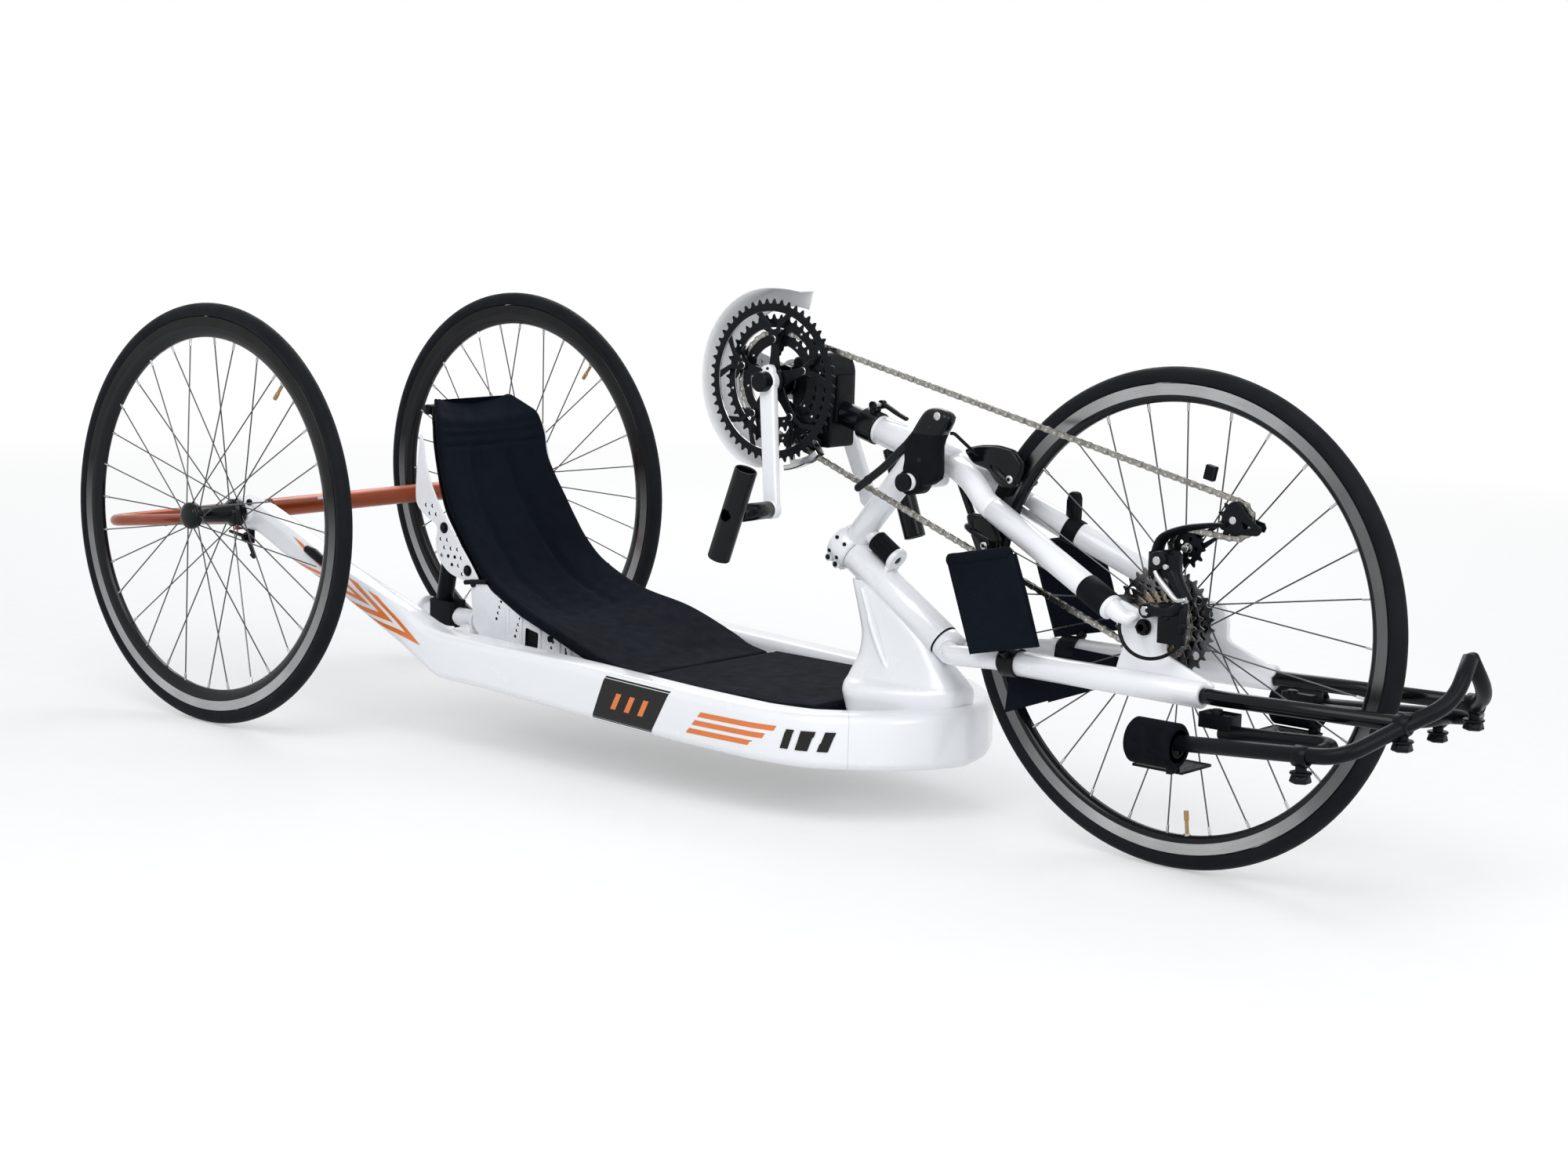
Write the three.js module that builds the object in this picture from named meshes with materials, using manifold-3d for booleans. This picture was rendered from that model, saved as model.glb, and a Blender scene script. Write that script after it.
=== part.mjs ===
// Recumbent handcycle: two cambered rear wheels, a low frame with a bucket seat, and a driven,
// steered front wheel turned by hand cranks. Millimetres, +X forward, +Y left, +Z up.
import * as THREE from 'three';
import { mergeVertices } from 'three/addons/utils/BufferGeometryUtils.js';
import Module from 'manifold-3d';

const wasm = await Module();
wasm.setup();

// Driving dimensions
const wheelbase = 1447;
const track = 627;
const camber = THREE.MathUtils.degToRad(1.5);
const clearance = 0.3;
const runningGap = 0.6;
const overrun = 2;

const tyre = { radius: 304.5, width: 23, seat: 285.6, steps: 28, arcSteps: 4 };
const rim = { outer: 285.2, track: 14.2, width: 19, apexWidth: 7, rearDepth: 30, frontDepth: 23 };
const valve = { radius: 3, length: 42, rearTurn: THREE.MathUtils.degToRad(52), frontTurn: THREE.MathUtils.degToRad(-84) };
const spoke = { radius: 1, sides: 3, rearCount: 32, frontCount: 28, crosses: 2, inset: 4, lean: 1.5, side: 1.5 };
const rearHub = { inner: 51, outer: 44.5, flange: 20, drum: 12, waist: 13, cap: 19, capLength: 17, lip: 4, end: 8 };
const frontHub = { flange: 27, barrel: 15, flangeWidth: 4, left: 30, right: -18, bearing: 8, bearingRadius: 10 };
const frontAxle = { radius: 5, outside: 66, plate: 8, nut: 10, nutWidth: 9 };
const axleHeight = (tyre.radius - tyre.width / 2) * Math.cos(camber) + tyre.width / 2;

const rail = { nose: 1112, spread: 227, width: 50, corner: 13 };
const headTube = { radius: 22, bore: 18.9, length: 176, topX: 947.1, topZ: 326.6 };
const steerer = { radius: 14.5 };
const headAngle = THREE.MathUtils.degToRad(32.6);
const axleTube = { radius: 14, pin: 6.5 };
const bumper = { radius: 8.5, aside: 232, rear: 372, drop: 56.5, bend: 62 };

const crank = { x: 843, z: 549, length: 167, tilt: THREE.MathUtils.degToRad(14.7), width: 25, thick: 12, inner: 59, flare: 35 };
const chain = { pitch: 12.7, plane: -43, half: 2.75, plate: 1.15, reach: 5.1, web: 1.1, webRim: 3.95 };
const teeth = { large: 52, middle: 42, small: 32, sprocket: 21, jockey: 11, biggest: 34, tip: 2.6, root: 4 };
const handle = { radius: 15, bore: 12, length: 127, aside: 178, lean: THREE.MathUtils.degToRad(20), hole: 8.5 };

const leg = { radius: 15.8, kneeX: 1180, kneeY: 34, kneeZ: 421, topEndX: 1404, topEndY: 77.7, topEndZ: 321 };
const lower = { startX: 1237, startY: 62.7, startZ: 232.6, endX: 1537, endY: 81.4, endZ: 236 };
const boom = { radius: 19, inner: 15.6, rearX: 980, rearZ: 494, frontX: 1102, frontZ: 461.5 };
const strut = { radius: 17 };

const colours = {
  white: { color: 0xf2f3f4, roughness: 0.25, metalness: 0.0 },
  orange: { color: 0xa8481c, roughness: 0.3, metalness: 0.6 },
  black: { color: 0x15161a, roughness: 0.35, metalness: 0.1 },
  rubber: { color: 0x1b1c1f, roughness: 0.8, metalness: 0.0 },
  fabric: { color: 0x14171d, roughness: 0.95, metalness: 0.0 },
  steel: { color: 0xb9bcc0, roughness: 0.25, metalness: 1.0 },
  rimBlack: { color: 0x1d1e21, roughness: 0.3, metalness: 0.6 },
};

const machine = new THREE.Group();
const bike = new THREE.Group();
machine.add(bike);

// Solids: conversion between triangle meshes and manifolds
const v = (x, y, z) => new THREE.Vector3(x, y, z);
const axisX = v(1, 0, 0);
const axisY = v(0, 1, 0);
const axisZ = v(0, 0, 1);

function signedVolume(positions, index) {
  let sum = 0;
  const corner = k => v(positions[index[k] * 3], positions[index[k] * 3 + 1], positions[index[k] * 3 + 2]);
  for (let k = 0; k < index.length; k += 3) sum += corner(k).dot(corner(k + 1).cross(corner(k + 2)));
  return sum;
}

function solid(geometry) {
  const plain = geometry.clone();
  plain.deleteAttribute('normal');
  plain.deleteAttribute('uv');
  const welded = mergeVertices(plain, 1e-4);
  const positions = Float32Array.from(welded.attributes.position.array);
  const index = Uint32Array.from(welded.index.array);
  if (signedVolume(positions, index) < 0) index.reverse();
  return new wasm.Manifold(new wasm.Mesh({ numProp: 3, vertProperties: positions, triVerts: index }));
}

function toGeometry(manifold) {
  const mesh = manifold.getMesh();
  const points = new Float32Array(mesh.numVert * 3);
  for (let k = 0; k < mesh.numVert; k++) {
    for (let a = 0; a < 3; a++) points[k * 3 + a] = mesh.vertProperties[k * mesh.numProp + a];
  }
  const geometry = new THREE.BufferGeometry();
  geometry.setAttribute('position', new THREE.BufferAttribute(points, 3));
  geometry.setIndex(new THREE.BufferAttribute(Uint32Array.from(mesh.triVerts), 1));
  geometry.computeVertexNormals();
  return geometry;
}

const join = (...parts) => parts.reduce((sum, part) => sum.add(part));
const cut = (body, ...tools) => tools.reduce((rest, tool) => rest.subtract(tool), body);

function addPiece(name, shape, look, parent = bike) {
  const geometry = shape.isBufferGeometry ? shape : toGeometry(shape);
  const mesh = new THREE.Mesh(geometry, new THREE.MeshStandardMaterial(colours[look]));
  mesh.name = name;
  parent.add(mesh);
  return mesh;
}

// Shapes shared by many pieces
function rod(from, to, radius, sides = 10) {
  const turn = new THREE.Quaternion().setFromUnitVectors(axisY, to.clone().sub(from).normalize());
  const circle = centre => [...Array(sides).keys()].map(k => {
    const angle = (k / sides) * 2 * Math.PI;
    return v(radius * Math.sin(angle), 0, radius * Math.cos(angle)).applyQuaternion(turn).add(centre);
  });
  return loft([circle(from), circle(to)]);
}

// A tool for a hole round a bar of the given radius, clear of it on every flat
const boreFor = (from, to, radius, sides = 10) => rod(from, to, (radius + clearance) / Math.cos(Math.PI / sides), sides);

function disc(centre, axis, radius, width, sides = 16) {
  const half = axis.clone().normalize().multiplyScalar(width / 2);
  return rod(centre.clone().sub(half), centre.clone().add(half), radius, sides);
}

function bentTube(points, radius, sides = 12, steps = 24) {
  const circle = new THREE.Shape();
  for (let k = 0; k < sides; k++) {
    const angle = (k / sides) * 2 * Math.PI;
    const spot = [radius * Math.cos(angle), radius * Math.sin(angle)];
    if (k) circle.lineTo(...spot);
    else circle.moveTo(...spot);
  }
  const path = new THREE.CatmullRomCurve3(points, false, 'centripetal');
  return solid(new THREE.ExtrudeGeometry(circle, { steps, bevelEnabled: false, extrudePath: path }));
}

function box(low, high) {
  const size = high.clone().sub(low);
  const geometry = new THREE.BoxGeometry(size.x, size.y, size.z);
  geometry.translate(...low.clone().add(high).multiplyScalar(0.5).toArray());
  return solid(geometry);
}

// A plate drawn in X and Z, standing between two Y values
function plate(outline, yLow, yHigh) {
  const shape = new THREE.Shape(outline.map(([x, z]) => new THREE.Vector2(x, z)));
  const geometry = new THREE.ExtrudeGeometry(shape, { depth: yHigh - yLow, bevelEnabled: false });
  geometry.applyMatrix4(new THREE.Matrix4().makeBasis(axisX, axisZ, axisY.clone().negate()));
  geometry.translate(0, yHigh, 0);
  return solid(geometry);
}

// A ring or drum turned about the Y axis at the origin, from [radius, y] corners
function turned(profile, steps, closed = false) {
  const corners = profile.map(([r, y]) => new THREE.Vector2(r, y));
  if (closed) corners.push(corners[0].clone());
  return solid(new THREE.LatheGeometry(corners, steps));
}

// A skin through closed sections of equal point counts, with flat fan caps
function loft(sections) {
  const count = sections[0].length;
  const points = sections.flat();
  const index = [];
  for (let s = 0; s + 1 < sections.length; s++) {
    for (let k = 0; k < count; k++) {
      const a = s * count + k;
      const b = s * count + (k + 1) % count;
      index.push(a, b, b + count, a, b + count, a + count);
    }
  }
  for (const [start, turn] of [[0, 1], [(sections.length - 1) * count, 0]]) {
    for (let k = 1; k + 1 < count; k++) index.push(start, start + k + turn, start + k + 1 - turn);
  }
  const geometry = new THREE.BufferGeometry();
  geometry.setAttribute('position', new THREE.Float32BufferAttribute(points.flatMap(p => p.toArray()), 3));
  geometry.setIndex(index);
  return solid(geometry);
}

// Corners of a rounded rectangle about (0, 0)
function roundedCorners(width, height, corner, perCorner = 3) {
  const spots = [];
  const radius = Math.min(corner, width / 2, height / 2) * 0.98;
  const quarters = [[1, 1], [-1, 1], [-1, -1], [1, -1]];
  quarters.forEach(([sx, sy], q) => {
    for (let k = 0; k < perCorner; k++) {
      const angle = (q + k / (perCorner - 1)) * Math.PI / 2;
      spots.push([sx * (width / 2 - radius) + radius * Math.cos(angle), sy * (height / 2 - radius) + radius * Math.sin(angle)]);
    }
  });
  return spots;
}

const mirrored = (manifold, side) => {
  if (side < 0) return manifold;
  const geometry = toGeometry(manifold);
  geometry.scale(1, -1, 1);
  return solid(geometry);
};

// A round bar through corner points, with each inner corner bent smoothly
function pipe(points, radius, bend = 0, sides = 8, perBend = 2) {
  const spots = [points[0]];
  const headings = [points[1].clone().sub(points[0]).normalize()];
  for (let k = 1; k + 1 < points.length; k++) {
    const before = points[k].clone().sub(points[k - 1]);
    const after = points[k + 1].clone().sub(points[k]);
    const reach = Math.min(bend, before.length() * 0.49, after.length() * 0.49);
    const start = points[k].clone().addScaledVector(before.clone().normalize(), -reach);
    const end = points[k].clone().addScaledVector(after.clone().normalize(), reach);
    const corner = new THREE.QuadraticBezierCurve3(start, points[k], end);
    for (let n = 0; n <= perBend; n++) {
      spots.push(corner.getPoint(n / perBend));
      headings.push(corner.getTangent(n / perBend));
    }
  }
  spots.push(points.at(-1));
  headings.push(points.at(-1).clone().sub(points.at(-2)).normalize());
  const helper = Math.abs(headings[0].z) < 0.9 ? axisZ : axisX;
  let across = helper.clone().cross(headings[0]).normalize();
  const sections = spots.map((spot, n) => {
    if (n) across.applyQuaternion(new THREE.Quaternion().setFromUnitVectors(headings[n - 1], headings[n]));
    const other = headings[n].clone().cross(across);
    return [...Array(sides).keys()].map(k => {
      const angle = (k / sides) * 2 * Math.PI;
      return spot.clone().addScaledVector(across, radius * Math.cos(angle)).addScaledVector(other, radius * Math.sin(angle));
    });
  });
  return loft(sections);
}

// Main frame: two box rails that sweep down from the rear axle and meet in a nose under the head tower
const railShares = [
  { along: -0.0234, aside: 1.0, wide: 0.92, floor: 0.907, top: 1.058 },
  { along: 0.018, aside: 1.0, wide: 0.92, floor: 0.9, top: 1.03 },
  { along: 0.0755, aside: 0.993, wide: 0.92, floor: 0.805, top: 0.95 },
  { along: 0.16, aside: 0.967, wide: 0.94, floor: 0.69, top: 0.81 },
  { along: 0.268, aside: 0.899, wide: 0.96, floor: 0.486, top: 0.657 },
  { along: 0.31, aside: 0.868, wide: 1.0, floor: 0.394, top: 0.583 },
  { along: 0.337, aside: 0.85, wide: 1.02, floor: 0.343, top: 0.5585 },
  { along: 0.409, aside: 0.8106, wide: 1.04, floor: 0.328, top: 0.542 },
  { along: 0.5755, aside: 0.7775, wide: 1.02, floor: 0.289, top: 0.519 },
  { along: 0.738, aside: 0.771, wide: 1.0, floor: 0.263, top: 0.495 },
  { along: 0.845, aside: 0.758, wide: 1.0, floor: 0.253, top: 0.485 },
  { along: 0.904, aside: 0.692, wide: 1.0, floor: 0.249, top: 0.483 },
  { along: 0.94, aside: 0.564, wide: 1.0, floor: 0.247, top: 0.483 },
];
const noseShares = [
  railShares.at(-1),
  { along: 0.973, aside: 0.396, wide: 1.04, floor: 0.244, top: 0.483 },
  { along: 0.994, aside: 0.2, wide: 1.1, floor: 0.24, top: 0.49 },
  { along: 1.004, aside: 0, wide: 1.14, floor: 0.236, top: 0.5 },
];
const towerShares = [
  { height: 0.27, rear: 0.9, front: 1.005, halfRear: 0.33, halfFront: 0.13 },
  { height: 0.53, rear: 0.882, front: 1.02, halfRear: 0.4, halfFront: 0.14 },
  { height: 0.585, rear: 0.875, front: 1.014, halfRear: 0.27, halfFront: 0.125 },
  { height: 0.665, rear: 0.876, front: 0.988, halfRear: 0.155, halfFront: 0.11 },
  { height: 0.76, rear: 0.874, front: 0.965, halfRear: 0.105, halfFront: 0.1 },
  { height: 0.975, rear: 0.857, front: 0.892, halfRear: 0.086, halfFront: 0.084 },
];

const axleHalf = rail.spread - (railShares[0].wide * rail.width) / 2 - clearance;
const railEnd = railShares[0].along * rail.nose;

const railPoint = (share, side) => v(share.along * rail.nose, side * share.aside * rail.spread, 0);

function sweepBox(shares, side) {
  const centres = shares.map(share => railPoint(share, side));
  return loft(shares.map((share, n) => {
    const heading = centres[Math.min(n + 1, centres.length - 1)].clone().sub(centres[Math.max(n - 1, 0)]).normalize();
    const lateral = axisZ.clone().cross(heading);
    const floor = share.floor * axleHeight;
    const height = share.top * axleHeight - floor;
    return roundedCorners(share.wide * rail.width, height, rail.corner).map(([across, up]) =>
      centres[n].clone().addScaledVector(lateral, across).setZ(floor + height / 2 + up));
  }));
}

// Places along the steering axis, counted from the upper end of the head tube, and above it
const headAlong = v(Math.cos(headAngle), 0, -Math.sin(headAngle));
const headAbove = v(Math.sin(headAngle), 0, Math.cos(headAngle));
const headTop = v(headTube.topX, 0, headTube.topZ);
const onHead = (along, above = 0, aside = 0) =>
  headTop.clone().addScaledVector(headAlong, along).addScaledVector(headAbove, above).add(v(0, aside, 0));
const headBar = (from, to, radius) => rod(onHead(from), onHead(to), radius);
const headBore = (from, to, radius) => boreFor(onHead(from), onHead(to), radius);

// Rear axle line of one wheel: it rises outward with the camber
const hubCentre = side => v(0, side * track / 2, axleHeight);
const axleLine = (side, aside) => v(0, side * aside, axleHeight + (aside - track / 2) * Math.tan(camber));

const damper = { radius: 14.4, above: 37, from: 16, to: 52, lug: 8, lugRadius: 16 };
const crown = { radius: 21, length: 24, arm: 13, clear: 25, reach: 60, rearX: 1108, rearZ: 223, armX: 1140, armY: 48, armZ: 225 };

const towerSides = 8;

function buildTower() {
  const outline = share => [...Array(towerSides).keys()].map(k => {
    const turn = (k / towerSides) * 2 * Math.PI;
    const squash = value => Math.sign(value) * Math.sqrt(Math.abs(value));
    const along = (1 + squash(Math.cos(turn))) / 2;
    const half = share.halfRear + (share.halfFront - share.halfRear) * along;
    const x = (share.rear + (share.front - share.rear) * along) * rail.nose;
    return v(x, squash(Math.sin(turn)) * half * rail.spread, share.height * axleHeight);
  });
  const nose = [...noseShares].map(share => ({ ...share }));
  const noseRight = sweepBox(nose, -1);
  const noseLeft = sweepBox(nose, 1);
  const lugFrom = damper.to + clearance;
  const lug = rod(onHead(lugFrom, damper.above), onHead(lugFrom + damper.lug, damper.above), damper.lugRadius);
  const lugWeb = boxOnHead(lugFrom, lugFrom + damper.lug, 0, damper.above, damper.radius * 0.8);
  const shell = join(noseRight, noseLeft, loft(towerShares.map(outline)), headBar(0, headTube.length, headTube.radius), lug, lugWeb);
  const bore = headBar(-overrun, headTube.length + overrun, headTube.bore);
  const crownRoom = headBar(headTube.length, headTube.length + crown.reach, crown.clear);
  return cut(shell, bore, crownRoom);
}

function boxOnHead(from, to, low, high, halfWidth) {
  const corners = [[from, low], [to, low], [to, high], [from, high]].map(([along, above]) => onHead(along, above));
  return plate(corners.map(p => [p.x, p.z]), -halfWidth, halfWidth);
}

// Parking brake: a lug and a pin under the right rail, and the lever that turns on the pin
const parking = {
  pivotX: -8, pivotZ: 263, pin: 4, boss: 8, width: 8, aside: 240, lug: 4, armX: -48, armZ: 268, tipX: 8, tipZ: 236,
};
const parkingPivot = v(parking.pivotX, -parking.aside, parking.pivotZ);
const parkingArm = pipe([
  v(parking.armX, -parking.aside, parking.armZ), parkingPivot, v(parking.tipX, -parking.aside, parking.tipZ),
], parking.pin, parking.boss, 6, 1);
addPiece('parking_brake_lever', cut(
  join(disc(parkingPivot, axisY, parking.boss, parking.width, 10), parkingArm),
  disc(parkingPivot, axisY, parking.pin + runningGap, parking.width * 2, 8),
), 'black');

function parkingMount() {
  const lugY = parking.width / 2 + runningGap - parking.aside;
  const lug = box(
    v(parking.pivotX - parking.boss, lugY, parking.pivotZ - parking.boss),
    v(parking.pivotX + parking.boss, lugY + parking.lug, railShares[1].floor * axleHeight + rail.corner),
  );
  const pin = rod(v(parking.pivotX, -parking.aside - parking.width, parking.pivotZ), v(parking.pivotX, lugY + parking.lug / 2, parking.pivotZ), parking.pin, 8);
  return join(lug, pin);
}

for (const side of [-1, 1]) {
  const name = side < 0 ? 'right' : 'left';
  const bore = rod(axleLine(side, axleHalf - overrun), axleLine(side, track / 2), axleTube.pin + clearance, 10);
  const box = sweepBox(railShares, side);
  addPiece(`main_rail_${name}`, cut(side < 0 ? join(box, parkingMount()) : box, bore), 'white');
}
const tower = buildTower();
const railEnds = join(sweepBox(railShares, -1), sweepBox(railShares, 1));
addPiece('head_tower', tower.subtract(toSolidShift(railEnds, v(clearance, 0, 0))), 'white');

// The solid together with a moved copy of itself
function toSolidShift(manifold, shift) {
  const geometry = toGeometry(manifold);
  geometry.translate(...shift.toArray());
  return join(manifold, solid(geometry));
}

// Rear axle: a bare metal tube between the rails, with a pin at each end that the wheel runs on
const pinEnd = track / 2 + rearHub.outer - rearHub.end - clearance;
let axleBody = rod(v(0, -axleHalf, axleHeight), v(0, axleHalf, axleHeight), axleTube.radius, 10);
for (const side of [-1, 1]) {
  axleBody = join(axleBody, rod(axleLine(side, axleHalf - overrun * 2), axleLine(side, pinEnd), axleTube.pin, 10));
}
addPiece('axle_tube', axleBody, 'orange');

// Rear bumper: a U of tube behind the wheels' line, welded to the rear faces of the rails
const bumperTop = axleHeight - bumper.drop / 3;
const bumperCorners = [-1, 1].flatMap(side => {
  const leg = [
    v(railEnd - clearance, side * bumper.aside, bumperTop),
    v(railEnd - bumper.radius * 3, side * bumper.aside, bumperTop),
    v(-bumper.rear, side * bumper.aside, axleHeight - bumper.drop - clearance),
  ];
  return side < 0 ? leg : leg.reverse();
});
addPiece('rear_bumper', pipe(bumperCorners, bumper.radius, bumper.bend), 'orange');

// Wheels: a tyre on a deep rim, and a hub whose spokes end at the rim's inner edge
function tyreRing() {
  const middle = tyre.radius - tyre.width / 2;
  const open = Math.acos((tyre.seat - middle) / (tyre.width / 2));
  const profile = [];
  for (let k = 0; k <= tyre.arcSteps; k++) {
    const angle = -open + (2 * open * k) / tyre.arcSteps;
    profile.push([middle + (tyre.width / 2) * Math.cos(angle), (tyre.width / 2) * Math.sin(angle)]);
  }
  return turned(profile, tyre.steps, true);
}

function rimRing(apex, valveTurn) {
  const half = rim.width / 2;
  const halfApex = rim.apexWidth / 2;
  const track = rim.outer - rim.track;
  const profile = [
    [rim.outer, -half], [track, -half], [apex, -halfApex], [apex, halfApex], [track, half], [rim.outer, half],
  ];
  const aim = v(Math.cos(valveTurn), 0, Math.sin(valveTurn));
  const stem = rod(aim.clone().multiplyScalar(apex - valve.length), aim.clone().multiplyScalar(apex + halfApex), valve.radius, 6);
  return join(turned(profile, tyre.steps, true), stem);
}

// Crossed spokes: on each flange, pairs lean opposite ways round the hub
const rimTurn = (2 * Math.PI) / tyre.steps;
function spokesOf(count, flanges, apex) {
  const perFlange = count / 2;
  const bars = [];
  flanges.forEach((flange, f) => {
    for (let k = 0; k < perFlange; k++) {
      const way = k % 2 ? 1 : -1;
      const start = ((k + f / 2) / perFlange) * 2 * Math.PI;
      const end = start + (way * spoke.crosses * 2 * Math.PI) / perFlange;
      const reach = flange.radius - spoke.inset;
      const fromCorner = end - Math.floor(end / rimTurn) * rimTurn;
      const rimReach = (apex * Math.cos(rimTurn / 2)) / Math.cos(fromCorner - rimTurn / 2) - clearance - spoke.radius / 2;
      bars.push(rod(
        v(reach * Math.cos(start), flange.at + way * spoke.side, reach * Math.sin(start)),
        v(rimReach * Math.cos(end), Math.sign(flange.at) * spoke.lean, rimReach * Math.sin(end)),
        spoke.radius, spoke.sides,
      ));
    }
  });
  return join(...bars);
}

const rimApex = { rear: rim.outer - rim.rearDepth, front: rim.outer - rim.frontDepth };

function rearHubBody(side) {
  const { inner, outer, flange, drum, waist, cap, capLength, lip, end } = rearHub;
  const bore = axleTube.pin + runningGap;
  const profile = [
    [0, outer], [cap - lip, outer], [cap, outer - lip], [cap, outer - capLength], [waist, outer - capLength - lip],
    [waist, drum - inner + lip], [flange, drum - inner], [flange, -inner], [bore, -inner], [bore, outer - end], [0, outer - end],
  ];
  const body = turned(profile.map(([r, y]) => [r, side * y]), 10);
  const flanges = [
    { radius: flange, at: side * (drum / 2 - inner) },
    { radius: cap, at: side * (outer - capLength + lip) },
  ];
  return join(body, spokesOf(spoke.rearCount, flanges, rimApex.rear));
}

for (const side of [-1, 1]) {
  const name = side < 0 ? 'right' : 'left';
  const wheel = new THREE.Group();
  wheel.position.copy(hubCentre(side));
  wheel.rotation.x = side * camber;
  bike.add(wheel);
  addPiece(`tyre_${name}`, tyreRing(), 'rubber', wheel);
  addPiece(`rim_${name}`, rimRing(rimApex.rear, valve.rearTurn), 'rimBlack', wheel);
  addPiece(`hub_${name}`, rearHubBody(side), 'steel', wheel);
}

function frontHubBody() {
  const { flange, barrel, flangeWidth, left, right, bearing, bearingRadius } = frontHub;
  const bore = frontAxle.radius + runningGap;
  const profile = [
    [bore, left + bearing], [bearingRadius, left + bearing], [bearingRadius, left + flangeWidth / 2], [flange, left + flangeWidth / 2],
    [flange, left - flangeWidth / 2], [barrel, left - flangeWidth], [barrel, right + flangeWidth], [flange, right + flangeWidth / 2],
    [flange, right - flangeWidth / 2], [bearingRadius, right - flangeWidth / 2], [bore, right - flangeWidth / 2],
  ];
  const flanges = [{ radius: flange, at: left }, { radius: flange, at: right }];
  return join(turned(profile, 10, true), spokesOf(spoke.frontCount, flanges, rimApex.front));
}

const frontWheel = new THREE.Group();
frontWheel.position.set(wheelbase, 0, tyre.radius);
bike.add(frontWheel);
addPiece('tyre_front', tyreRing(), 'rubber', frontWheel);
addPiece('rim_front', rimRing(rimApex.front, valve.frontTurn), 'rimBlack', frontWheel);
addPiece('hub_front', frontHubBody(), 'steel', frontWheel);

// Bucket seat: a padded cushion whose sides stand proud of its middle, on a thin shell of the same form
const seatShares = [
  { along: 0.151, high: 1.5764, half: 0.232 },
  { along: 0.1659, high: 1.5205, half: 0.29 },
  { along: 0.1755, high: 1.478, half: 0.319 },
  { along: 0.1824, high: 1.379, half: 0.335 },
  { along: 0.1866, high: 1.281, half: 0.335 },
  { along: 0.1956, high: 1.182, half: 0.35 },
  { along: 0.2073, high: 1.084, half: 0.3645 },
  { along: 0.2225, high: 0.985, half: 0.3645 },
  { along: 0.2391, high: 0.887, half: 0.368 },
  { along: 0.2626, high: 0.788, half: 0.384 },
  { along: 0.3096, high: 0.6897, half: 0.4065 },
  { along: 0.3656, high: 0.624, half: 0.455 },
  { along: 0.4216, high: 0.535, half: 0.46 },
  { along: 0.4492, high: 0.496, half: 0.435 },
  { along: 0.4768, high: 0.476, half: 0.42 },
];
const seat = { raise: 16, thick: 27, edge: 15, sheet: 3, gap: 1.6, rows: 11, bowlShare: 0.62, crossGroove: 2.6, longGroove: 2.4, sheetHalf: 120.2 };
const crossGrooveShares = [0.07, 0.115, 0.16];
const grooveWideShare = 0.014;
const longGrooveShare = 0.36;
const easeShare = 0.07;
const columnShares = [-1, -0.6, -0.42, -0.36, -0.3, 0, 0.3, 0.36, 0.42, 0.6, 1];
const sheetColumns = [0, 1, 5, 9, 10];

const seatCurve = new THREE.CatmullRomCurve3(
  seatShares.map(share => v(share.along * wheelbase, share.half * track / 2, share.high * tyre.radius)), false, 'centripetal');

function seatRows(grooved) {
  const spots = [...Array(seat.rows + 1).keys()].map(k => k / seat.rows);
  if (grooved) for (const share of crossGrooveShares) spots.push(share - grooveWideShare, share, share + grooveWideShare);
  const sorted = [...new Set(spots)].sort((a, b) => a - b);
  return sorted.filter((share, k) => k === 0 || share - sorted[k - 1] > grooveWideShare * 0.6 || crossGrooveShares.includes(share));
}

// Bowl depth at one column share, straight between the columns that the shell has too
function bowl(share) {
  const knots = sheetColumns.map(k => columnShares[k]);
  const k = Math.max(1, knots.findIndex(knot => knot >= share));
  const part = (share - knots[k - 1]) / (knots[k] - knots[k - 1]);
  return knots[k - 1] ** 2 * (1 - part) + knots[k] ** 2 * part;
}

function seatGrid(columns, depthOf, halfLimit, grooved = false) {
  return seatRows(grooved).map(row => {
    const spot = seatCurve.getPointAt(row);
    const before = seatCurve.getPointAt(Math.max(0, row - easeShare));
    const tangent = seatCurve.getPointAt(Math.min(1, row + easeShare)).sub(before).setY(0).normalize();
    const normal = axisY.clone().cross(tangent).multiplyScalar(-1);
    return columns.map(share => {
      const y = Math.max(-halfLimit, Math.min(halfLimit, share * spot.y));
      return v(spot.x, y, spot.z).addScaledVector(normal, -depthOf(y / spot.y, row));
    });
  });
}

// A closed skin between an upper and a lower grid of the same size
function slab(upper, lower) {
  const rows = upper.length;
  const columns = upper[0].length;
  const points = [...upper.flat(), ...lower.flat()];
  const at = (layer, r, c) => layer * rows * columns + r * columns + c;
  const index = [];
  const quad = (a, b, c, d) => index.push(a, b, c, a, c, d);
  for (let r = 0; r + 1 < rows; r++) {
    for (let c = 0; c + 1 < columns; c++) {
      quad(at(0, r, c), at(0, r + 1, c), at(0, r + 1, c + 1), at(0, r, c + 1));
      quad(at(1, r, c), at(1, r, c + 1), at(1, r + 1, c + 1), at(1, r + 1, c));
    }
    quad(at(0, r, 0), at(1, r, 0), at(1, r + 1, 0), at(0, r + 1, 0));
    quad(at(0, r, columns - 1), at(0, r + 1, columns - 1), at(1, r + 1, columns - 1), at(1, r, columns - 1));
  }
  for (let c = 0; c + 1 < columns; c++) {
    quad(at(0, 0, c), at(0, 0, c + 1), at(1, 0, c + 1), at(1, 0, c));
    quad(at(0, rows - 1, c), at(1, rows - 1, c), at(1, rows - 1, c + 1), at(0, rows - 1, c + 1));
  }
  const geometry = new THREE.BufferGeometry();
  geometry.setAttribute('position', new THREE.Float32BufferAttribute(points.flatMap(p => p.toArray()), 3));
  geometry.setIndex(index);
  return solid(geometry);
}

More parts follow.
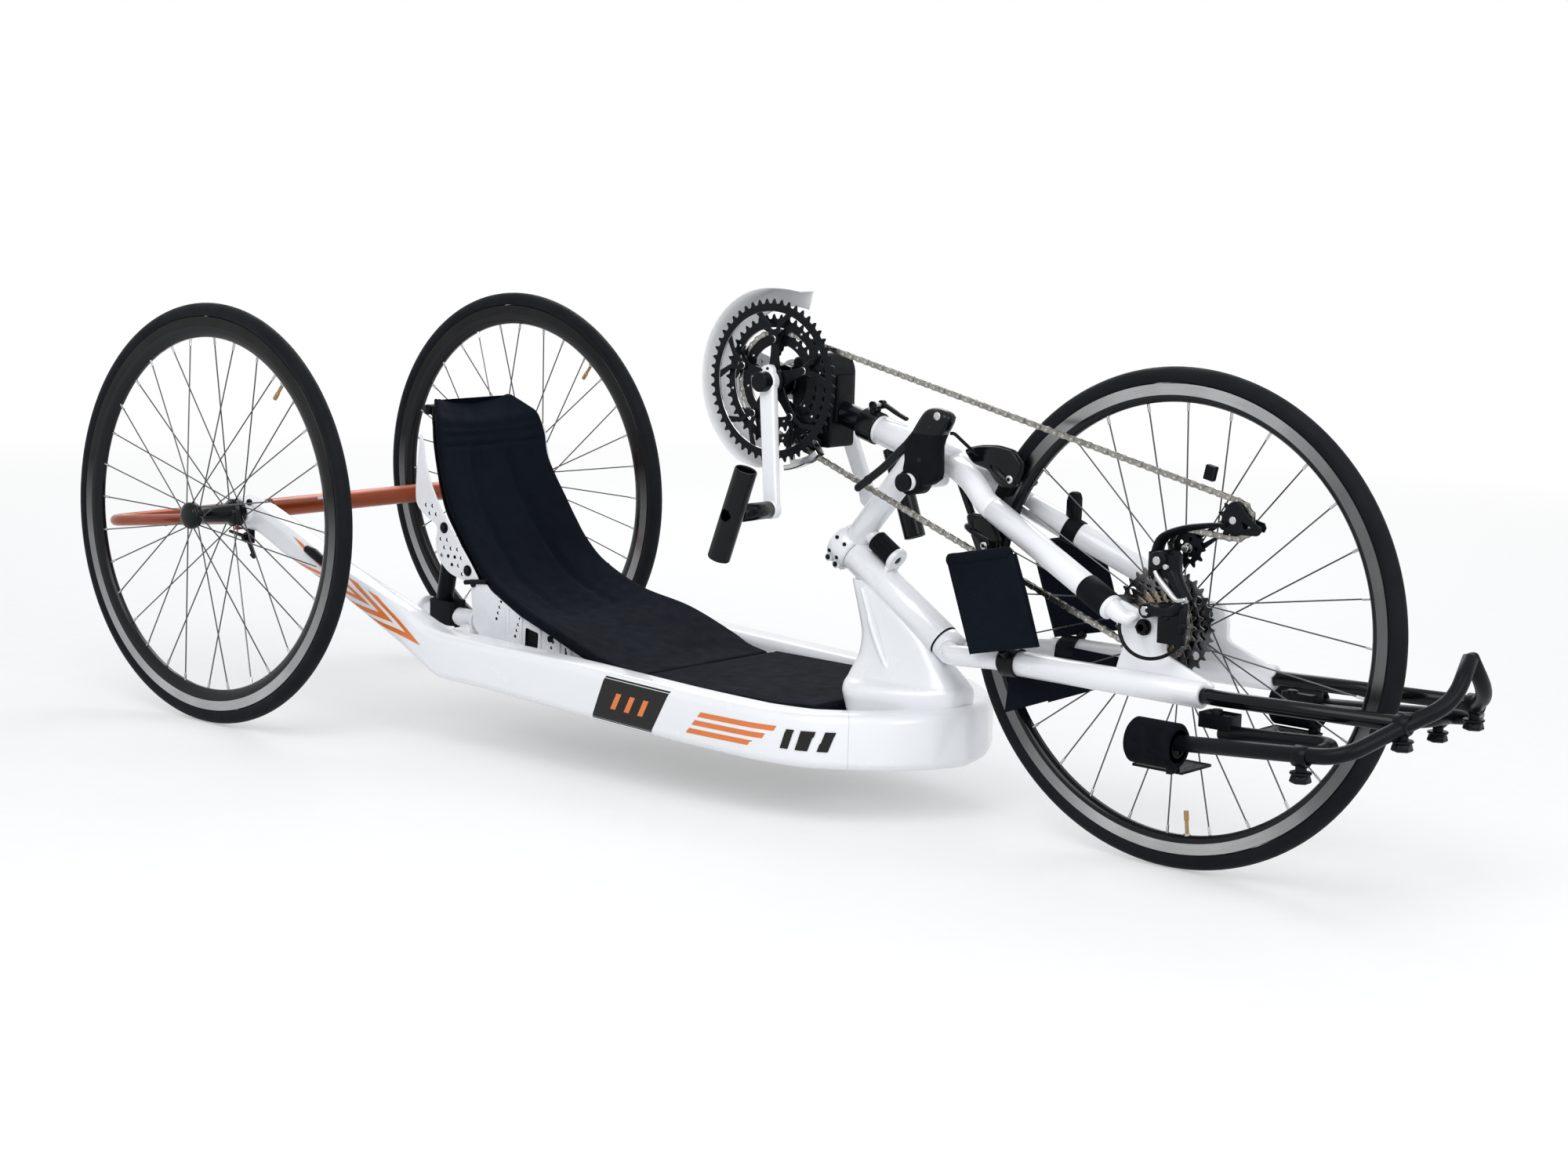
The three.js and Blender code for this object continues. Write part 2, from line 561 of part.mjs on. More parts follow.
// The bowl runs out to a flat, thin front edge
const flatten = row => Math.max(0, 1 - Math.max(0, row - seat.bowlShare) / (1 - seat.bowlShare));
const dish = (share, row) => seat.raise * (1 - bowl(share)) * flatten(row);

function cushionTop(share, row) {
  const across = crossGrooveShares.some(groove => Math.abs(groove - row) < grooveWideShare / 2);
  const inChannel = Math.abs(Math.abs(share) - longGrooveShare) < grooveWideShare && row > crossGrooveShares.at(-1);
  return dish(share, row) + (across ? seat.crossGroove : 0) + (inChannel ? seat.longGroove : 0);
}
const cushionBase = (share, row) => dish(share, row) + seat.edge + (seat.thick - seat.edge) * (1 - bowl(share)) * flatten(row);

addPiece('back_cushion', slab(
  seatGrid(columnShares, cushionTop, track, true),
  seatGrid(columnShares, cushionBase, track, true),
), 'fabric');

// Flat front cushion between the rails, up to the head tower
const pad = { rear: 694, middle: 940, front: 983, halfRear: 142, halfMiddle: 141, halfFront: 122, low: 131, top: 146, crown: 4 };
const padEdge = [
  [pad.rear, -pad.halfRear], [pad.middle, -pad.halfMiddle], [pad.front, -pad.halfFront],
  [pad.front, pad.halfFront], [pad.middle, pad.halfMiddle], [pad.rear, pad.halfRear],
];
const padCentre = v((pad.rear + pad.front) / 2, 0, 0);
const padLoop = (height, share) => padEdge.map(([x, y]) => v(padCentre.x + (x - padCentre.x) * share, y * share, height));
const padInsetShare = 0.94;
addPiece('front_cushion', loft([
  padLoop(pad.low, padInsetShare),
  padLoop(pad.low + pad.crown, 1),
  padLoop(pad.top - pad.crown, 1),
  padLoop(pad.top, padInsetShare),
]), 'fabric');

// Seat shell: a thin sheet under the cushion that runs on as a floor under the front cushion
const shellTop = (share, row) => cushionBase(share, row) + seat.gap;
const shellColumns = sheetColumns.map(k => columnShares[k]);
const shellUpper = seatGrid(shellColumns, shellTop, seat.sheetHalf);
const shellLower = seatGrid(shellColumns, (share, row) => shellTop(share, row) + seat.sheet, seat.sheetHalf);
const floorTop = pad.low - clearance;
for (const [grid, height] of [[shellUpper, floorTop], [shellLower, floorTop - seat.sheet]]) {
  grid.push(shellColumns.map(share => v(pad.rear + pad.crown, share * seat.sheetHalf, height)));
  grid.push(shellColumns.map(share => v(pad.front, share * seat.sheetHalf, height)));
}

// Seat side plates: plates that carry the shell, each with a channelled skirt along the rail
const seatPlate = { inner: 121, thick: 3, boltRadius: 5, boltHead: 4 };
const upperPlateShares = [
  [0.1804, 1.425], [0.159, 1.182], [0.1583, 1.077], [0.1728, 1.025], [0.1914, 0.992], [0.1866, 0.903], [0.1928, 0.8276],
  [0.2073, 0.772], [0.2398, 0.739], [0.2571, 0.762], [0.2453, 0.86], [0.2267, 0.969], [0.2094, 1.084], [0.199, 1.189],
  [0.1914, 1.287], [0.1866, 1.379],
];
const skirtShares = [
  [0.2384, 0.729], [0.2543, 0.775], [0.2668, 0.71], [0.3096, 0.6], [0.3317, 0.54], [0.4147, 0.42], [0.4147, 0.368],
  [0.3248, 0.368], [0.2764, 0.394], [0.2433, 0.542],
];
const boltShares = [[0.2, 0.985], [0.2343, 0.8]];
const crossbar = { radius: 9, along: 0.5, high: 0.39 };
const atSeat = ([along, high]) => [along * wheelbase, high * tyre.radius];

function seatSidePlate() {
  const outer = -seatPlate.inner - seatPlate.thick;
  let body = join(plate(upperPlateShares.map(atSeat), outer, -seatPlate.inner), plate(skirtShares.map(atSeat), outer, -seatPlate.inner));
  for (const share of boltShares) {
    const [x, z] = atSeat(share);
    body = join(body, rod(v(x, outer - seatPlate.boltHead, z), v(x, outer + seatPlate.thick / 2, z), seatPlate.boltRadius, 6));
  }
  return body;
}

const railBoxes = join(sweepBox(railShares, -1), sweepBox(railShares, 1));
const widerRails = join(
  railBoxes,
  toSolidShift(sweepBox(railShares, -1), v(0, clearance, 0)),
  toSolidShift(sweepBox(railShares, 1), v(0, -clearance, 0)),
);
const [barX, barZ] = atSeat([crossbar.along, crossbar.high]);
const railInside = (rail.spread - rail.width) * 0.95;
const crossTube = cut(rod(v(barX, -railInside, barZ), v(barX, railInside, barZ), crossbar.radius), widerRails);

// Head support bracket behind the top of the seat
const headRest = { half: 66, radius: 5, lowX: 221, lowZ: 440, topX: 192, topZ: 462 };
const padding = slab(seatGrid(shellColumns, () => 0, track), seatGrid(shellColumns, shellTop, track));
const headBracket = cut(pipe([
  v(headRest.lowX, -headRest.half, headRest.lowZ), v(headRest.topX, -headRest.half, headRest.topZ),
  v(headRest.topX, headRest.half, headRest.topZ), v(headRest.lowX, headRest.half, headRest.lowZ),
], headRest.radius, headRest.radius * 3), padding);
addPiece('seat_shell', join(slab(shellUpper, shellLower), crossTube, headBracket), 'black');

// Seat rail on each side: a short tube with an end washer, a black post up to the side plate,
// and an outrigger that reaches the main rail
const seatRail = { aside: 106, tube: 13, from: 252, to: 392, high: 170, washer: 20, washerWidth: 4, bracketX: 336, bracket: 10, bracketZ: 153 };
const post = { lowX: 270, topX: 286, topZ: 262, radius: 12 };

function seatRailBody() {
  const y = -seatRail.aside;
  const tube = rod(v(seatRail.from, y, seatRail.high), v(seatRail.to, y, seatRail.high), seatRail.tube, 10);
  const washer = rod(v(seatRail.from - seatRail.washerWidth, y, seatRail.high), v(seatRail.from, y, seatRail.high), seatRail.washer, 12);
  const upright = rod(v(post.lowX, y, seatRail.high), v(post.topX, y, post.topZ), post.radius, 10);
  const outrigger = rod(v(seatRail.bracketX, y, seatRail.bracketZ), v(seatRail.bracketX, -rail.spread * 0.85, seatRail.bracketZ), seatRail.bracket, 10);
  return join(tube, washer, upright, outrigger);
}

for (const side of [-1, 1]) {
  const name = side < 0 ? 'right' : 'left';
  addPiece(`seat_plate_${name}`, mirrored(seatSidePlate(), side), 'white');
  addPiece(`seat_rail_${name}`, cut(mirrored(seatRailBody(), side), widerRails), 'white');
}

// Headset rings, and the rubber damper that draws the steering back to straight
const headsetLength = 9;
const headsetRing = (from, to) => cut(
  headBar(from, to, headTube.bore - clearance),
  headBore(from - overrun, to + overrun, steerer.radius),
);
addPiece('headset_upper', headsetRing(clearance, headsetLength), 'steel');
addPiece('headset_lower', headsetRing(headTube.length - headsetLength, headTube.length - clearance), 'steel');
addPiece('steering_damper', rod(onHead(damper.from, damper.above), onHead(damper.to, damper.above), damper.radius, 14), 'rubber');

// Fork crown: the steerer, a drum under the head tube and two arms that reach the lower legs
const fork = new THREE.Group();
bike.add(fork);
const clamp = { length: 32, radius: 26, lug: 10, lugFrom: 2 };
const crownTop = headTube.length + clearance;
const lowerStart = side => v(lower.startX, side * lower.startY, lower.startZ);
const lowerEnd = side => v(lower.endX, side * lower.endY, lower.endZ);
const lowerAlong = side => lowerEnd(side).sub(lowerStart(side)).normalize();
let crownBody = join(
  headBar(-clamp.length - overrun, crownTop + crown.length / 2, steerer.radius),
  headBar(crownTop, crownTop + crown.length, crown.radius),
);
for (const side of [-1, 1]) {
  crownBody = join(crownBody, pipe([
    v(crown.rearX, 0, crown.rearZ),
    v(crown.armX, side * crown.armY, crown.armZ),
    lowerStart(side).addScaledVector(lowerAlong(side), -crown.arm),
    lowerStart(side).addScaledVector(lowerAlong(side), -clearance),
  ], crown.arm, crown.arm * 1.2));
}
addPiece('fork_crown', crownBody, 'white', fork);

// Boom frame: clamp on the steerer, strut, boom tube and the yoke of the upper legs
const knee = side => v(leg.kneeX, side * leg.kneeY, leg.kneeZ);
const legEnd = side => v(leg.topEndX, side * leg.topEndY, leg.topEndZ);
const legAlong = side => legEnd(side).sub(knee(side)).normalize();
const boomRear = v(boom.rearX, 0, boom.rearZ);
const boomFront = v(boom.frontX, 0, boom.frontZ);
const boomAlong = boomFront.clone().sub(boomRear).normalize();
const onBoom = (along, aside = 0) => boomRear.clone().addScaledVector(boomAlong, along).add(v(0, aside, 0));
const boomDepth = boomFront.distanceTo(boomRear) * 0.6;
const yoke = { radius: 15.5, midX: 1150, midY: 24, midZ: 445 };
const stub = { x: 1085, z: 441, radius: 11, outer: -85 };
const strutEnds = { lowX: 940, lowZ: 338, topX: 1050, topZ: 472 };
let frameBody = join(
  rod(boomRear, boomFront, boom.radius, 12),
  rod(v(strutEnds.lowX, 0, strutEnds.lowZ), v(strutEnds.topX, 0, strutEnds.topZ), strut.radius),
  headBar(-clamp.length, -clearance, clamp.radius),
  rod(onHead(clamp.lugFrom, damper.above), onHead(damper.from - clearance, damper.above), clamp.lug, 10),
);
frameBody = join(
  frameBody,
  rod(onHead(-clamp.lug, damper.above), onHead(clamp.lugFrom, damper.above), clamp.lug, 10),
  rod(v(stub.x, stub.outer, stub.z), v(stub.x, 0, stub.z), stub.radius, 10),
);
const yokeArm = (side, radius) => pipe([
  boomFront.clone().addScaledVector(boomAlong, -yoke.radius / 2),
  v(yoke.midX, side * yoke.midY, yoke.midZ),
  knee(side),
  knee(side).addScaledVector(legAlong(side), yoke.radius),
], radius, yoke.radius, 8, 1);
frameBody = join(frameBody, yokeArm(-1, yoke.radius), yokeArm(1, yoke.radius));
frameBody = cut(
  frameBody,
  headBar(-clamp.length - overrun, headTube.length, steerer.radius + clearance),
  headBore(-clearance, headTube.length, headTube.radius),
  rod(onBoom(-overrun), onBoom(boomDepth + clearance), boom.inner + clearance, 10),
);
addPiece('boom_frame', frameBody, 'white', fork);

// Fork legs: an upper and a lower tube on each side, joined by the plate that holds the axle
const dropoutShares = [
  [0.9627, 1.1], [0.9744, 1.09], [0.9952, 1.058], [1.0131, 1.051], [1.0193, 0.985], [1.0193, 0.903],
  [1.067, 0.8145], [1.0643, 0.7816], [0.971, 0.7816], [0.9758, 0.86], [0.9813, 0.936], [0.971, 1.0],
];
const slide = { radius: 9.5, inside: 34 };
const sleeve = { radius: 17.2, length: 44, along: 0.8 };
for (const side of [-1, 1]) {
  const name = side < 0 ? 'right' : 'left';
  const upper = rod(knee(side).addScaledVector(legAlong(side), yoke.radius + clearance), legEnd(side), leg.radius, 10);
  const bottom = rod(lowerStart(side), lowerEnd(side), leg.radius, 10);
  const sheet = mirrored(plate(
    dropoutShares.map(([along, high]) => [along * wheelbase, high * tyre.radius]),
    -frontAxle.outside - frontAxle.plate, -frontAxle.outside,
  ), side);
  const socket = boreFor(
    lowerEnd(side).addScaledVector(lowerAlong(side), -slide.inside),
    lowerEnd(side).addScaledVector(lowerAlong(side), slide.radius),
    slide.radius,
  );
  const slot = disc(v(wheelbase, side * frontAxle.outside, tyre.radius), axisY, frontAxle.radius + clearance, frontAxle.plate * 4, 12);
  const inside = box(
    v(wheelbase - frontHub.flange * 4, side < 0 ? -frontAxle.outside : 0, 0),
    v(wheelbase + frontHub.flange * 4, side < 0 ? 0 : frontAxle.outside, track),
  );
  const sleeveFrom = knee(side).lerp(legEnd(side), sleeve.along);
  const wrap = rod(sleeveFrom, sleeveFrom.clone().addScaledVector(legAlong(side), sleeve.length), sleeve.radius, 10);
  addPiece(`fork_leg_${name}`, cut(join(upper, wrap, bottom, sheet), socket, slot, inside), 'white', fork);
}

// Front axle with a nut at its right end and a quick-release lever at its left
const axleEnd = frontAxle.outside + frontAxle.plate + clearance;
const nutFrom = side => v(wheelbase, side * axleEnd, tyre.radius);
const nutTo = side => v(wheelbase, side * (axleEnd + frontAxle.nutWidth), tyre.radius);
const release = { length: 24, drop: 36, radius: 4 };
addPiece('front_axle', join(
  rod(nutTo(-1), nutTo(1), frontAxle.radius, 10),
  rod(nutFrom(-1), nutTo(-1), frontAxle.nut, 10),
  rod(nutFrom(1), nutTo(1), frontAxle.nut, 10),
  pipe([
    nutTo(1).add(v(0, -release.radius, 0)),
    nutTo(1).add(v(-release.length, -release.radius / 2, -release.drop)),
  ], release.radius, 0, 8),
), 'black', fork);

// Boom slide: the inner tube that carries the crank bearing, held by a collar with a lever
const block = { rear: 850, front: 918, low: 465, high: 590, half: 25, chamfer: 22 };
const shellTube = { radius: 20, half: 34, bore: 12.6 };
const slideOut = (boom.rearX - block.front + block.half) / boomAlong.x;
const blockOutline = [
  [block.rear, block.low + block.chamfer], [block.rear + block.chamfer, block.low], [block.front, block.low],
  [block.front, block.high - block.chamfer], [block.front - block.chamfer / 2, block.high], [block.rear, block.high - block.chamfer / 2],
];
const crankCentre = v(crank.x, 0, crank.z);
const boomSlide = cut(
  join(
    rod(onBoom(-slideOut), onBoom(boomDepth), boom.inner, 10),
    plate(blockOutline, -block.half, block.half),
    disc(crankCentre, axisY, shellTube.radius, shellTube.half * 2, 16),
  ),
  disc(crankCentre, axisY, shellTube.bore, shellTube.half * 3, 16),
);
addPiece('boom_slide', boomSlide, 'black', fork);

const collar = { length: 26, radius: 21.5, earHigh: 27, ear: 6, pin: 3, leverLength: 44, leverHigh: 29, leverHalf: 4 };
const collarBore = rod(onBoom(-collar.length - overrun), onBoom(overrun), boom.inner + clearance, 10);
const boomAbove = axisY.clone().cross(boomAlong).multiplyScalar(-1);
const aboveBoom = (along, above, aside = 0) => onBoom(along, aside).addScaledVector(boomAbove, above);
const earAt = -collar.length / 2;
const ears = rod(aboveBoom(earAt, 0), aboveBoom(earAt, collar.earHigh), collar.ear, 10);
const leverPin = rod(aboveBoom(earAt, collar.leverHigh, -collar.ear * 2), aboveBoom(earAt, collar.leverHigh, collar.ear * 2), collar.pin, 10);
addPiece('boom_collar', cut(join(
  rod(onBoom(-collar.length), onBoom(-clearance), collar.radius, 14), ears, leverPin,
), collarBore), 'black', fork);
const leverReach = collar.leverLength;
const leverSide = collar.ear + runningGap + collar.leverHalf / 2;
addPiece('collar_lever', cut(
  join(
    rod(aboveBoom(earAt, collar.leverHigh, collar.ear + runningGap), aboveBoom(earAt, collar.leverHigh, leverSide + collar.leverHalf), collar.pin * 2, 10),
    rod(
      aboveBoom(earAt, collar.leverHigh + collar.pin, leverSide + collar.leverHalf / 2),
      aboveBoom(earAt + leverReach, collar.leverHigh + collar.pin, leverSide + collar.leverHalf / 2),
      collar.leverHalf, 8,
    ),
  ),
  rod(aboveBoom(earAt, collar.leverHigh, 0), aboveBoom(earAt, collar.leverHigh, collar.ear * 4), collar.pin + clearance, 10),
), 'black', fork);

// Cranks: both arms point the same way; the left one carries the spindle
const armAlong = v(Math.sin(crank.tilt), 0, -Math.cos(crank.tilt));
const armAcross = v(Math.cos(crank.tilt), 0, Math.sin(crank.tilt));
const pedalCentre = crankCentre.clone().addScaledVector(armAlong, crank.length);
const spindle = { radius: 12, cap: 13.5, capWidth: 14, pedal: 5, boss: 15.5 };
const pedalEnd = handle.aside - handle.radius - overrun;
const boltCircle = { outer: 55, inner: 37, boss: 6.5, arms: 5, armWidth: 13, hub: 19 };
const ringWidth = 3;
const ringAt = { large: -57, middle: -49.2, small: -43 };
const spider = { outer: -55.2, inner: -51 };

// An arm leans outward from its boss on the spindle to its boss on the pedal pin
function crankArm(side) {
  const foot = crank.inner + crank.flare;
  const at = (spot, depth) => spot.clone().setY(side * depth);
  const half = crank.width / 2;
  const corners = [[-1, 0], [1, 0], [1, crank.thick], [-1, crank.thick]];
  const section = (spot, inner, reach) => corners.map(([way, depth]) =>
    at(spot.clone().addScaledVector(armAcross, way * reach), inner + depth));
  return join(
    loft([section(crankCentre, crank.inner, half), section(pedalCentre, foot, half * 0.9)]),
    rod(at(crankCentre, crank.inner), at(crankCentre, crank.inner + crank.thick), spindle.boss, 12),
    rod(at(pedalCentre, foot), at(pedalCentre, foot + crank.thick), half, 10),
    rod(at(crankCentre, crank.inner + crank.thick), at(crankCentre, crank.inner + crank.thick + spindle.capWidth), spindle.cap, 12),
    rod(at(pedalCentre, foot + crank.thick - overrun), at(pedalCentre, pedalEnd), spindle.pedal, 10),
  );
}

const fiveWays = [...Array(boltCircle.arms).keys()].map(k => (k / boltCircle.arms + 1 / 4) * 2 * Math.PI);
const ringSpot = (radius, angle, y) => v(crank.x + radius * Math.cos(angle), y, crank.z + radius * Math.sin(angle));

function radialBar(fromRadius, toRadius, angle, width, yLow, yHigh) {
  const side = v(-Math.sin(angle), 0, Math.cos(angle)).multiplyScalar(width / 2);
  const ends = [ringSpot(fromRadius, angle, 0), ringSpot(toRadius, angle, 0)];
  const loop = [ends[0].clone().sub(side), ends[1].clone().sub(side), ends[1].clone().add(side), ends[0].clone().add(side)];
  return plate(loop.map(spot => [spot.x, spot.z]), yLow, yHigh);
}

function spiderBody() {
  let body = rod(crankCentre.clone().setY(spider.outer - overrun), crankCentre.clone().setY(spider.inner), boltCircle.hub, 10);
  body = join(body, rod(crankCentre.clone().setY(-crank.inner - overrun), crankCentre.clone().setY(spider.outer), boltCircle.hub * 0.9, 10));
  for (const angle of fiveWays) {
    body = join(
      body,
      radialBar(boltCircle.hub * 0.6, boltCircle.outer + boltCircle.boss, angle, boltCircle.armWidth, spider.outer, spider.inner),
      rod(ringSpot(boltCircle.inner, angle, spider.inner), ringSpot(boltCircle.inner, angle, ringAt.small - ringWidth / 2 - clearance), boltCircle.boss * 0.8, 5),
    );
  }
  return body;
}

const spindleInner = shellTube.half + runningGap;
addPiece('crank_right', cut(
  join(crankArm(-1), spiderBody()),
  rod(crankCentre.clone().setY(-crank.inner - crank.thick / 2), crankCentre.clone().setY(-shellTube.half), spindle.radius + clearance, 12),
), 'white', fork);
addPiece('crank_left', join(
  crankArm(1),
  rod(crankCentre.clone().setY(-crank.inner - crank.thick / 2 + clearance), crankCentre.clone().setY(crank.inner), spindle.radius, 12),
  rod(crankCentre.clone().setY(spindleInner), crankCentre.clone().setY(crank.inner), spindle.boss, 12),
), 'white', fork);

// Toothed plates: pitch radius from the chain's pitch and the number of teeth
const pitchRadius = count => chain.pitch / (2 * Math.sin(Math.PI / count));

const holeSides = 10;
const ringSides = 22;

function toothed(centre, count, y, width, innerRadius) {
  const pitch = pitchRadius(count);
  const outline = [...Array(count * 2).keys()].map(k => {
    const angle = (k / (count * 2)) * 2 * Math.PI;
    const radius = k % 2 ? pitch - teeth.root : pitch + teeth.tip;
    return [centre.x + radius * Math.cos(angle), centre.z + radius * Math.sin(angle)];
  });
  const body = plate(outline, y - width / 2, y + width / 2);
  return cut(body, rod(centre.clone().setY(y - width), centre.clone().setY(y + width), innerRadius, holeSides));
}

const plainRing = (count, y, innerRadius) => cut(
  disc(crankCentre.clone().setY(y), axisY, pitchRadius(count) + teeth.tip, ringWidth, ringSides),
  disc(crankCentre.clone().setY(y), axisY, innerRadius, ringWidth * 2, ringSides),
);

function armedRing(count, y, rimWidth, boltRadius) {
  let body = plainRing(count, y, pitchRadius(count) - rimWidth);
  for (const angle of fiveWays) {
    body = join(body, radialBar(
      boltRadius - boltCircle.boss, pitchRadius(count) - rimWidth * 0.6, angle, boltCircle.armWidth, y - ringWidth / 2, y + ringWidth / 2,
    ));
  }
  return body;
}

const ringRims = { large: 14, middle: 15, small: 17 };
addPiece('chainring_large', armedRing(teeth.large, ringAt.large, ringRims.large, boltCircle.outer), 'black', fork);
addPiece('chainring_middle', armedRing(teeth.middle, ringAt.middle, ringRims.middle, boltCircle.outer), 'black', fork);
addPiece('chainring_small', armedRing(teeth.small, ringAt.small, ringRims.small, boltCircle.inner + boltCircle.boss), 'black', fork);

// Handles: a hollow grip tube on each crank, turned freely on its pedal pin, with an arm round the pin
for (const side of [-1, 1]) {
  const name = side < 0 ? 'right' : 'left';
  const centre = pedalCentre.clone().setY(side * handle.aside);
  const lean = v(-side * Math.sin(handle.lean), 0, Math.cos(handle.lean)).multiplyScalar(handle.length / 2);
  const housing = { from: side * (crank.inner + crank.flare + crank.thick + runningGap), to: side * handle.aside, radius: 11.5 };
  const grip = rod(centre.clone().sub(lean), centre.clone().add(lean), handle.radius, 12);
  const bore = rod(centre.clone().addScaledVector(lean, -1.2), centre.clone().addScaledVector(lean, 1.2), handle.bore, 10);
  const arm = rod(pedalCentre.clone().setY(housing.from), pedalCentre.clone().setY(housing.to), housing.radius, 10);
  const pin = rod(
    pedalCentre.clone().setY(housing.from - side * overrun), pedalCentre.clone().setY(side * (pedalEnd + runningGap)),
    spindle.pedal + runningGap, 10,
  );
  const hole = rod(centre, centre.clone().setY(side * (handle.aside + handle.radius + overrun)), handle.hole, 10);
  addPiece(`handle_${name}`, cut(join(grip, arm), bore, pin, hole), 'black', fork);
}

// Chain guard: a band round the rear half of the rings, on a side sheet that clamps on the bearing shell
const guard = { inner: 120.5, wall: 2, from: THREE.MathUtils.degToRad(76), to: THREE.MathUtils.degToRad(255), outer: -60, inside: -12, sheet: 2, sheetInner: 96, arm: 34 };

function arcBand(centre, innerRadius, outerRadius, from, to, yLow, yHigh, steps) {
  const outline = [];
  for (const [radius, order] of [[outerRadius, 1], [innerRadius, -1]]) {
    const spots = [...Array(steps + 1).keys()].map(k => {
      const angle = from + ((to - from) * k) / steps;
      return [centre.x + radius * Math.cos(angle), centre.z + radius * Math.sin(angle)];
    });
    outline.push(...(order > 0 ? spots : spots.reverse()));
  }
  return plate(outline, yLow, yHigh);
}

const guardArm = radialBar(0, guard.sheetInner + guard.sheet, (guard.from + guard.to) / 2, guard.arm, guard.inside - guard.sheet, guard.inside);
addPiece('chain_guard', cut(
  join(
    arcBand(crankCentre, guard.inner, guard.inner + guard.wall, guard.from, guard.to, guard.outer, guard.inside, 14),
    arcBand(crankCentre, guard.sheetInner, guard.inner + guard.wall / 2, guard.from, guard.to, guard.inside - guard.sheet, guard.inside, 14),
    guardArm,
  ),
  disc(crankCentre, axisY, shellTube.radius + clearance, track, 16),
  box(v(block.rear - clearance, -block.half - clearance, block.low - crank.length), v(block.front, 0, block.high + clearance)),
), 'white', fork);

// Front derailleur: a cage of two plates and a bridge around the chain below the rings, on an arm to the block
const cage = {
  outer: 118, innerRadius: 111, wall: 2, outerY: -51, innerY: -35.5, thin: 1.6, deep: 78,
  from: THREE.MathUtils.degToRad(-81), bridgeTo: THREE.MathUtils.degToRad(-62), to: THREE.MathUtils.degToRad(-50),
  armAngle: THREE.MathUtils.degToRad(-57), armRadius: 84, arm: 7,
};
const cageArmSpot = ringSpot(cage.armRadius, cage.armAngle, cage.innerY - cage.thin / 2);
addPiece('front_derailleur', join(
  arcBand(crankCentre, cage.innerRadius, cage.outer, cage.from, cage.to, cage.outerY, cage.outerY + cage.thin, 6),
  arcBand(crankCentre, cage.deep, cage.outer, cage.from, cage.to, cage.innerY - cage.thin, cage.innerY, 6),
  arcBand(crankCentre, cage.outer - cage.wall, cage.outer, cage.from, cage.bridgeTo, cage.outerY, cage.innerY, 5),
  rod(cageArmSpot, cageArmSpot.clone().setY(-block.half - clearance), cage.arm, 10),
), 'black', fork);

// Chain path: wraps between circles, seen from the right with X to the right
const guide = v(1482, 0, 400);
const tension = v(1545, 0, 440);
const hubSpot = v(wheelbase, 0, tyre.radius);
const stations = [
  { centre: crankCentre, radius: pitchRadius(teeth.small), way: 1, step: 24 },
  { centre: tension, radius: pitchRadius(teeth.jockey), way: 1, step: 30 },
  { centre: guide, radius: pitchRadius(teeth.jockey), way: -1, step: 30 },
  { centre: hubSpot, radius: pitchRadius(teeth.sprocket), way: 1, step: 30 },
];

function tangentOf(a, b) {
  const dx = b.centre.x - a.centre.x;
  const dz = b.centre.z - a.centre.z;
  const offset = b.way * b.radius - a.way * a.radius;
  const distance = Math.hypot(dx, dz);
  const run = Math.sqrt(distance ** 2 - offset ** 2);
  return { x: (dx * run - dz * offset) / distance ** 2, z: (dz * run + dx * offset) / distance ** 2 };
}

function chainPath() {
  const spots = [];
  stations.forEach((station, k) => {
    const arrive = tangentOf(stations[(k + 3) % 4], station);
    const leave = tangentOf(station, stations[(k + 1) % 4]);
    const angleOf = d => Math.atan2(station.way * d.x, -station.way * d.z);
    const start = angleOf(arrive);
    let sweep = (angleOf(leave) - start) * -station.way;
    while (sweep < 0) sweep += 2 * Math.PI;
    const count = Math.max(2, Math.ceil(sweep / THREE.MathUtils.degToRad(station.step)));
    for (let n = 0; n <= count; n++) {
      const angle = start - (station.way * sweep * n) / count;
      const outward = v(Math.cos(angle), 0, Math.sin(angle));
      const spot = station.centre.clone().addScaledVector(outward, station.radius);
      spots.push({ spot, normal: outward.multiplyScalar(station.way), web: station.way });
    }
  });
  return spots;
}

function chainLoop() {
  const { half, plate: side, reach, web, webRim } = chain;
  const gap = half - side;
  const section = way => {
    const [low, high] = way > 0 ? [webRim, webRim + web] : [-webRim - web, -webRim];
    return [
      [half, -reach], [half, reach], [gap, reach], [gap, high], [-gap, high], [-gap, reach],
      [-half, reach], [-half, -reach], [-gap, -reach], [-gap, low], [gap, low], [gap, -reach],
    ];
  };
  const rings = chainPath().map(({ spot, normal, web: way }) =>
    section(way).map(([aside, out]) => spot.clone().addScaledVector(normal, out).setY(chain.plane + aside)));
  const count = rings[0].length;
  const index = [];
  rings.forEach((ring, r) => {
    const next = (r + 1) % rings.length;
    for (let k = 0; k < count; k++) {
      const a = r * count + k;
      const b = r * count + (k + 1) % count;
      const c = next * count + (k + 1) % count;
      const d = next * count + k;
      index.push(a, b, c, a, c, d);
    }
  });
  const geometry = new THREE.BufferGeometry();
  geometry.setAttribute('position', new THREE.Float32BufferAttribute(rings.flat().flatMap(p => p.toArray()), 3));
  geometry.setIndex(index);
  return solid(geometry);
}
addPiece('chain', chainLoop(), 'steel', fork);

// Cassette: a stepped cone of sprockets, toothed where the chain runs and at the largest
const stack = { first: -31.4, step: 3.9, sprocketWidth: 1.8, body: 33, back: -29.5, lock: -64.6, lockRadius: 14 };
const coneTeeth = [28, 24, 0, 19, 17, 15, 13, 11];
const chainSlot = coneTeeth.indexOf(0);

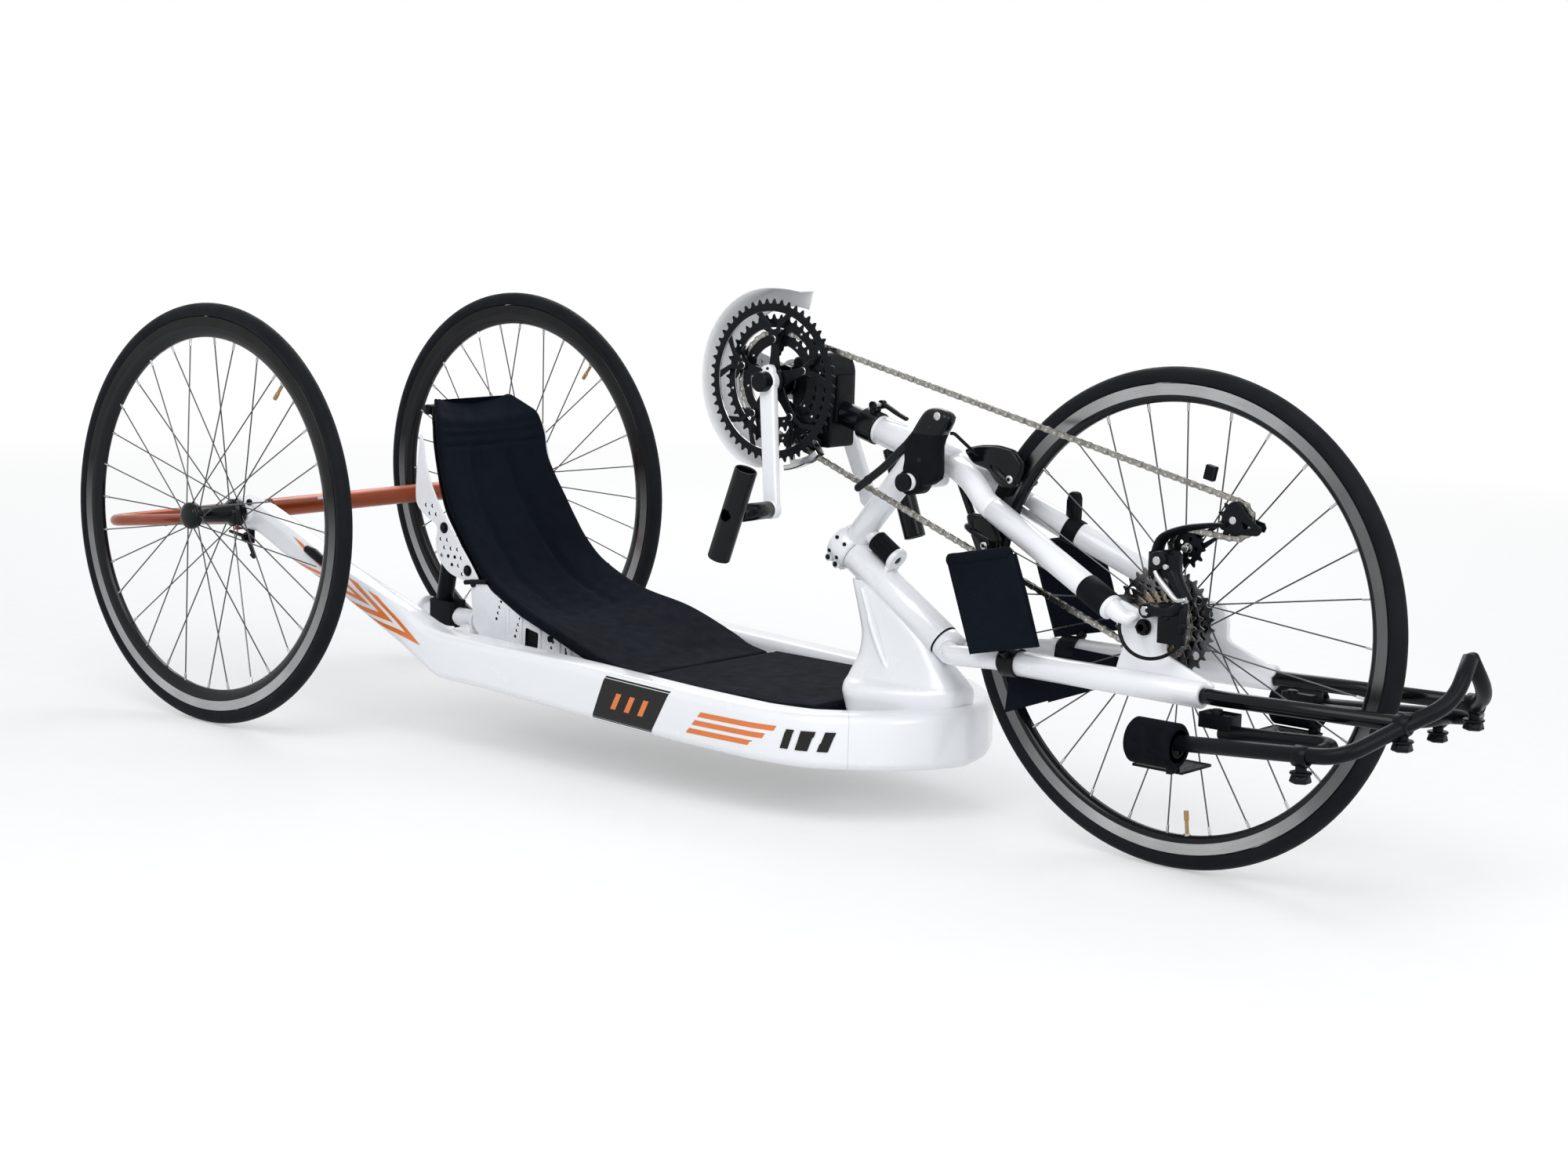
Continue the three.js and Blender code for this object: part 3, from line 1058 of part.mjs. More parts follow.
function cassetteBody() {
  const bore = frontAxle.radius + runningGap;
  const half = stack.step / 2;
  const profile = [[bore, stack.back], [stack.body, stack.back], [stack.body, stack.first - half]];
  coneTeeth.forEach((count, k) => {
    const y = stack.first - (k + 1) * stack.step;
    const toChain = k === chainSlot - 1 ? -stack.sprocketWidth / 2 : -half;
    const fromChain = k === chainSlot + 1 ? stack.sprocketWidth / 2 : half;
    const radius = count ? pitchRadius(count) : stack.body;
    const [start, end] = count ? [y + fromChain, y + toChain] : [y + stack.step - stack.sprocketWidth / 2, y - stack.step + stack.sprocketWidth / 2];
    profile.push([radius, start], [radius, end]);
  });
  profile.push([stack.lockRadius, stack.lock + stack.step / 2], [stack.lockRadius, stack.lock], [bore, stack.lock]);
  const cone = turned(profile, 10, true);
  const geometry = toGeometry(cone);
  geometry.translate(wheelbase, 0, tyre.radius);
  const hole = stack.body * 0.8;
  return join(
    solid(geometry),
    cut(disc(hubSpot.clone().setY(stack.first), axisY, pitchRadius(teeth.biggest) + teeth.tip, stack.sprocketWidth), disc(hubSpot, axisY, hole, track, holeSides)),
    toothed(hubSpot, teeth.sprocket, chain.plane, stack.sprocketWidth, hole),
  );
}
addPiece('cassette', cassetteBody(), 'steel', fork);

// Rear mechanism: a body on the dropout, a cage of two plates, and the two jockey wheels between them
const jockey = { width: 2.6, bore: 3.6, pin: 3 };
for (const [name, centre] of [['jockey_guide', guide], ['jockey_tension', tension]]) {
  addPiece(name, toothed(centre, teeth.jockey, chain.plane, jockey.width, jockey.bore), 'black', fork);
}
const cagePlate = { gap: 4.6, thin: 2, end: 13, middle: 11, tipX: 1581, tipZ: 434, tip: 6 };

function cageSide(yLow, yHigh) {
  const at = spot => ({ low: spot.clone().setY(yLow), high: spot.clone().setY(yHigh) });
  const along = tension.clone().sub(guide).normalize();
  const across = v(-along.z, 0, along.x);
  const loop = [
    guide.clone().addScaledVector(across, -cagePlate.middle), tension.clone().addScaledVector(across, -cagePlate.middle),
    v(cagePlate.tipX, 0, cagePlate.tipZ - cagePlate.tip), v(cagePlate.tipX, 0, cagePlate.tipZ + cagePlate.tip),
    tension.clone().addScaledVector(across, cagePlate.middle), guide.clone().addScaledVector(across, cagePlate.middle),
  ];
  const ends = [guide, tension].map(spot => rod(at(spot).low, at(spot).high, cagePlate.end, 10));
  return join(plate(loop.map(spot => [spot.x, spot.z]), yLow, yHigh), ...ends);
}
const cageOuter = chain.plane - cagePlate.gap;
const cageInner = chain.plane + cagePlate.gap;
addPiece('derailleur_cage', join(
  cageSide(cageOuter - cagePlate.thin, cageOuter),
  cageSide(cageInner, cageInner + cagePlate.thin),
  rod(guide.clone().setY(cageOuter), guide.clone().setY(cageInner), jockey.pin, 10),
  rod(tension.clone().setY(cageOuter), tension.clone().setY(cageInner), jockey.pin, 10),
  rod(v(cagePlate.tipX - jockey.pin, cageOuter, cagePlate.tipZ), v(cagePlate.tipX - jockey.pin, cageInner, cagePlate.tipZ), jockey.pin, 8),
), 'black', fork);

const mech = {
  hangerX: 1457, hangerZ: 327, outer: -92, elbowX: 1506, elbowZ: 343, kneeX: 1470, kneeZ: 388, radius: 11, link: 7,
  hanger: 9, barrel: 5, barrelDrop: 37,
};
const mechLine = mech.outer + mech.link;
const mechElbow = v(mech.elbowX, mechLine, mech.elbowZ);
const barrelEnd = mechElbow.clone().add(v(0, 0, -mech.barrelDrop));
const mechPlateOuter = -frontAxle.outside - frontAxle.plate - clearance;
const cageBack = cageOuter - cagePlate.thin - clearance;
addPiece('derailleur_body', join(
  rod(v(mech.hangerX, mechPlateOuter, mech.hangerZ), v(mech.hangerX, mech.outer, mech.hangerZ), mech.hanger, 10),
  pipe([v(mech.hangerX, mechLine, mech.hangerZ), mechElbow, v(mech.kneeX, mechLine, mech.kneeZ)], mech.link, mech.link, 6),
  rod(mechElbow, barrelEnd, mech.barrel, 8),
  rod(v(mech.kneeX, mech.outer, mech.kneeZ), v(mech.kneeX, cageBack, mech.kneeZ), mech.radius, 10),
), 'black', fork);

// Brake lever: a hood clamped on a stub in front of the strut, and a blade that swings on a pin in the hood
const hood = {
  inner: -42, outer: -72, baseRear: 1073, baseFront: 1124, baseZ: 454, waist: 500, topRear: 1108, topFront: 1139,
  topZ: 536, ring: 17, pivotX: 1116, pivotZ: 512, pin: 3.5, slot: 7, pinHole: 4.2,
};
const hoodMiddle = (hood.inner + hood.outer) / 2;
const hoodOutline = [
  [hood.baseRear, hood.baseZ - stub.radius], [hood.baseFront, hood.baseZ - stub.radius], [hood.topFront - overrun, hood.waist],
  [hood.topFront, hood.topZ - hood.pin], [hood.topFront - hood.slot, hood.topZ], [hood.topRear, hood.topZ], [hood.baseRear + hood.slot, hood.waist - hood.slot],
];
const hoodPivot = v(hood.pivotX, hoodMiddle, hood.pivotZ);
const leverHalf = hood.slot - runningGap;
addPiece('brake_hood', cut(
  join(
    cut(
      join(plate(hoodOutline, hood.outer, hood.inner), rod(v(stub.x, hood.outer, stub.z), v(stub.x, hood.inner, stub.z), hood.ring, 10)),
      box(v(hood.baseRear - hood.slot, hoodMiddle - hood.slot, stub.z + hood.ring + clearance), v(hood.pivotX + hood.ring * 0.75, hoodMiddle + hood.slot, hood.topZ - hood.slot)),
    ),
    rod(hoodPivot.clone().setY(hood.outer + overrun), hoodPivot.clone().setY(hood.inner - overrun), hood.pin, 10),
  ),
  rod(v(stub.x, hood.outer - overrun, stub.z), v(stub.x, hood.inner + overrun, stub.z), stub.radius + clearance, 10),
), 'black', fork);
const blade = { midX: 1068, midZ: 478, tipX: 1000, tipZ: 424, tipY: -65, root: 7, tip: 5 };
addPiece('brake_lever', cut(
  join(
    rod(hoodPivot.clone().setY(hoodMiddle - leverHalf), hoodPivot.clone().setY(hoodMiddle + leverHalf), hood.pin * 2.4, 10),
    pipe([
      hoodPivot.clone(), v(blade.midX, hoodMiddle, blade.midZ), v(blade.tipX, blade.tipY, blade.tipZ),
    ], leverHalf * 0.9, blade.root * 2, 8),
  ),
  rod(hoodPivot.clone().setY(hood.outer), hoodPivot.clone().setY(hood.inner), hood.pinHole, 10),
), 'black', fork);

// Rim brakes: two dual-pivot calipers that reach round the front tyre from a bolt in the yoke
const calipers = {
  upper: { angle: 30.7, thick: 14, padHalf: 6, boltShare: 1.065 },
  lower: { angle: 14.5, thick: 12, padHalf: 6, hangTo: boomFront },
};
const yokeRoom = join(
  rod(boomRear, boomFront, boom.radius + clearance, 12), yokeArm(-1, yoke.radius + clearance), yokeArm(1, yoke.radius + clearance),
);
const padLine = rim.outer - rim.track / 2;
const archSide = tyre.width / 2 + 5;
function caliperBody({ angle, thick, padHalf, boltShare, hangTo }) {
  const turn = THREE.MathUtils.degToRad(angle);
  const out = v(-Math.cos(turn), 0, Math.sin(turn));
  const round = v(Math.sin(turn), 0, Math.cos(turn));
  const spot = (radius, aside, along) => hubSpot.clone().addScaledVector(out, radius).addScaledVector(round, along).add(v(0, aside, 0));
  const top = tyre.radius + padHalf + thick / 2;
  let body = pipe([
    spot(padLine, -archSide - padHalf, 0), spot(top, -archSide - padHalf, 0), spot(top, archSide + padHalf, 0), spot(padLine, archSide + padHalf, 0),
  ], thick / 2, thick, 7);
  for (const side of [-1, 1]) {
    const pad = [side * (rim.width / 2 + runningGap * 3), side * (archSide + padHalf)];
    body = join(body, rod(spot(padLine, pad[0], 0), spot(padLine, pad[1], 0), padHalf * 1.2, 6));
  }
  return cut(join(body, rod(spot(top, 0, 0), hangTo || spot(top * boltShare, 0, 0), thick / 2.4, 8)), yokeRoom);
}
addPiece('brake_caliper_upper', caliperBody(calipers.upper), 'black', fork);
addPiece('brake_caliper_lower', caliperBody(calipers.lower), 'black', fork);

// Calf rests: a padded panel outside each leg on a collar round the lower tube, with a hanging sling
const calf = { outer: -97, inner: -85, roll: 8.5, collar: 18.6, collarLength: 25, bracket: 6, slingY: -46, slingThick: 1.6 };
const calfShares = [[0.8065, 1.1593], [0.8714, 1.225], [0.9005, 0.903], [0.8549, 0.79], [0.8348, 0.79]];
const slingShares = [[0.8555, 0.79], [0.85, 0.5386], [0.9461, 0.7126], [0.92, 0.78]];
function calfBody() {
  const flat = shares => shares.map(([along, high]) => [along * wheelbase, high * tyre.radius]);
  const panel = plate(flat(calfShares), calf.outer, calf.inner);
  const [rear, front] = flat(calfShares);
  const middle = (calf.outer + calf.inner) / 2;
  const roll = rod(v(rear[0] + overrun, middle, rear[1]), v(front[0] - overrun, middle, front[1]), calf.roll, 10);
  const ringFrom = lowerStart(-1).addScaledVector(lowerAlong(-1), overrun);
  const ringTo = lowerStart(-1).addScaledVector(lowerAlong(-1), overrun + calf.collarLength);
  const ring = rod(ringFrom, ringTo, calf.collar, 10);
  const bracket = rod(ringFrom.clone().add(ringTo).multiplyScalar(0.5), v((ringFrom.x + ringTo.x) / 2, calf.inner - overrun, ringTo.z + calf.collar), calf.bracket, 8);
  const sling = plate(flat(slingShares), calf.slingY - calf.slingThick, calf.slingY);
  return cut(join(panel, roll, ring, bracket, sling), rod(
    lowerStart(-1).addScaledVector(lowerAlong(-1), -overrun), lowerEnd(-1), leg.radius + clearance,
  ));
}

// Foot frame: slide tubes in the lower legs, a bumper loop round the front wheel and a U of tube on each side
const foot = {
  tube: 9.5, jointX: 1797, jointY: 85, jointZ: 243, outerY: 160, outerRearX: 1512, outerRearZ: 191, outerMidX: 1695, outerMidZ: 205,
  bendX: 1764, bendZ: 211, loopX: 1833, loopY: 40, loopZ: 266, apexX: 1830, apexZ: 312, innerY: 98, innerRearX: 1573, innerRearZ: 200,
  innerFrontX: 1722, innerFrontZ: 209, clampX: 1715, clampDrop: 30, clamp: 13, boxFrom: 1546, boxTo: 1590, boxLow: 205, boxHigh: 222,
};
const roller = { radius: 27, from: 1496, to: 1556, z: 190, bore: 11, plate: 3, plateZ: 158, plateFrom: 1500, plateTo: 1604, plateInner: 96 };
function footSide(side) {
  const y = value => side * value;
  const start = lowerEnd(side).addScaledVector(lowerAlong(side), -slide.inside + overrun);
  const joint = v(foot.jointX, y(foot.jointY), foot.jointZ);
  const kink = lowerEnd(side).addScaledVector(lowerAlong(side), slide.radius + leg.radius);
  const slideTube = pipe([start, kink, joint], slide.radius, slide.radius);
  const outerTube = pipe([
    v(foot.outerRearX, y(foot.outerY), foot.outerRearZ), v(foot.outerMidX, y(foot.outerY), foot.outerMidZ),
    v(foot.bendX, y(foot.outerY), foot.bendZ), joint.clone().add(v(0, 0, -overrun)),
    v(foot.loopX, y(foot.loopY), foot.loopZ), v(foot.apexX, 0, foot.apexZ),
  ], foot.tube, foot.tube * 3, 8, 1);
  const innerTube = pipe([
    v(foot.innerRearX, y(foot.innerY), foot.innerRearZ), v(foot.innerFrontX, y(foot.innerY), foot.innerFrontZ),
    v(foot.innerFrontX + foot.tube, y(foot.outerY - foot.tube), foot.innerFrontZ),
  ], foot.tube, foot.tube * 3, 6, 1);
  const nut = (x, aside, z) => rod(v(x, y(aside), z), v(x, y(aside), z - foot.clampDrop), foot.clamp, 6);
  const holder = box(
    v(foot.boxFrom, Math.min(y(foot.innerY - foot.tube * 2), y(foot.innerY + foot.tube)), foot.boxLow),
    v(foot.boxTo, Math.max(y(foot.innerY - foot.tube * 2), y(foot.innerY + foot.tube)), foot.boxHigh),
  );
  const lug = rod(v(foot.boxFrom + foot.clamp, y(foot.jointY), foot.boxLow), v(foot.boxFrom + foot.clamp, y(foot.jointY), lower.endZ), foot.tube * 0.7, 6);
  return join(slideTube, outerTube, innerTube, nut(foot.clampX, foot.outerY, foot.outerMidZ), nut(foot.jointX, foot.jointY, foot.jointZ), holder, lug);
}
addPiece('foot_frame', join(footSide(-1), footSide(1)), 'black', fork);

function rollerBody(side) {
  const at = x => v(x, side * foot.outerY, roller.z);
  const drum = rod(at(roller.from), at(roller.to), roller.radius, 12);
  const sheet = box(
    v(roller.plateFrom, Math.min(side * roller.plateInner, side * foot.outerY), roller.plateZ),
    v(roller.plateTo, Math.max(side * roller.plateInner, side * foot.outerY), roller.plateZ + roller.plate),
  );
  const web = rod(at(roller.to - roller.plate * 2).setZ(roller.plateZ + roller.plate / 2), at(roller.to - roller.plate * 2), roller.plate * 2, 8);
  const bore = boreFor(
    v(foot.outerRearX - overrun, side * foot.outerY, foot.outerRearZ), v(foot.outerMidX, side * foot.outerY, foot.outerMidZ), foot.tube,
  );
  return cut(join(drum, sheet, web), bore);
}

for (const side of [-1, 1]) {
  const name = side < 0 ? 'right' : 'left';
  addPiece(`calf_rest_${name}`, mirrored(calfBody(), side), 'fabric', fork);
  addPiece(`heel_roller_${name}`, rollerBody(side), 'rubber', fork);
}

// Sensor strapped to the left upper leg
const sensor = { along: 0.3, length: 20, ring: 17.6, height: 34, half: 8 };
const sensorFrom = knee(1).lerp(legEnd(1), sensor.along);
const sensorTo = sensorFrom.clone().addScaledVector(legAlong(1), sensor.length);
const sensorMiddle = sensorFrom.clone().add(sensorTo).multiplyScalar(0.5);
addPiece('leg_sensor', cut(
  join(rod(sensorFrom, sensorTo, sensor.ring, 10), box(
    sensorMiddle.clone().add(v(-sensor.half, -sensor.half, 0)),
    sensorMiddle.clone().add(v(sensor.half, sensor.half, sensor.height + leg.radius)),
  )),
  rod(knee(1), legEnd(1), leg.radius + clearance),
), 'black', fork);

// Cables held along the frame
const cable = { radius: 2.2 };
const brakeCablePoints = [
  v(1138, -57, 506), v(1144, -56.5, 505.6), v(1151, -48, 496), v(1157, -36, 485), v(1160, -22, 477), v(1160, -6.4, 475.8),
];
const shiftCablePoints = [
  v(1417, -76.6, 324), v(1417.5, -80, 315), v(1420, -87, 303), v(1427, -92, 290), v(1439, -95, 279), v(1454, -96, 273), v(1470, -95, 272),
  v(1485, -92, 276), v(1497, -88, 284), v(1505, -85.5, 294), barrelEnd.clone().add(v(0, 0, -clearance * 2)),
];
addPiece('brake_cable', bentTube(brakeCablePoints, cable.radius, 6, 8), 'black', fork);
addPiece('shift_cable', bentTube(shiftCablePoints, cable.radius, 6, 12), 'black', fork);

// The origin lies on the ground under the middle of the whole machine
const bounds = new THREE.Box3().setFromObject(bike);
bike.position.x = -(bounds.min.x + bounds.max.x) / 2;

export default machine;
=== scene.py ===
"""Recumbent handcycle: fine shapes, materials, floor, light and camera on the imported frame."""
from math import acos, atan2, ceil, copysign, cos, exp, hypot, pi, radians, sin, sqrt, tan
import bmesh
import bpy
from mathutils import Matrix, Vector
from mathutils.geometry import tessellate_polygon


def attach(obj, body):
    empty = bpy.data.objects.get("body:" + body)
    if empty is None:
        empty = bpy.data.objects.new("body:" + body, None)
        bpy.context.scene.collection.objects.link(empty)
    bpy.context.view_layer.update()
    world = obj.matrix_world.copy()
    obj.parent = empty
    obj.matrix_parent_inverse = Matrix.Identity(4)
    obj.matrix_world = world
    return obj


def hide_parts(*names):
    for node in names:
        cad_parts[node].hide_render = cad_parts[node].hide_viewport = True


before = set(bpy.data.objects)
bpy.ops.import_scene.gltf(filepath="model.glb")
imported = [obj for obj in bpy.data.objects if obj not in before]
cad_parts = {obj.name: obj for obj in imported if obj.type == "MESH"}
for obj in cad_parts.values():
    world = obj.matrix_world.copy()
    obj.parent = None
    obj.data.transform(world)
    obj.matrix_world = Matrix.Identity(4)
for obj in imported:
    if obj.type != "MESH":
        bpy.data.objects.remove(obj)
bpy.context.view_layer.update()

# Lengths are in millimetres, with the rear wheels' axle at X = 0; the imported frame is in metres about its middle
SHIFT = 730.2286835
UP = Vector((0, 0, 1))
ASIDE = Vector((0, 1, 0))
AHEAD = Vector((1, 0, 0))
TURN = 2 * pi
SIDES = ((-1, "right"), (1, "left"))


def place(spot):
    return Vector(((spot[0] - SHIFT) / 1000, spot[1] / 1000, spot[2] / 1000))


def point(x, y, z):
    return Vector((x, y, z))


# ---------------------------------------------------------------- camera
PHOTO_WIDTH, FOCAL_PIXELS, SENSOR_WIDTH = 2000, 3589.5, 36
CAMERA_SPOT, CAMERA_TURNS = (3239, -2855, 863), (40.22, 9.07, 1.57)


def make_camera():
    yaw, pitch, roll = (radians(turn) for turn in CAMERA_TURNS)
    back = Vector((sin(yaw) * cos(pitch), -cos(yaw) * cos(pitch), sin(pitch)))
    right = Vector((cos(yaw), sin(yaw), 0))
    above = back.cross(right)
    level = cos(roll) * right + sin(roll) * above
    upward = cos(roll) * above - sin(roll) * right
    camera = bpy.data.objects.new("photo_camera", bpy.data.cameras.new("photo_camera"))
    camera.data.sensor_width = SENSOR_WIDTH
    camera.data.sensor_fit = "HORIZONTAL"
    camera.data.lens = FOCAL_PIXELS / PHOTO_WIDTH * SENSOR_WIDTH
    camera.data.clip_end = 60
    matrix = Matrix((level, upward, back)).transposed().to_4x4()
    matrix.translation = place(CAMERA_SPOT)
    camera.matrix_world = matrix
    bpy.context.collection.objects.link(camera)
    bpy.context.scene.camera = camera


make_camera()


# ---------------------------------------------------------------- shapes
def shape(points, faces, finish=0, uvs=None):
    finishes = finish if isinstance(finish, list) else [finish] * len(faces)
    return {"points": points, "faces": faces, "finish": finishes, "uvs": uvs or [None] * len(faces)}


def skin(rings, joined=False, caps=True, finish=0, open_rings=False):
    """Surface through rings of equal point counts; joined means that the last ring meets the first"""
    count = len(rings[0])
    points = [p for ring in rings for p in ring]
    runs = [0.0]
    for a, b in zip(rings, rings[1:] + rings[:1]):
        runs.append(runs[-1] + (b[0] - a[0]).length / 1000)
    rounds = [0.0]
    for k in range(count):
        rounds.append(rounds[-1] + (rings[0][(k + 1) % count] - rings[0][k]).length / 1000)
    faces, uvs, finishes = [], [], []
    for r in range(len(rings) if joined else len(rings) - 1):
        after = (r + 1) % len(rings)
        for k in range(count - 1 if open_rings else count):
            beside = (k + 1) % count
            faces.append((r * count + k, r * count + beside, after * count + beside, after * count + k))
            uvs.append(((runs[r], rounds[k]), (runs[r], rounds[k + 1]), (runs[r + 1], rounds[k + 1]),
                        (runs[r + 1], rounds[k])))
            finishes.append(finish[k] if isinstance(finish, list) else finish)
    if caps and not joined:
        for start in (0, (len(rings) - 1) * count):
            faces.append(tuple(range(start, start + count)))
            uvs.append(None)
            finishes.append(finish[0] if isinstance(finish, list) else finish)
    return shape(points, faces, finishes, uvs)


def circle(centre, across, other, radius, sides):
    turns = [TURN * k / sides for k in range(sides)]
    return [centre + across * (radius * cos(t)) + other * (radius * sin(t)) for t in turns]


def frame_of(heading):
    helper = UP if abs(heading.z) < 0.9 else AHEAD
    across = helper.cross(heading).normalized()
    return across, heading.cross(across)


def rod(a, b, radius, end_radius=None, sides=32, chamfer=0.6, finish=0):
    a, b = Vector(a), Vector(b)
    heading = (b - a).normalized()
    across, other = frame_of(heading)
    last = radius if end_radius is None else end_radius
    chamfer = min(chamfer, radius * 0.4, last * 0.4, (b - a).length * 0.3)
    stops = [(0, radius - chamfer), (chamfer, radius), ((b - a).length - chamfer, last),
             ((b - a).length, last - chamfer)]
    return skin([circle(a + heading * t, across, other, r, sides) for t, r in stops], finish=finish)


def pin(spot, low, high, radius, end_radius=None, **look):
    """Rod along Y at a spot of (x, z)"""
    return rod((spot[0], low, spot[1]), (spot[0], high, spot[1]), radius, end_radius, **look)


def sleeve(a, b, outer, inner, sides=32, chamfer=0.5, finish=0):
    """Rod with a bore right through it"""
    a, b = Vector(a), Vector(b)
    heading = (b - a).normalized()
    across, other = frame_of(heading)
    length = (b - a).length
    stops = [(0, inner + chamfer), (0, outer - chamfer), (chamfer, outer), (length - chamfer, outer),
             (length, outer - chamfer), (length, inner + chamfer), (length - chamfer, inner), (chamfer, inner)]
    return skin([circle(a + heading * t, across, other, r, sides) for t, r in stops], joined=True, finish=finish)


def bush(spot, low, high, outer, inner, **look):
    """Sleeve along Y at a spot of (x, z)"""
    return sleeve((spot[0], low, spot[1]), (spot[0], high, spot[1]), outer, inner, **look)


def corner_arc(start, corner, end, steps):
    shares = [n / steps for n in range(steps + 1)]
    return [start * (1 - t) ** 2 + corner * 2 * t * (1 - t) + end * t ** 2 for t in shares]


def bends(corners, reach, steps=8):
    """Path through corner points, with each inner corner bent smoothly"""
    corners = [Vector(c) for c in corners]
    path = [corners[0]]
    for k in range(1, len(corners) - 1):
        before, after = corners[k] - corners[k - 1], corners[k + 1] - corners[k]
        cut = min(reach, before.length * 0.49, after.length * 0.49)
        if cut <= 0:
            path.append(corners[k])
            continue
        start, end = corners[k] - before.normalized() * cut, corners[k] + after.normalized() * cut
        path += corner_arc(start, corners[k], end, steps)
    path.append(corners[-1])
    return path


def heading_at(path, k):
    return (path[min(k + 1, len(path) - 1)] - path[max(k - 1, 0)]).normalized()


def running(path):
    """Length of a path up to each of its points"""
    lengths = [0.0]
    for a, b in zip(path, path[1:]):
        lengths.append(lengths[-1] + (b - a).length)
    return lengths


def at_share(corners, share):
    """Spot on a line of straight runs that each take an equal share of it"""
    spot = share * (len(corners) - 1)
    k = min(int(spot), len(corners) - 2)
    return Vector(corners[k]).lerp(Vector(corners[k + 1]), spot - k)


def curved(points, steps=8):
    """Catmull-Rom path through points"""
    points = [Vector(p) for p in points]
    ends = [points[0] * 2 - points[1]] + points + [points[-1] * 2 - points[-2]]
    path = []
    for a, b, c, d in zip(ends, ends[1:], ends[2:], ends[3:]):
        for n in range(steps):
            t = n / steps
            path.append(0.5 * (2 * b + (c - a) * t + (2 * a - 5 * b + 4 * c - d) * t ** 2 +
                               (3 * b - a - 3 * c + d) * t ** 3))
    path.append(points[-1])
    return path


def tube(path, radius, sides=24, chamfer=0.6, finish=0, flat=1.0):
    """Round bar along a path; radius is one number or one per path point"""
    path = [Vector(p) for p in path]
    radii = radius if isinstance(radius, list) else [radius] * len(path)
    if chamfer:
        first, last = (path[1] - path[0]).normalized(), (path[-1] - path[-2]).normalized()
        path = [path[0], path[0] + first * chamfer] + path[1:-1] + [path[-1] - last * chamfer, path[-1]]
        radii = [radii[0] - chamfer, radii[0]] + radii[1:-1] + [radii[-1], radii[-1] - chamfer]
    headings = [heading_at(path, k) for k in range(len(path))]
    across, _ = frame_of(headings[0])
    rings = []
    for k, (spot, heading) in enumerate(zip(path, headings)):
        if k:
            across = headings[k - 1].rotation_difference(heading) @ across
        across = (across - heading * across.dot(heading)).normalized()
        rings.append(circle(spot, across, heading.cross(across) * flat, radii[k], sides))
    return skin(rings, finish=finish)


def lathe(profile, steps, finish=0):
    """Ring turned about the Y axis at the origin, from (radius, y) corners"""
    rings = []
    for k in range(steps):
        turn = TURN * k / steps
        rings.append([point(r * cos(turn), y, r * sin(turn)) for r, y in profile])
    return skin(rings, joined=True, finish=finish)


def inset(loop, depth):
    """Loop of (x, z) drawn in by depth, corners mitred"""
    count = len(loop)
    area = sum(loop[k][0] * loop[(k + 1) % count][1] - loop[(k + 1) % count][0] * loop[k][1] for k in range(count))
    way = 1 if area > 0 else -1
    moved = []
    for k in range(count):
        before, here, after = (Vector(loop[(k + d) % count]) for d in (-1, 0, 1))
        one, two = (here - before).normalized(), (after - here).normalized()
        normal_one, normal_two = Vector((-one.y, one.x)) * way, Vector((-two.y, two.x)) * way
        middle = normal_one + normal_two
        moved.append(here + middle * (depth / max(0.35, 1 + normal_one.dot(normal_two))))
    return [(p.x, p.y) for p in moved]


def plate(outline, low, high, holes=(), chamfer=0.5, finish=0, wall=None):
    """Plate drawn in X and Z between two Y values, with holes and chamfered edges"""
    chamfer = min(chamfer, (high - low) * 0.3)
    loops = [list(outline)] + [list(h) for h in holes]
    points, faces, finishes = [], [], []
    starts = []
    for number, loop in enumerate(loops):
        edge = inset(loop, chamfer if number == 0 else -chamfer)
        count = len(loop)
        start = len(points)
        starts.append((start, count))
        for ring, y in ((edge, low), (loop, low + chamfer), (loop, high - chamfer), (edge, high)):
            points.extend(point(x, y, z) for x, z in ring)
        for layer in range(3):
            for k in range(count):
                a, b = start + layer * count + k, start + layer * count + (k + 1) % count
                faces.append((a, b, b + count, a + count))
                finishes.append(finish if wall is None or number == 0 else wall)
    for layer in (0, 3):
        flat = [[Vector((points[s + layer * n + k].x, points[s + layer * n + k].z, 0)) for k in range(n)]
                for s, n in starts]
        order = [s + layer * n + k for s, n in starts for k in range(n)]
        for triangle in tessellate_polygon(flat):
            faces.append(tuple(order[k] for k in triangle))
            finishes.append(finish)
    return shape(points, faces, finishes)


def round_loop(x, z, radius, sides):
    turns = [TURN * k / sides for k in range(sides)]
    return [(x + radius * cos(t), z + radius * sin(t)) for t in turns]


SOFT_STEPS = 5


def softened(outline, radius):
    """Outline of (x, z) with its corners rounded"""
    result = []
    count = len(outline)
    for k in range(count):
        before, here, after = (Vector(outline[(k + d) % count]) for d in (-1, 0, 1))
        cut = min(radius, (here - before).length * 0.45, (after - here).length * 0.45)
        start, end = here + (before - here).normalized() * cut, here + (after - here).normalized() * cut
        result += [(spot.x, spot.y) for spot in corner_arc(start, here, end, SOFT_STEPS)]
    return result


def rounded(width, height, corner, per_corner=6):
    corner = min(corner, width / 2, height / 2) * 0.98
    spots = []
    for quarter, (sx, sy) in enumerate(((1, 1), (-1, 1), (-1, -1), (1, -1))):
        for k in range(per_corner):
            turn = (quarter + k / (per_corner - 1)) * pi / 2
            spots.append((sx * (width / 2 - corner) + corner * cos(turn),
                          sy * (height / 2 - corner) + corner * sin(turn)))
    return spots


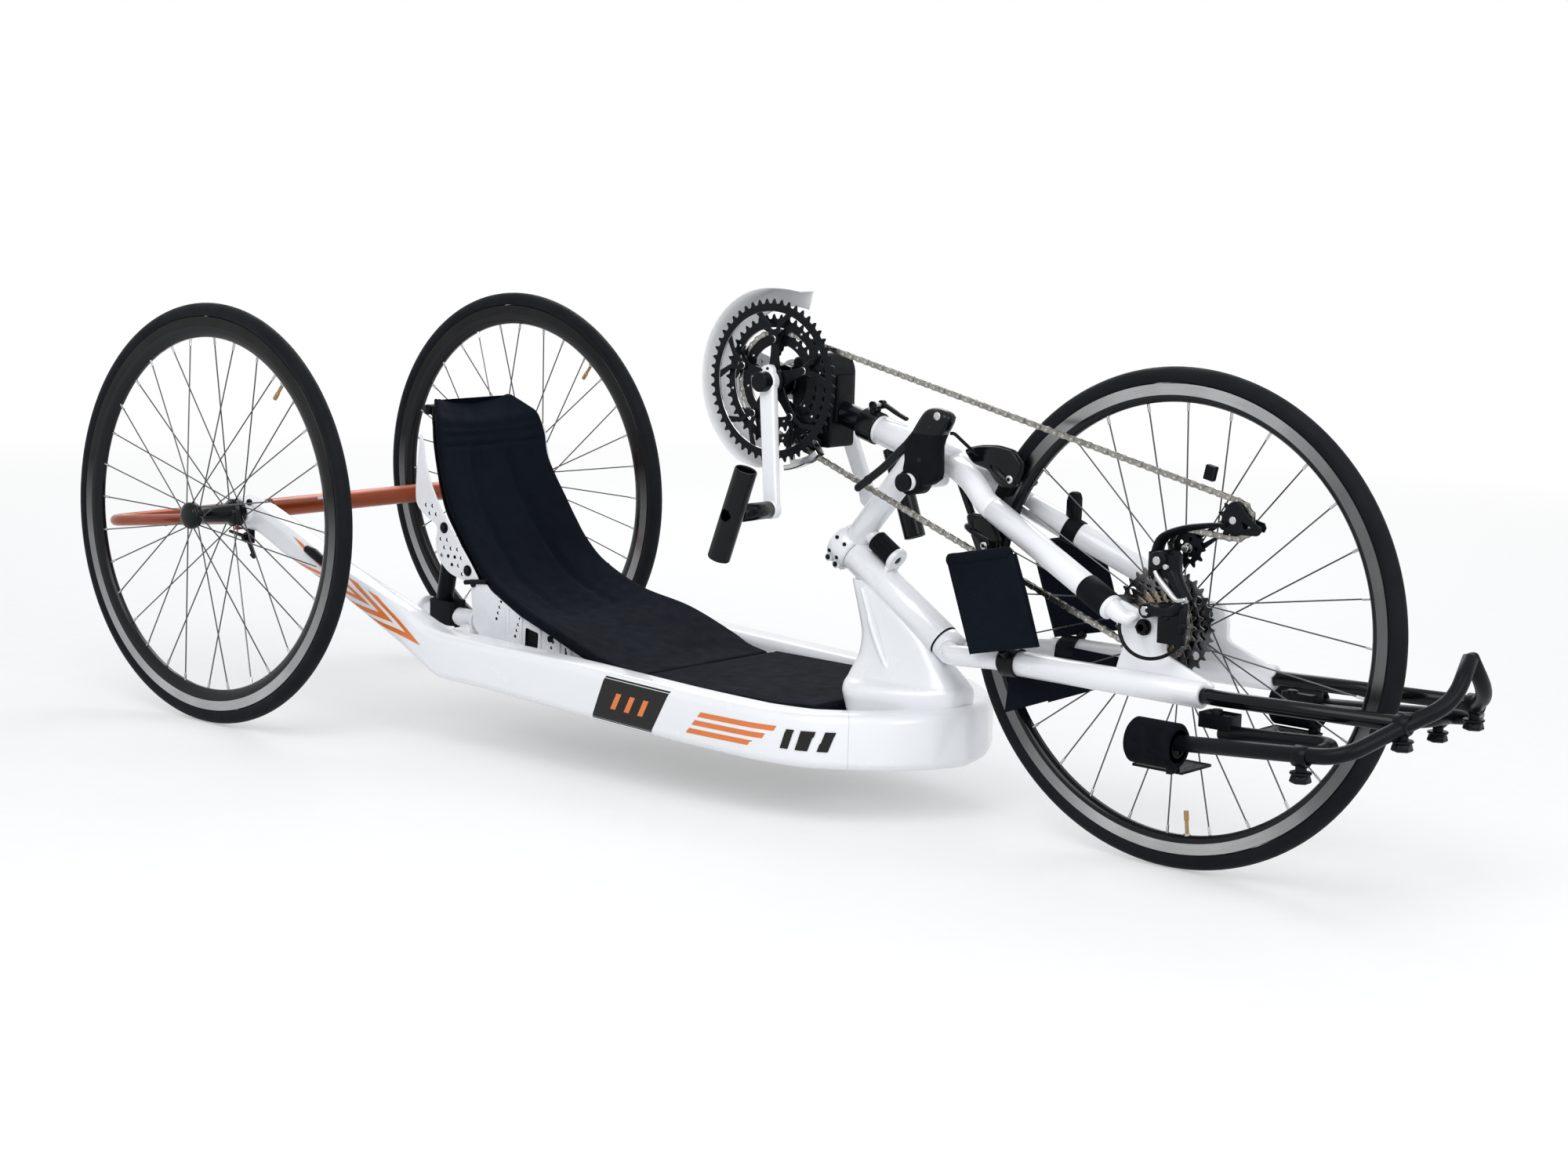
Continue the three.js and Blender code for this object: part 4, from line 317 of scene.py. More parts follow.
def block(low, high, corner=2.0, finish=0):
    """Box with rounded edges"""
    low, high = Vector(low), Vector(high)
    middle, size = (low + high) / 2, high - low
    corner = min(corner, min(size) * 0.45)
    rings = []
    for share in (0, 0.3, 0.7, 1):
        turn = share * pi / 2
        rings.append((low.z + corner * (1 - cos(pi / 2 - turn)), corner * (1 - sin(turn))))
    stops = rings + [(high.z - (z - low.z), trim) for z, trim in reversed(rings)]
    return skin([[point(middle.x + x, middle.y + y, z) for x, y in
                  rounded(size.x - 2 * trim, size.y - 2 * trim, max(corner - trim, corner * 0.2))]
                 for z, trim in stops], finish=finish)


def moved(part, matrix):
    return {**part, "points": [matrix @ p for p in part["points"]]}


def aside(part, side):
    """The part itself on the right side, -1, or its mirror image on the left side, 1"""
    return part if side < 0 else {**part, "points": [point(p.x, -p.y, p.z) for p in part["points"]]}


def piece(name, parts, finishes, body, nodes=(), smooth=38.0):
    mesh = bpy.data.meshes.new(name)
    work = bmesh.new()
    layer = work.loops.layers.uv.new("weave")
    for part in parts:
        corners = [work.verts.new(place(p)) for p in part["points"]]
        for loop, finish, uv in zip(part["faces"], part["finish"], part["uvs"]):
            if len(set(loop)) < 3:
                continue
            try:
                face = work.faces.new([corners[k] for k in loop])
            except ValueError:
                continue
            face.material_index = finish
            face.smooth = True
            if uv:
                for corner, spot in zip(face.loops, uv):
                    corner[layer].uv = spot
    bmesh.ops.recalc_face_normals(work, faces=work.faces)
    work.to_mesh(mesh)
    work.free()
    mesh.set_sharp_from_angle(angle=radians(smooth))
    for finish in finishes:
        mesh.materials.append(finish)
    made = bpy.data.objects.new(name, mesh)
    bpy.context.collection.objects.link(made)
    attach(made, body)
    if nodes:
        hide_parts(*nodes)
    return made


def dress(node, parts, finishes, body, smooth=38.0):
    """Piece that stands for one node of the frame"""
    return piece(f"{node}_fine", parts, finishes, body, [node], smooth)


# ---------------------------------------------------------------- materials
MIDDLE = (0.3, 0.7)


class Nodes:
    """Short names for the calls of one node tree"""

    def __init__(self, tree):
        self.tree = tree

    def add(self, kind, links=(), **values):
        node = self.tree.nodes.new("ShaderNode" + kind)
        for key, value in values.items():
            if key in node.inputs.keys():
                node.inputs[key].default_value = value
            else:
                setattr(node, key, value)
        for socket, source in dict(links).items():
            self.tree.links.new(source, node.inputs[socket])
        return node

    def calc(self, operation, first, second=None, clamp=False):
        """Result of a Math node, each operand a number or another node's output"""
        node = self.add("Math", operation=operation, use_clamp=clamp)
        for socket, value in zip(node.inputs, (first, second)):
            if isinstance(value, (int, float)):
                socket.default_value = value
            elif value is not None:
                self.tree.links.new(value, socket)
        return node.outputs[0]

    def remap(self, value, low, high, to_low=0.0, to_high=1.0):
        limits = {"From Min": low, "From Max": high, "To Min": to_low, "To Max": to_high}
        return self.add("MapRange", {"Value": value}, **limits).outputs[0]


class Finish(Nodes):
    """Node tree of one new material"""

    def __init__(self, name):
        self.material = bpy.data.materials.new(name)
        self.material.use_nodes = True
        super().__init__(self.material.node_tree)
        self.surface = self.tree.nodes["Principled BSDF"]
        self.coords = self.tree.nodes.new("ShaderNodeTexCoord")

    def strip(self):
        """The two strip coordinates of a surface, along it and round it"""
        return self.add("SeparateXYZ", {"Vector": self.coords.outputs["UV"]}).outputs[:2]

    def noise(self, scale, detail=3.0, source="Object", stretch=None):
        vector = self.coords.outputs[source]
        if stretch:
            vector = self.add("Mapping", {"Vector": vector}, Scale=stretch).outputs[0]
        return self.add("TexNoise", {"Vector": vector}, Scale=scale, Detail=detail).outputs["Fac"]

    def span(self, fac, low, high):
        """A value from low to high as fac goes through its middle range"""
        return self.remap(fac, *MIDDLE, low, high)

    def tint(self, fac, dark, light):
        node = self.add("ValToRGB", {"Fac": fac})
        for stop, position, colour in zip(node.color_ramp.elements, MIDDLE, (dark, light)):
            stop.position = position
            stop.color = (*colour, 1)
        return node.outputs[0]

    def bump(self, height, distance, strength=1.0, under=None):
        links = {"Height": height}
        if under:
            links["Normal"] = under
        return self.add("Bump", links, Distance=distance, Strength=strength).outputs[0]

    def wire(self, socket, source):
        self.tree.links.new(source, self.surface.inputs[socket])

    def set(self, **values):
        for key, value in values.items():
            self.surface.inputs[key.replace("_", " ")].default_value = value


def plain(name, colour, rough, spread=0.06, vary=0.06, mottle=18.0, grain=900.0, depth=0.00002, metal=0.0, coat=0.0,
          edge=0.0, specular=0.5):
    """Plain moulded, painted or metal surface: mottled colour, uneven gloss, fine grain and rounded edges"""
    n = Finish(name)
    cloud = n.noise(mottle)
    fine = n.noise(grain, 2.0)
    dark = [c * (1 - vary) for c in colour]
    light = [min(1, c * (1 + vary)) for c in colour]
    n.wire("Base Color", n.tint(cloud, dark, light))
    n.wire("Roughness", n.span(n.noise(mottle * 3.1), rough - spread, rough + spread))
    under = n.add("Bevel", samples=4, Radius=edge).outputs[0] if edge else None
    n.wire("Normal", n.bump(fine, depth, 0.6, under))
    n.set(Metallic=metal, Coat_Weight=coat, Coat_Roughness=0.06, Specular_IOR_Level=specular)
    return n.material


paint_white = plain("paint_white", (0.82, 0.835, 0.86), 0.24, 0.05, 0.015, 6, 420, 0.00003, coat=0.5, edge=0.0022)
paint_clear = plain("paint_white_thin", (0.82, 0.835, 0.86), 0.26, 0.05, 0.02, 9, 500, 0.00003, coat=0.4)
black_satin = plain("black_satin", (0.0040, 0.0048, 0.0066), 0.34, 0.07, 0.25, 30, 1400, 0.00002, specular=0.11)
black_gloss = plain("black_gloss", (0.0032, 0.0038, 0.0052), 0.15, 0.05, 0.2, 22, 700, 0.00001, specular=0.2)
black_cast = plain("black_cast", (0.0040, 0.0046, 0.0060), 0.42, 0.08, 0.3, 60, 800, 0.00008, specular=0.1)
hood_rubber = plain("hood_rubber", (0.0045, 0.0052, 0.0070), 0.6, 0.05, 0.2, 40, 1600, 0.00012, specular=0.07)
foam = plain("foam_black", (0.0050, 0.0060, 0.0085), 0.85, 0.05, 0.3, 70, 1100, 0.0004, specular=0.04)
steel_dark = plain("steel_dark", (0.13, 0.13, 0.135), 0.3, 0.08, 0.25, 90, 900, 0.00002, metal=1)
steel_bright = plain("steel_bright", (0.52, 0.52, 0.53), 0.22, 0.08, 0.1, 60, 1200, 0.00002, metal=1)
steel_chain = plain("steel_chain", (0.28, 0.27, 0.25), 0.3, 0.1, 0.3, 160, 1500, 0.00002, metal=1)
steel_brown = plain("steel_brown", (0.27, 0.23, 0.17), 0.32, 0.1, 0.25, 120, 1500, 0.00002, metal=1)
spoke_metal = plain("spoke_metal", (0.10, 0.10, 0.105), 0.3, 0.05, 0.1, 40, 900, 0.00001, metal=1)
brass = plain("brass", (0.38, 0.25, 0.12), 0.3, 0.05, 0.1, 40, 900, 0.00001, metal=1)
guard_plastic = plain("guard_plastic", (0.88, 0.89, 0.90), 0.38, 0.06, 0.02, 8, 900, 0.00003)
rim_lacquer = plain("rim_lacquer", (0.0034, 0.0040, 0.0055), 0.14, 0.04, 0.15, 12, 500, 0.00001, specular=0.22)
stripe_orange = plain("stripe_orange", (0.72, 0.17, 0.022), 0.26, 0.04, 0.04, 14, 700, 0.00001, coat=0.4)
stripe_black = plain("stripe_black", (0.0060, 0.0060, 0.0060), 0.24, 0.04, 0.1, 14, 700, 0.00001, specular=0.3)


def orange_finish():
    """Metallic lacquer: flakes that differ in tone and tilt under a clear coat"""
    n = Finish("orange_metal")
    flakes = n.add("TexVoronoi", {"Vector": n.coords.outputs["Object"]}, Scale=2600.0)
    cloud = n.tint(n.noise(9), (0.19, 0.026, 0.0055), (0.25, 0.037, 0.008))
    glint = n.add("MixRGB", {"Fac": flakes.outputs["Distance"], "Color1": cloud}, Color2=(0.34, 0.064, 0.016, 1))
    n.wire("Base Color", glint.outputs[0])
    n.wire("Roughness", n.span(n.noise(30), 0.3, 0.38))
    n.wire("Normal", n.bump(flakes.outputs["Distance"], 0.00002, 0.4))
    n.set(Metallic=0.7, Coat_Weight=0.25, Coat_Roughness=0.1)
    return n.material


def tyre_finish():
    """Rubber with a fine slanted file pattern on the shoulders, drawn in the strip coordinates of the tyre"""
    n = Finish("tyre_rubber")
    along, around = n.strip()
    wave = n.calc("SINE", n.calc("MULTIPLY", n.calc("ADD", along, around), 3600.0))
    height = n.calc("ADD", wave, n.noise(1300, 3.0))
    n.wire("Base Color", n.tint(n.noise(14), (0.0055, 0.0062, 0.0085), (0.0090, 0.0100, 0.0130)))
    n.wire("Roughness", n.span(n.noise(45), 0.52, 0.66))
    n.wire("Normal", n.bump(height, 0.00012, 0.45))
    n.set(Specular_IOR_Level=0.09)
    return n.material


def track_finish(name, turns):
    """Bare machined band: fine lines that run round the rim, with painted reflection that makes the band brighter
    once or twice in a turn
    """
    n = Finish(name)
    lines = n.noise(1.0, 2.0, "UV", (20.0, 9000.0, 1.0))
    # painted reflection: the band's colour is brightened at one or two fixed places in a turn and darkened between,
    # times a slow random unevenness
    angle = n.calc("MULTIPLY", n.strip()[0], -turns * 1000 / RIM_OUTER)
    once = turns == 1
    wave = n.calc("MULTIPLY", n.calc("SINE" if once else "COSINE", angle), 1.0 if once else -1.0)
    painted_reflection = n.remap(wave, -0.2, 0.85, 0.05 if once else 0.3)
    uneven = n.span(n.noise(1.0, 2.0, "UV", (9.0, 0.0, 0.0)), 0.7, 1.0)
    painted_shading = n.calc("MULTIPLY", painted_reflection, uneven)
    tone = n.tint(lines, (0.36, 0.365, 0.37), (0.60, 0.605, 0.61))
    n.wire("Base Color", n.add("MixRGB", {"Color1": tone, "Color2": painted_shading}, blend_type="MULTIPLY",
                               Fac=1.0).outputs[0])
    n.wire("Roughness", n.span(lines, 0.2, 0.32))
    n.wire("Normal", n.bump(lines, 0.00002, 0.5))
    n.set(Metallic=1.0)
    return n.material


def cloth(name, colour, thread, pores=0.0, depth=0.00018):
    """Woven cover in its strip coordinates: crossing threads, or open pores, with painted shade in the grooves and
    pores, soft creases and faded patches
    """
    n = Finish(name)
    threads = [n.calc("SINE", n.calc("MULTIPLY", way, TURN / thread)) for way in n.strip()]
    weave = n.calc("MULTIPLY", *threads)
    # painted shade: the colour darkens where the weave is low, in the grooves between threads, and deeper in the
    # pores
    painted_shading = n.remap(weave, -1, 1, 0.75 - pores)
    cloud = n.tint(n.noise(7, 4.0), [c * 0.75 for c in colour], [c * 1.3 for c in colour])
    mixed = n.add("MixRGB", {"Color1": cloud, "Color2": painted_shading}, blend_type="MULTIPLY", Fac=0.85)
    n.wire("Base Color", mixed.outputs[0])
    n.wire("Roughness", n.span(n.noise(60), 0.85 - 0.06, 0.85 + 0.06))
    soft = n.bump(n.noise(38, 2.0), 0.0006, 0.5)
    n.wire("Normal", n.bump(weave, depth, 0.6, soft))
    n.set(Specular_IOR_Level=0.06)
    return n.material


orange_metal = orange_finish()
tyre_rubber = tyre_finish()
seat_cloth = cloth("seat_cloth", (0.0048, 0.0072, 0.0125), 0.0011)
piping_cloth = cloth("piping_cloth", (0.0040, 0.0056, 0.0090), 0.0008)
mesh_cloth = cloth("mesh_cloth", (0.0065, 0.0095, 0.0160), 0.0028, pores=0.35, depth=0.0003)


# ---------------------------------------------------------------- wheels
TYRE_RADIUS, TYRE_WIDTH, BEAD = 304.4, 22.9, 285.6
RIM_OUTER, TRACK_DEPTH, RIM_WIDTH = 285.2, 14.2, 19.0
WHEELBASE, TRACK, CAMBER = 1447.0, 627.0, radians(1.5)
WHEEL_RADIUS, TYRE_HALF = 304.5, 11.5
AXLE_HEIGHT = (WHEEL_RADIUS - TYRE_HALF) * cos(CAMBER) + TYRE_HALF
# axes across the middle plane, as (x, z): front wheel, cranks, brake hood's stem
HUB, SPINDLE, STEM = (WHEELBASE, WHEEL_RADIUS), (843, 549), (1085, 441)
REAR_APEX, FRONT_APEX = RIM_OUTER - 30, RIM_OUTER - 23
rear_track, front_track = track_finish("brake_track_rear", 1), track_finish("brake_track_front", 2)


def tyre_shape():
    middle = TYRE_RADIUS - TYRE_WIDTH / 2
    gape = acos((BEAD - middle) / (TYRE_WIDTH / 2))
    profile = []
    for k in range(29):
        turn = -gape + 2 * gape * k / 28
        profile.append((middle + TYRE_WIDTH / 2 * cos(turn), TYRE_WIDTH / 2 * sin(turn)))
    lip = profile[-1][1]
    profile += [(BEAD - 0.1, lip - 1.2), (BEAD - 0.1, 1.2 - lip)]
    return lathe(profile, 144)


def rim_shapes(apex, valve_turn):
    half = RIM_WIDTH / 2
    track_low = RIM_OUTER - TRACK_DEPTH
    side = [(RIM_OUTER - 0.1, half - 1.4), (RIM_OUTER - 0.1, half - 0.5), (RIM_OUTER - 0.6, half),
            (track_low, half)]
    for share in (0.08, 0.3, 0.55, 0.78, 0.92):
        bulge = sin(pi * share) * 1.4
        side.append((track_low - 0.4 - (track_low - 0.4 - apex) * share,
                     half - 0.4 - (half - 3.9) * share ** 1.3 + bulge))
    side += [(apex + 0.8, 3.2), (apex, 2.2)]
    profile = side + [(r, -y) for r, y in reversed(side)]
    marks = [0] * len(profile)
    for k, ((_, y), (_, y2)) in enumerate(zip(profile, profile[1:] + profile[:1])):
        if abs(abs(y) - half) < 0.01 and abs(abs(y2) - half) < 0.01:
            marks[k] = 1
    ring = lathe(profile, 144, marks)
    aim = point(cos(valve_turn), 0, sin(valve_turn))
    stem = rod(aim * (apex - 30), aim * (apex + 3), 2.4, sides=16, finish=3)
    cap = rod(aim * (apex - 30), aim * (apex - 18), 3.1, sides=12, finish=3)
    nut = rod(aim * (apex - 2.2), aim * (apex + 1), 4.6, sides=6, chamfer=0.3, finish=2)
    return [ring, stem, cap, nut]


def spoke_shapes(count, flanges, apex):
    """Crossed spokes with a nipple at the rim; flanges are (radius, y)"""
    per_flange = count // 2
    made = []
    for number, (radius, at) in enumerate(flanges):
        for k in range(per_flange):
            way = 1 if k % 2 else -1
            start = (k + number / 2) / per_flange * TURN
            end = start + way * 2 * TURN / per_flange
            a = point((radius - 4) * cos(start), at + way * 1.5, (radius - 4) * sin(start))
            b = point((apex + 0.4) * cos(end), copysign(1.5, at), (apex + 0.4) * sin(end))
            heading = (b - a).normalized()
            made.append(rod(a, b, 1.0, sides=8, chamfer=0, finish=1))
            made.append(rod(b - heading * 11, b, 1.9, sides=8, chamfer=0.5, finish=2))
            made.append(rod(a - ASIDE * way * 0.4, a + ASIDE * way * 2.2, 2.1, sides=10, chamfer=0.6, finish=2))
    return made


def rear_wheel(side, name):
    wheel = Matrix.Translation((0, side * TRACK / 2, AXLE_HEIGHT)) @ Matrix.Rotation(side * CAMBER, 4, "X")
    valve = radians(52)
    body = f"wheel_{name}"
    dress(f"tyre_{name}", [moved(tyre_shape(), wheel)], [tyre_rubber], body)
    dress(f"rim_{name}", [moved(s, wheel) for s in rim_shapes(REAR_APEX, valve)],
          [rim_lacquer, rear_track, steel_bright, brass], body)
    outer, inner, cap, waist, drum, flange = 44.4, 51, 19.0, 13.0, 12.0, 20.0
    profile = [(7.2, outer - 8), (12.0, outer - 8), (12.5, outer - 4.4), (16.4, outer - 3.6),
               (cap - 1.2, outer - 4.4), (cap, outer - 6), (cap, outer - 8), (cap - 0.8, outer - 9),
               (cap, outer - 10), (cap, outer - 15), (cap - 2, outer - 17), (waist + 1.5, outer - 20),
               (waist, outer - 27), (waist, 0), (waist + 0.4, -25), (waist + 2.5, drum - inner + 8),
               (flange - 2, drum - inner + 1.5), (flange, drum - inner), (flange, -42.5), (flange - 1.2, -43.5),
               (flange, -44.5), (flange, -50), (flange - 1, -inner), (7.2, -inner)]
    hub = lathe([(r, side * y) for r, y in profile], 72)
    dome = skin([circle(ASIDE * side * y, AHEAD, UP, r, 48) for r, y in (
        (14.6, outer - 6), (15.8, outer - 3.6), (15.2, outer - 2.4), (13.2, outer - 1.4), (10.0, outer - 0.7),
        (6.0, outer - 0.2), (2.0, outer),
    )])
    flanges = [(flange, side * (drum / 2 - inner)), (cap, side * (outer - 13))]
    dress(f"hub_{name}", [moved(s, wheel) for s in [hub, dome] + spoke_shapes(32, flanges, REAR_APEX)],
          [black_gloss, spoke_metal, steel_bright], body)


def front_wheel():
    wheel = Matrix.Translation((WHEELBASE, 0, WHEEL_RADIUS))
    dress("tyre_front", [moved(tyre_shape(), wheel)], [tyre_rubber], "wheel_front")
    dress("rim_front", [moved(s, wheel) for s in rim_shapes(FRONT_APEX, radians(-84))],
          [rim_lacquer, front_track, steel_bright, brass], "wheel_front")
    profile = [(5.8, 38), (9.5, 38), (10, 37.5), (10, 32), (26, 32), (27, 31.4), (27, 28.6), (26, 28), (16.5, 26),
               (15, 22), (14, 6), (15, -10), (16.5, -14), (26, -16), (27, -16.6), (27, -19.4), (26, -20),
               (10, -20), (5.8, -20)]
    hub = lathe(profile, 72)
    flanges = [(27, 30), (27, -18)]
    magnet = moved(block((-9, -5, -6), (9, 5, 6), 2),
                   Matrix.Translation((37, -4.0, 182)) @ Matrix.Rotation(radians(-78), 4, "Y"))
    dress("hub_front", [moved(s, wheel) for s in [hub, magnet] + spoke_shapes(28, flanges, FRONT_APEX)],
          [black_satin, spoke_metal, steel_bright], "wheel_front")


for side, name in SIDES:
    rear_wheel(side, name)
front_wheel()

# ---------------------------------------------------------------- main frame
NOSE, SPREAD, RAIL_WIDTH, RAIL_CORNER = 1112.0, 227.0, 50.0, 13.0
# along, aside, width, floor, top, each as a share
RAIL_SHARES = [
    (-0.0234, 1.0, 0.92, 0.907, 1.058), (0.018, 1.0, 0.92, 0.9, 1.03), (0.0755, 0.993, 0.92, 0.805, 0.95),
    (0.16, 0.967, 0.94, 0.69, 0.81), (0.268, 0.899, 0.96, 0.486, 0.657), (0.31, 0.868, 1.0, 0.394, 0.583),
    (0.337, 0.85, 1.02, 0.343, 0.5585), (0.409, 0.8106, 1.04, 0.328, 0.542), (0.5755, 0.7775, 1.02, 0.289, 0.519),
    (0.738, 0.771, 1.0, 0.263, 0.495), (0.845, 0.758, 1.0, 0.253, 0.485), (0.904, 0.692, 1.0, 0.249, 0.483),
    (0.94, 0.564, 1.0, 0.247, 0.483),
]
NOSE_SHARES = [(0.973, 0.396, 1.04, 0.244, 0.483), (0.994, 0.2, 1.1, 0.24, 0.49), (1.004, 0.0, 1.14, 0.236, 0.5)]


def spline_rows(rows, steps):
    """Rows of numbers, with smooth rows in between"""
    ends = [tuple(2 * a - b for a, b in zip(rows[0], rows[1]))] + list(rows) + [
        tuple(2 * a - b for a, b in zip(rows[-1], rows[-2]))]
    result = []
    for a, b, c, d in zip(ends, ends[1:], ends[2:], ends[3:]):
        for n in range(steps):
            t = n / steps
            blend = [tuple((1 - t) * p + t * q for p, q in zip(b, c))]
            smooth = tuple(0.5 * (2 * q + (r - p) * t + (2 * p - 5 * q + 4 * r - s) * t ** 2 +
                                  (3 * q - p - 3 * r + s) * t ** 3)
                           for p, q, r, s in zip(a, b, c, d))
            result.append(tuple(0.5 * p + 0.5 * q for p, q in zip(blend[0], smooth)))
    result.append(rows[-1])
    return result


def rail_rings(rows, side, trim=0.0):
    centres = [point(row[0] * NOSE, side * row[1] * SPREAD, 0) for row in rows]
    rings = []
    for n, row in enumerate(rows):
        lateral = UP.cross(heading_at(centres, n))
        floor, top = row[3] * AXLE_HEIGHT, row[4] * AXLE_HEIGHT
        rings.append([centres[n] + lateral * across + UP * ((floor + top) / 2 + up)
                      for across, up in rounded(row[2] * RAIL_WIDTH - trim, top - floor - trim, RAIL_CORNER, 8)])
    return rings


FULL_ROWS = spline_rows(RAIL_SHARES + NOSE_SHARES, 6)
JOINT = 6 * (len(RAIL_SHARES) - 1)
RAIL_ROWS = FULL_ROWS[:JOINT + 1]


def rail_spot(along, high, proud, side=-1):
    """Point on a rail's outer side: along and high are shares, proud the distance off the face"""
    for a, b in zip(RAIL_ROWS, RAIL_ROWS[1:]):
        if a[0] <= along <= b[0]:
            t = (along - a[0]) / (b[0] - a[0])
            row = tuple(p + (q - p) * t for p, q in zip(a, b))
            heading = (point(b[0] * NOSE, side * b[1] * SPREAD, 0) -
                       point(a[0] * NOSE, side * a[1] * SPREAD, 0)).normalized()
            outward = UP.cross(heading) * side
            floor, top = row[3] * AXLE_HEIGHT, row[4] * AXLE_HEIGHT
            centre = point(row[0] * NOSE, side * row[1] * SPREAD, floor + (top - floor) * high)
            half = row[2] * RAIL_WIDTH / 2
            drop = max(0.0, abs(high - 0.5) * (top - floor) - ((top - floor) / 2 - RAIL_CORNER))
            return centre + outward * (half + proud - (RAIL_CORNER - sqrt(max(0, RAIL_CORNER ** 2 - drop ** 2))))
    raise ValueError("the decal leaves the rail")


def band_on_rail(lower, upper, steps, finish, side, proud=0.25):
    """Thin film between two curves of (along, high) shares"""
    rings = []
    for n in range(steps + 1):
        low, high = at_share(lower, n / steps), at_share(upper, n / steps)
        rings.append([rail_spot(*low.lerp(high, m / 18), proud, side) for m in range(19)])
    return skin(rings, caps=False, finish=finish, open_rings=True)


def rails():
    for side, name in SIDES:
        parts = [skin(rail_rings(FULL_ROWS, side)[:JOINT + 1])]
        plug = rail_rings([RAIL_SHARES[0]], side, 6.0)[0]
        parts.append(skin([[p + AHEAD * 3 for p in plug], [p - AHEAD * 0.6 for p in plug]], finish=1))
        rear = point(RAIL_SHARES[0][0] * NOSE, 0, 0)
        parts += [pin((rear.x + 28, AXLE_HEIGHT - 3), side * (SPREAD + 21), side * (SPREAD + 30), 15, 13),
                  pin((10, 318), side * 248, side * 253, 4.5, sides=16, finish=1)]
        clip_end = rail_spot(0.155, 0.86, 3, side)
        clip_start = rail_spot(0.118, 0.88, 3, side)
        parts.append(tube([clip_start, clip_start.lerp(clip_end, 0.4) + point(0, side * 2, 3), clip_end],
                          [5.5, 7.5, 6], 16, finish=1))
        if side < 0:
            parts += [block((-16, -236.5, 255), (0, -231.5, 290), 1.5, finish=1),
                      pin((-8, 263), -248.5, -234, 4, sides=24, finish=1)]
        # generic bent outlines, one behind the other, then a plain black panel and slanted bars
        for start, depth in ((0.10, 0.060), (0.196, 0.046)):
            tip = start + depth
            for shift in (0.0, 0.034):
                parts.append(band_on_rail([(start + shift - 0.01, 0.90), (tip + shift * 1.3, 0.50),
                                           (start + shift - 0.01, 0.10)],
                                          [(start + shift + 0.008, 0.90), (tip + shift * 1.3 + 0.024, 0.50),
                                           (start + shift + 0.008, 0.10)],
                                          28, 2, side))
        parts.append(band_on_rail([(0.596, 0.03), (0.692, 0.03)], [(0.619, 0.985), (0.724, 0.985)], 20, 3, side))
        for start in (0.628, 0.650, 0.672):
            parts.append(band_on_rail([(start, 0.34), (start + 0.008, 0.34)],
                                      [(start + 0.010, 0.66), (start + 0.018, 0.66)], 6, 2, side, 0.6))
        for low, high, reach in ((0.26, 0.36, 0.842), (0.43, 0.53, 0.858), (0.60, 0.70, 0.872)):
            parts.append(band_on_rail([(0.736 + low / 20, low), (reach, low + 0.03)],
                                      [(0.736 + high / 20, high), (reach + 0.004, high + 0.03)], 24, 2, side))
        for start in (0.880, 0.897, 0.914):
            parts.append(band_on_rail([(start, 0.34), (start + 0.009, 0.34)],
                                      [(start + 0.007, 0.70), (start + 0.016, 0.70)], 6, 3, side, 1.0))
        dress(f"main_rail_{name}", parts, [paint_white, black_satin, stripe_orange, stripe_black], "frame")


rails()

HEAD_TURN = radians(32.6)
HEAD_ALONG = point(cos(HEAD_TURN), 0, -sin(HEAD_TURN))
HEAD_ABOVE = point(sin(HEAD_TURN), 0, cos(HEAD_TURN))
HEAD_LENGTH = 176.0
HEAD_START = point(947.1, 0, 326.6)
DAMPER_RISE = 37


def on_head(along, above=0.0, aside_by=0.0):
    return HEAD_START + ASIDE * aside_by + HEAD_ALONG * along + HEAD_ABOVE * above


# height, rear, front, half width at the rear and at the front, each as a share
TOWER_SHARES = [
    (0.27, 0.9, 1.005, 0.33, 0.13), (0.53, 0.882, 1.02, 0.4, 0.14), (0.585, 0.875, 1.014, 0.27, 0.125),
    (0.665, 0.876, 0.988, 0.155, 0.11), (0.76, 0.874, 0.965, 0.105, 0.1), (0.975, 0.857, 0.892, 0.086, 0.084),
]


def head_tower():
    right = rail_rings(FULL_ROWS, -1)[JOINT:]
    mirrored_left = [[point(p.x, -p.y, p.z) for p in ring] for ring in right]
    rings = right + list(reversed(mirrored_left[:-1]))
    parts = [skin(rings)]
    sections = []
    for height, rear, front, half_rear, half_front in spline_rows(TOWER_SHARES, 7):
        ring = []
        for k in range(32):
            turn = k / 32 * TURN
            squash = [copysign(abs(value) ** 0.42, value) for value in (cos(turn), sin(turn))]
            ahead = (1 + squash[0]) / 2
            half = half_rear + (half_front - half_rear) * ahead
            ring.append(point((rear + (front - rear) * ahead) * NOSE, squash[1] * half * SPREAD,
                              height * AXLE_HEIGHT))
        sections.append(ring)
    parts += [skin(sections),
              rod(on_head(0), on_head(HEAD_LENGTH), 22, sides=48, chamfer=1.2),
              sleeve(on_head(-0.2), on_head(2.0), 21.2, 15.2, sides=48, finish=1),
              sleeve(on_head(HEAD_LENGTH - 2), on_head(HEAD_LENGTH + 0.2), 21.4, 15.2, sides=48, finish=1),
              sleeve(on_head(52.3, DAMPER_RISE), on_head(60.3, DAMPER_RISE), 16, 5.2, sides=40, chamfer=1.4),
              rod(on_head(52.6, DAMPER_RISE), on_head(60.0, DAMPER_RISE), 5.4, 4.8, sides=6, finish=1)]
    web = [on_head(53, 0), on_head(60, 0), on_head(60, 30), on_head(53, 30)]
    parts.append(plate([(p.x, p.z) for p in web], -11.4, 11.4))
    # raised spines from the head tube down to the rails, one on each side
    for side in (-1, 1):
        spine = [(976, side * 20, 288), (1008, side * 27, 225), (1046, side * 35, 168), (1062, side * 41, 122)]
        parts.append(tube(curved(spine, 6), [5.0] * 4 + [6.5] * 15, 16, flat=0.7))
    dress("head_tower", parts, [paint_white, black_satin], "frame", smooth=46)


head_tower()


BUMPER_ASIDE, BRAKE_ASIDE = 232, 240


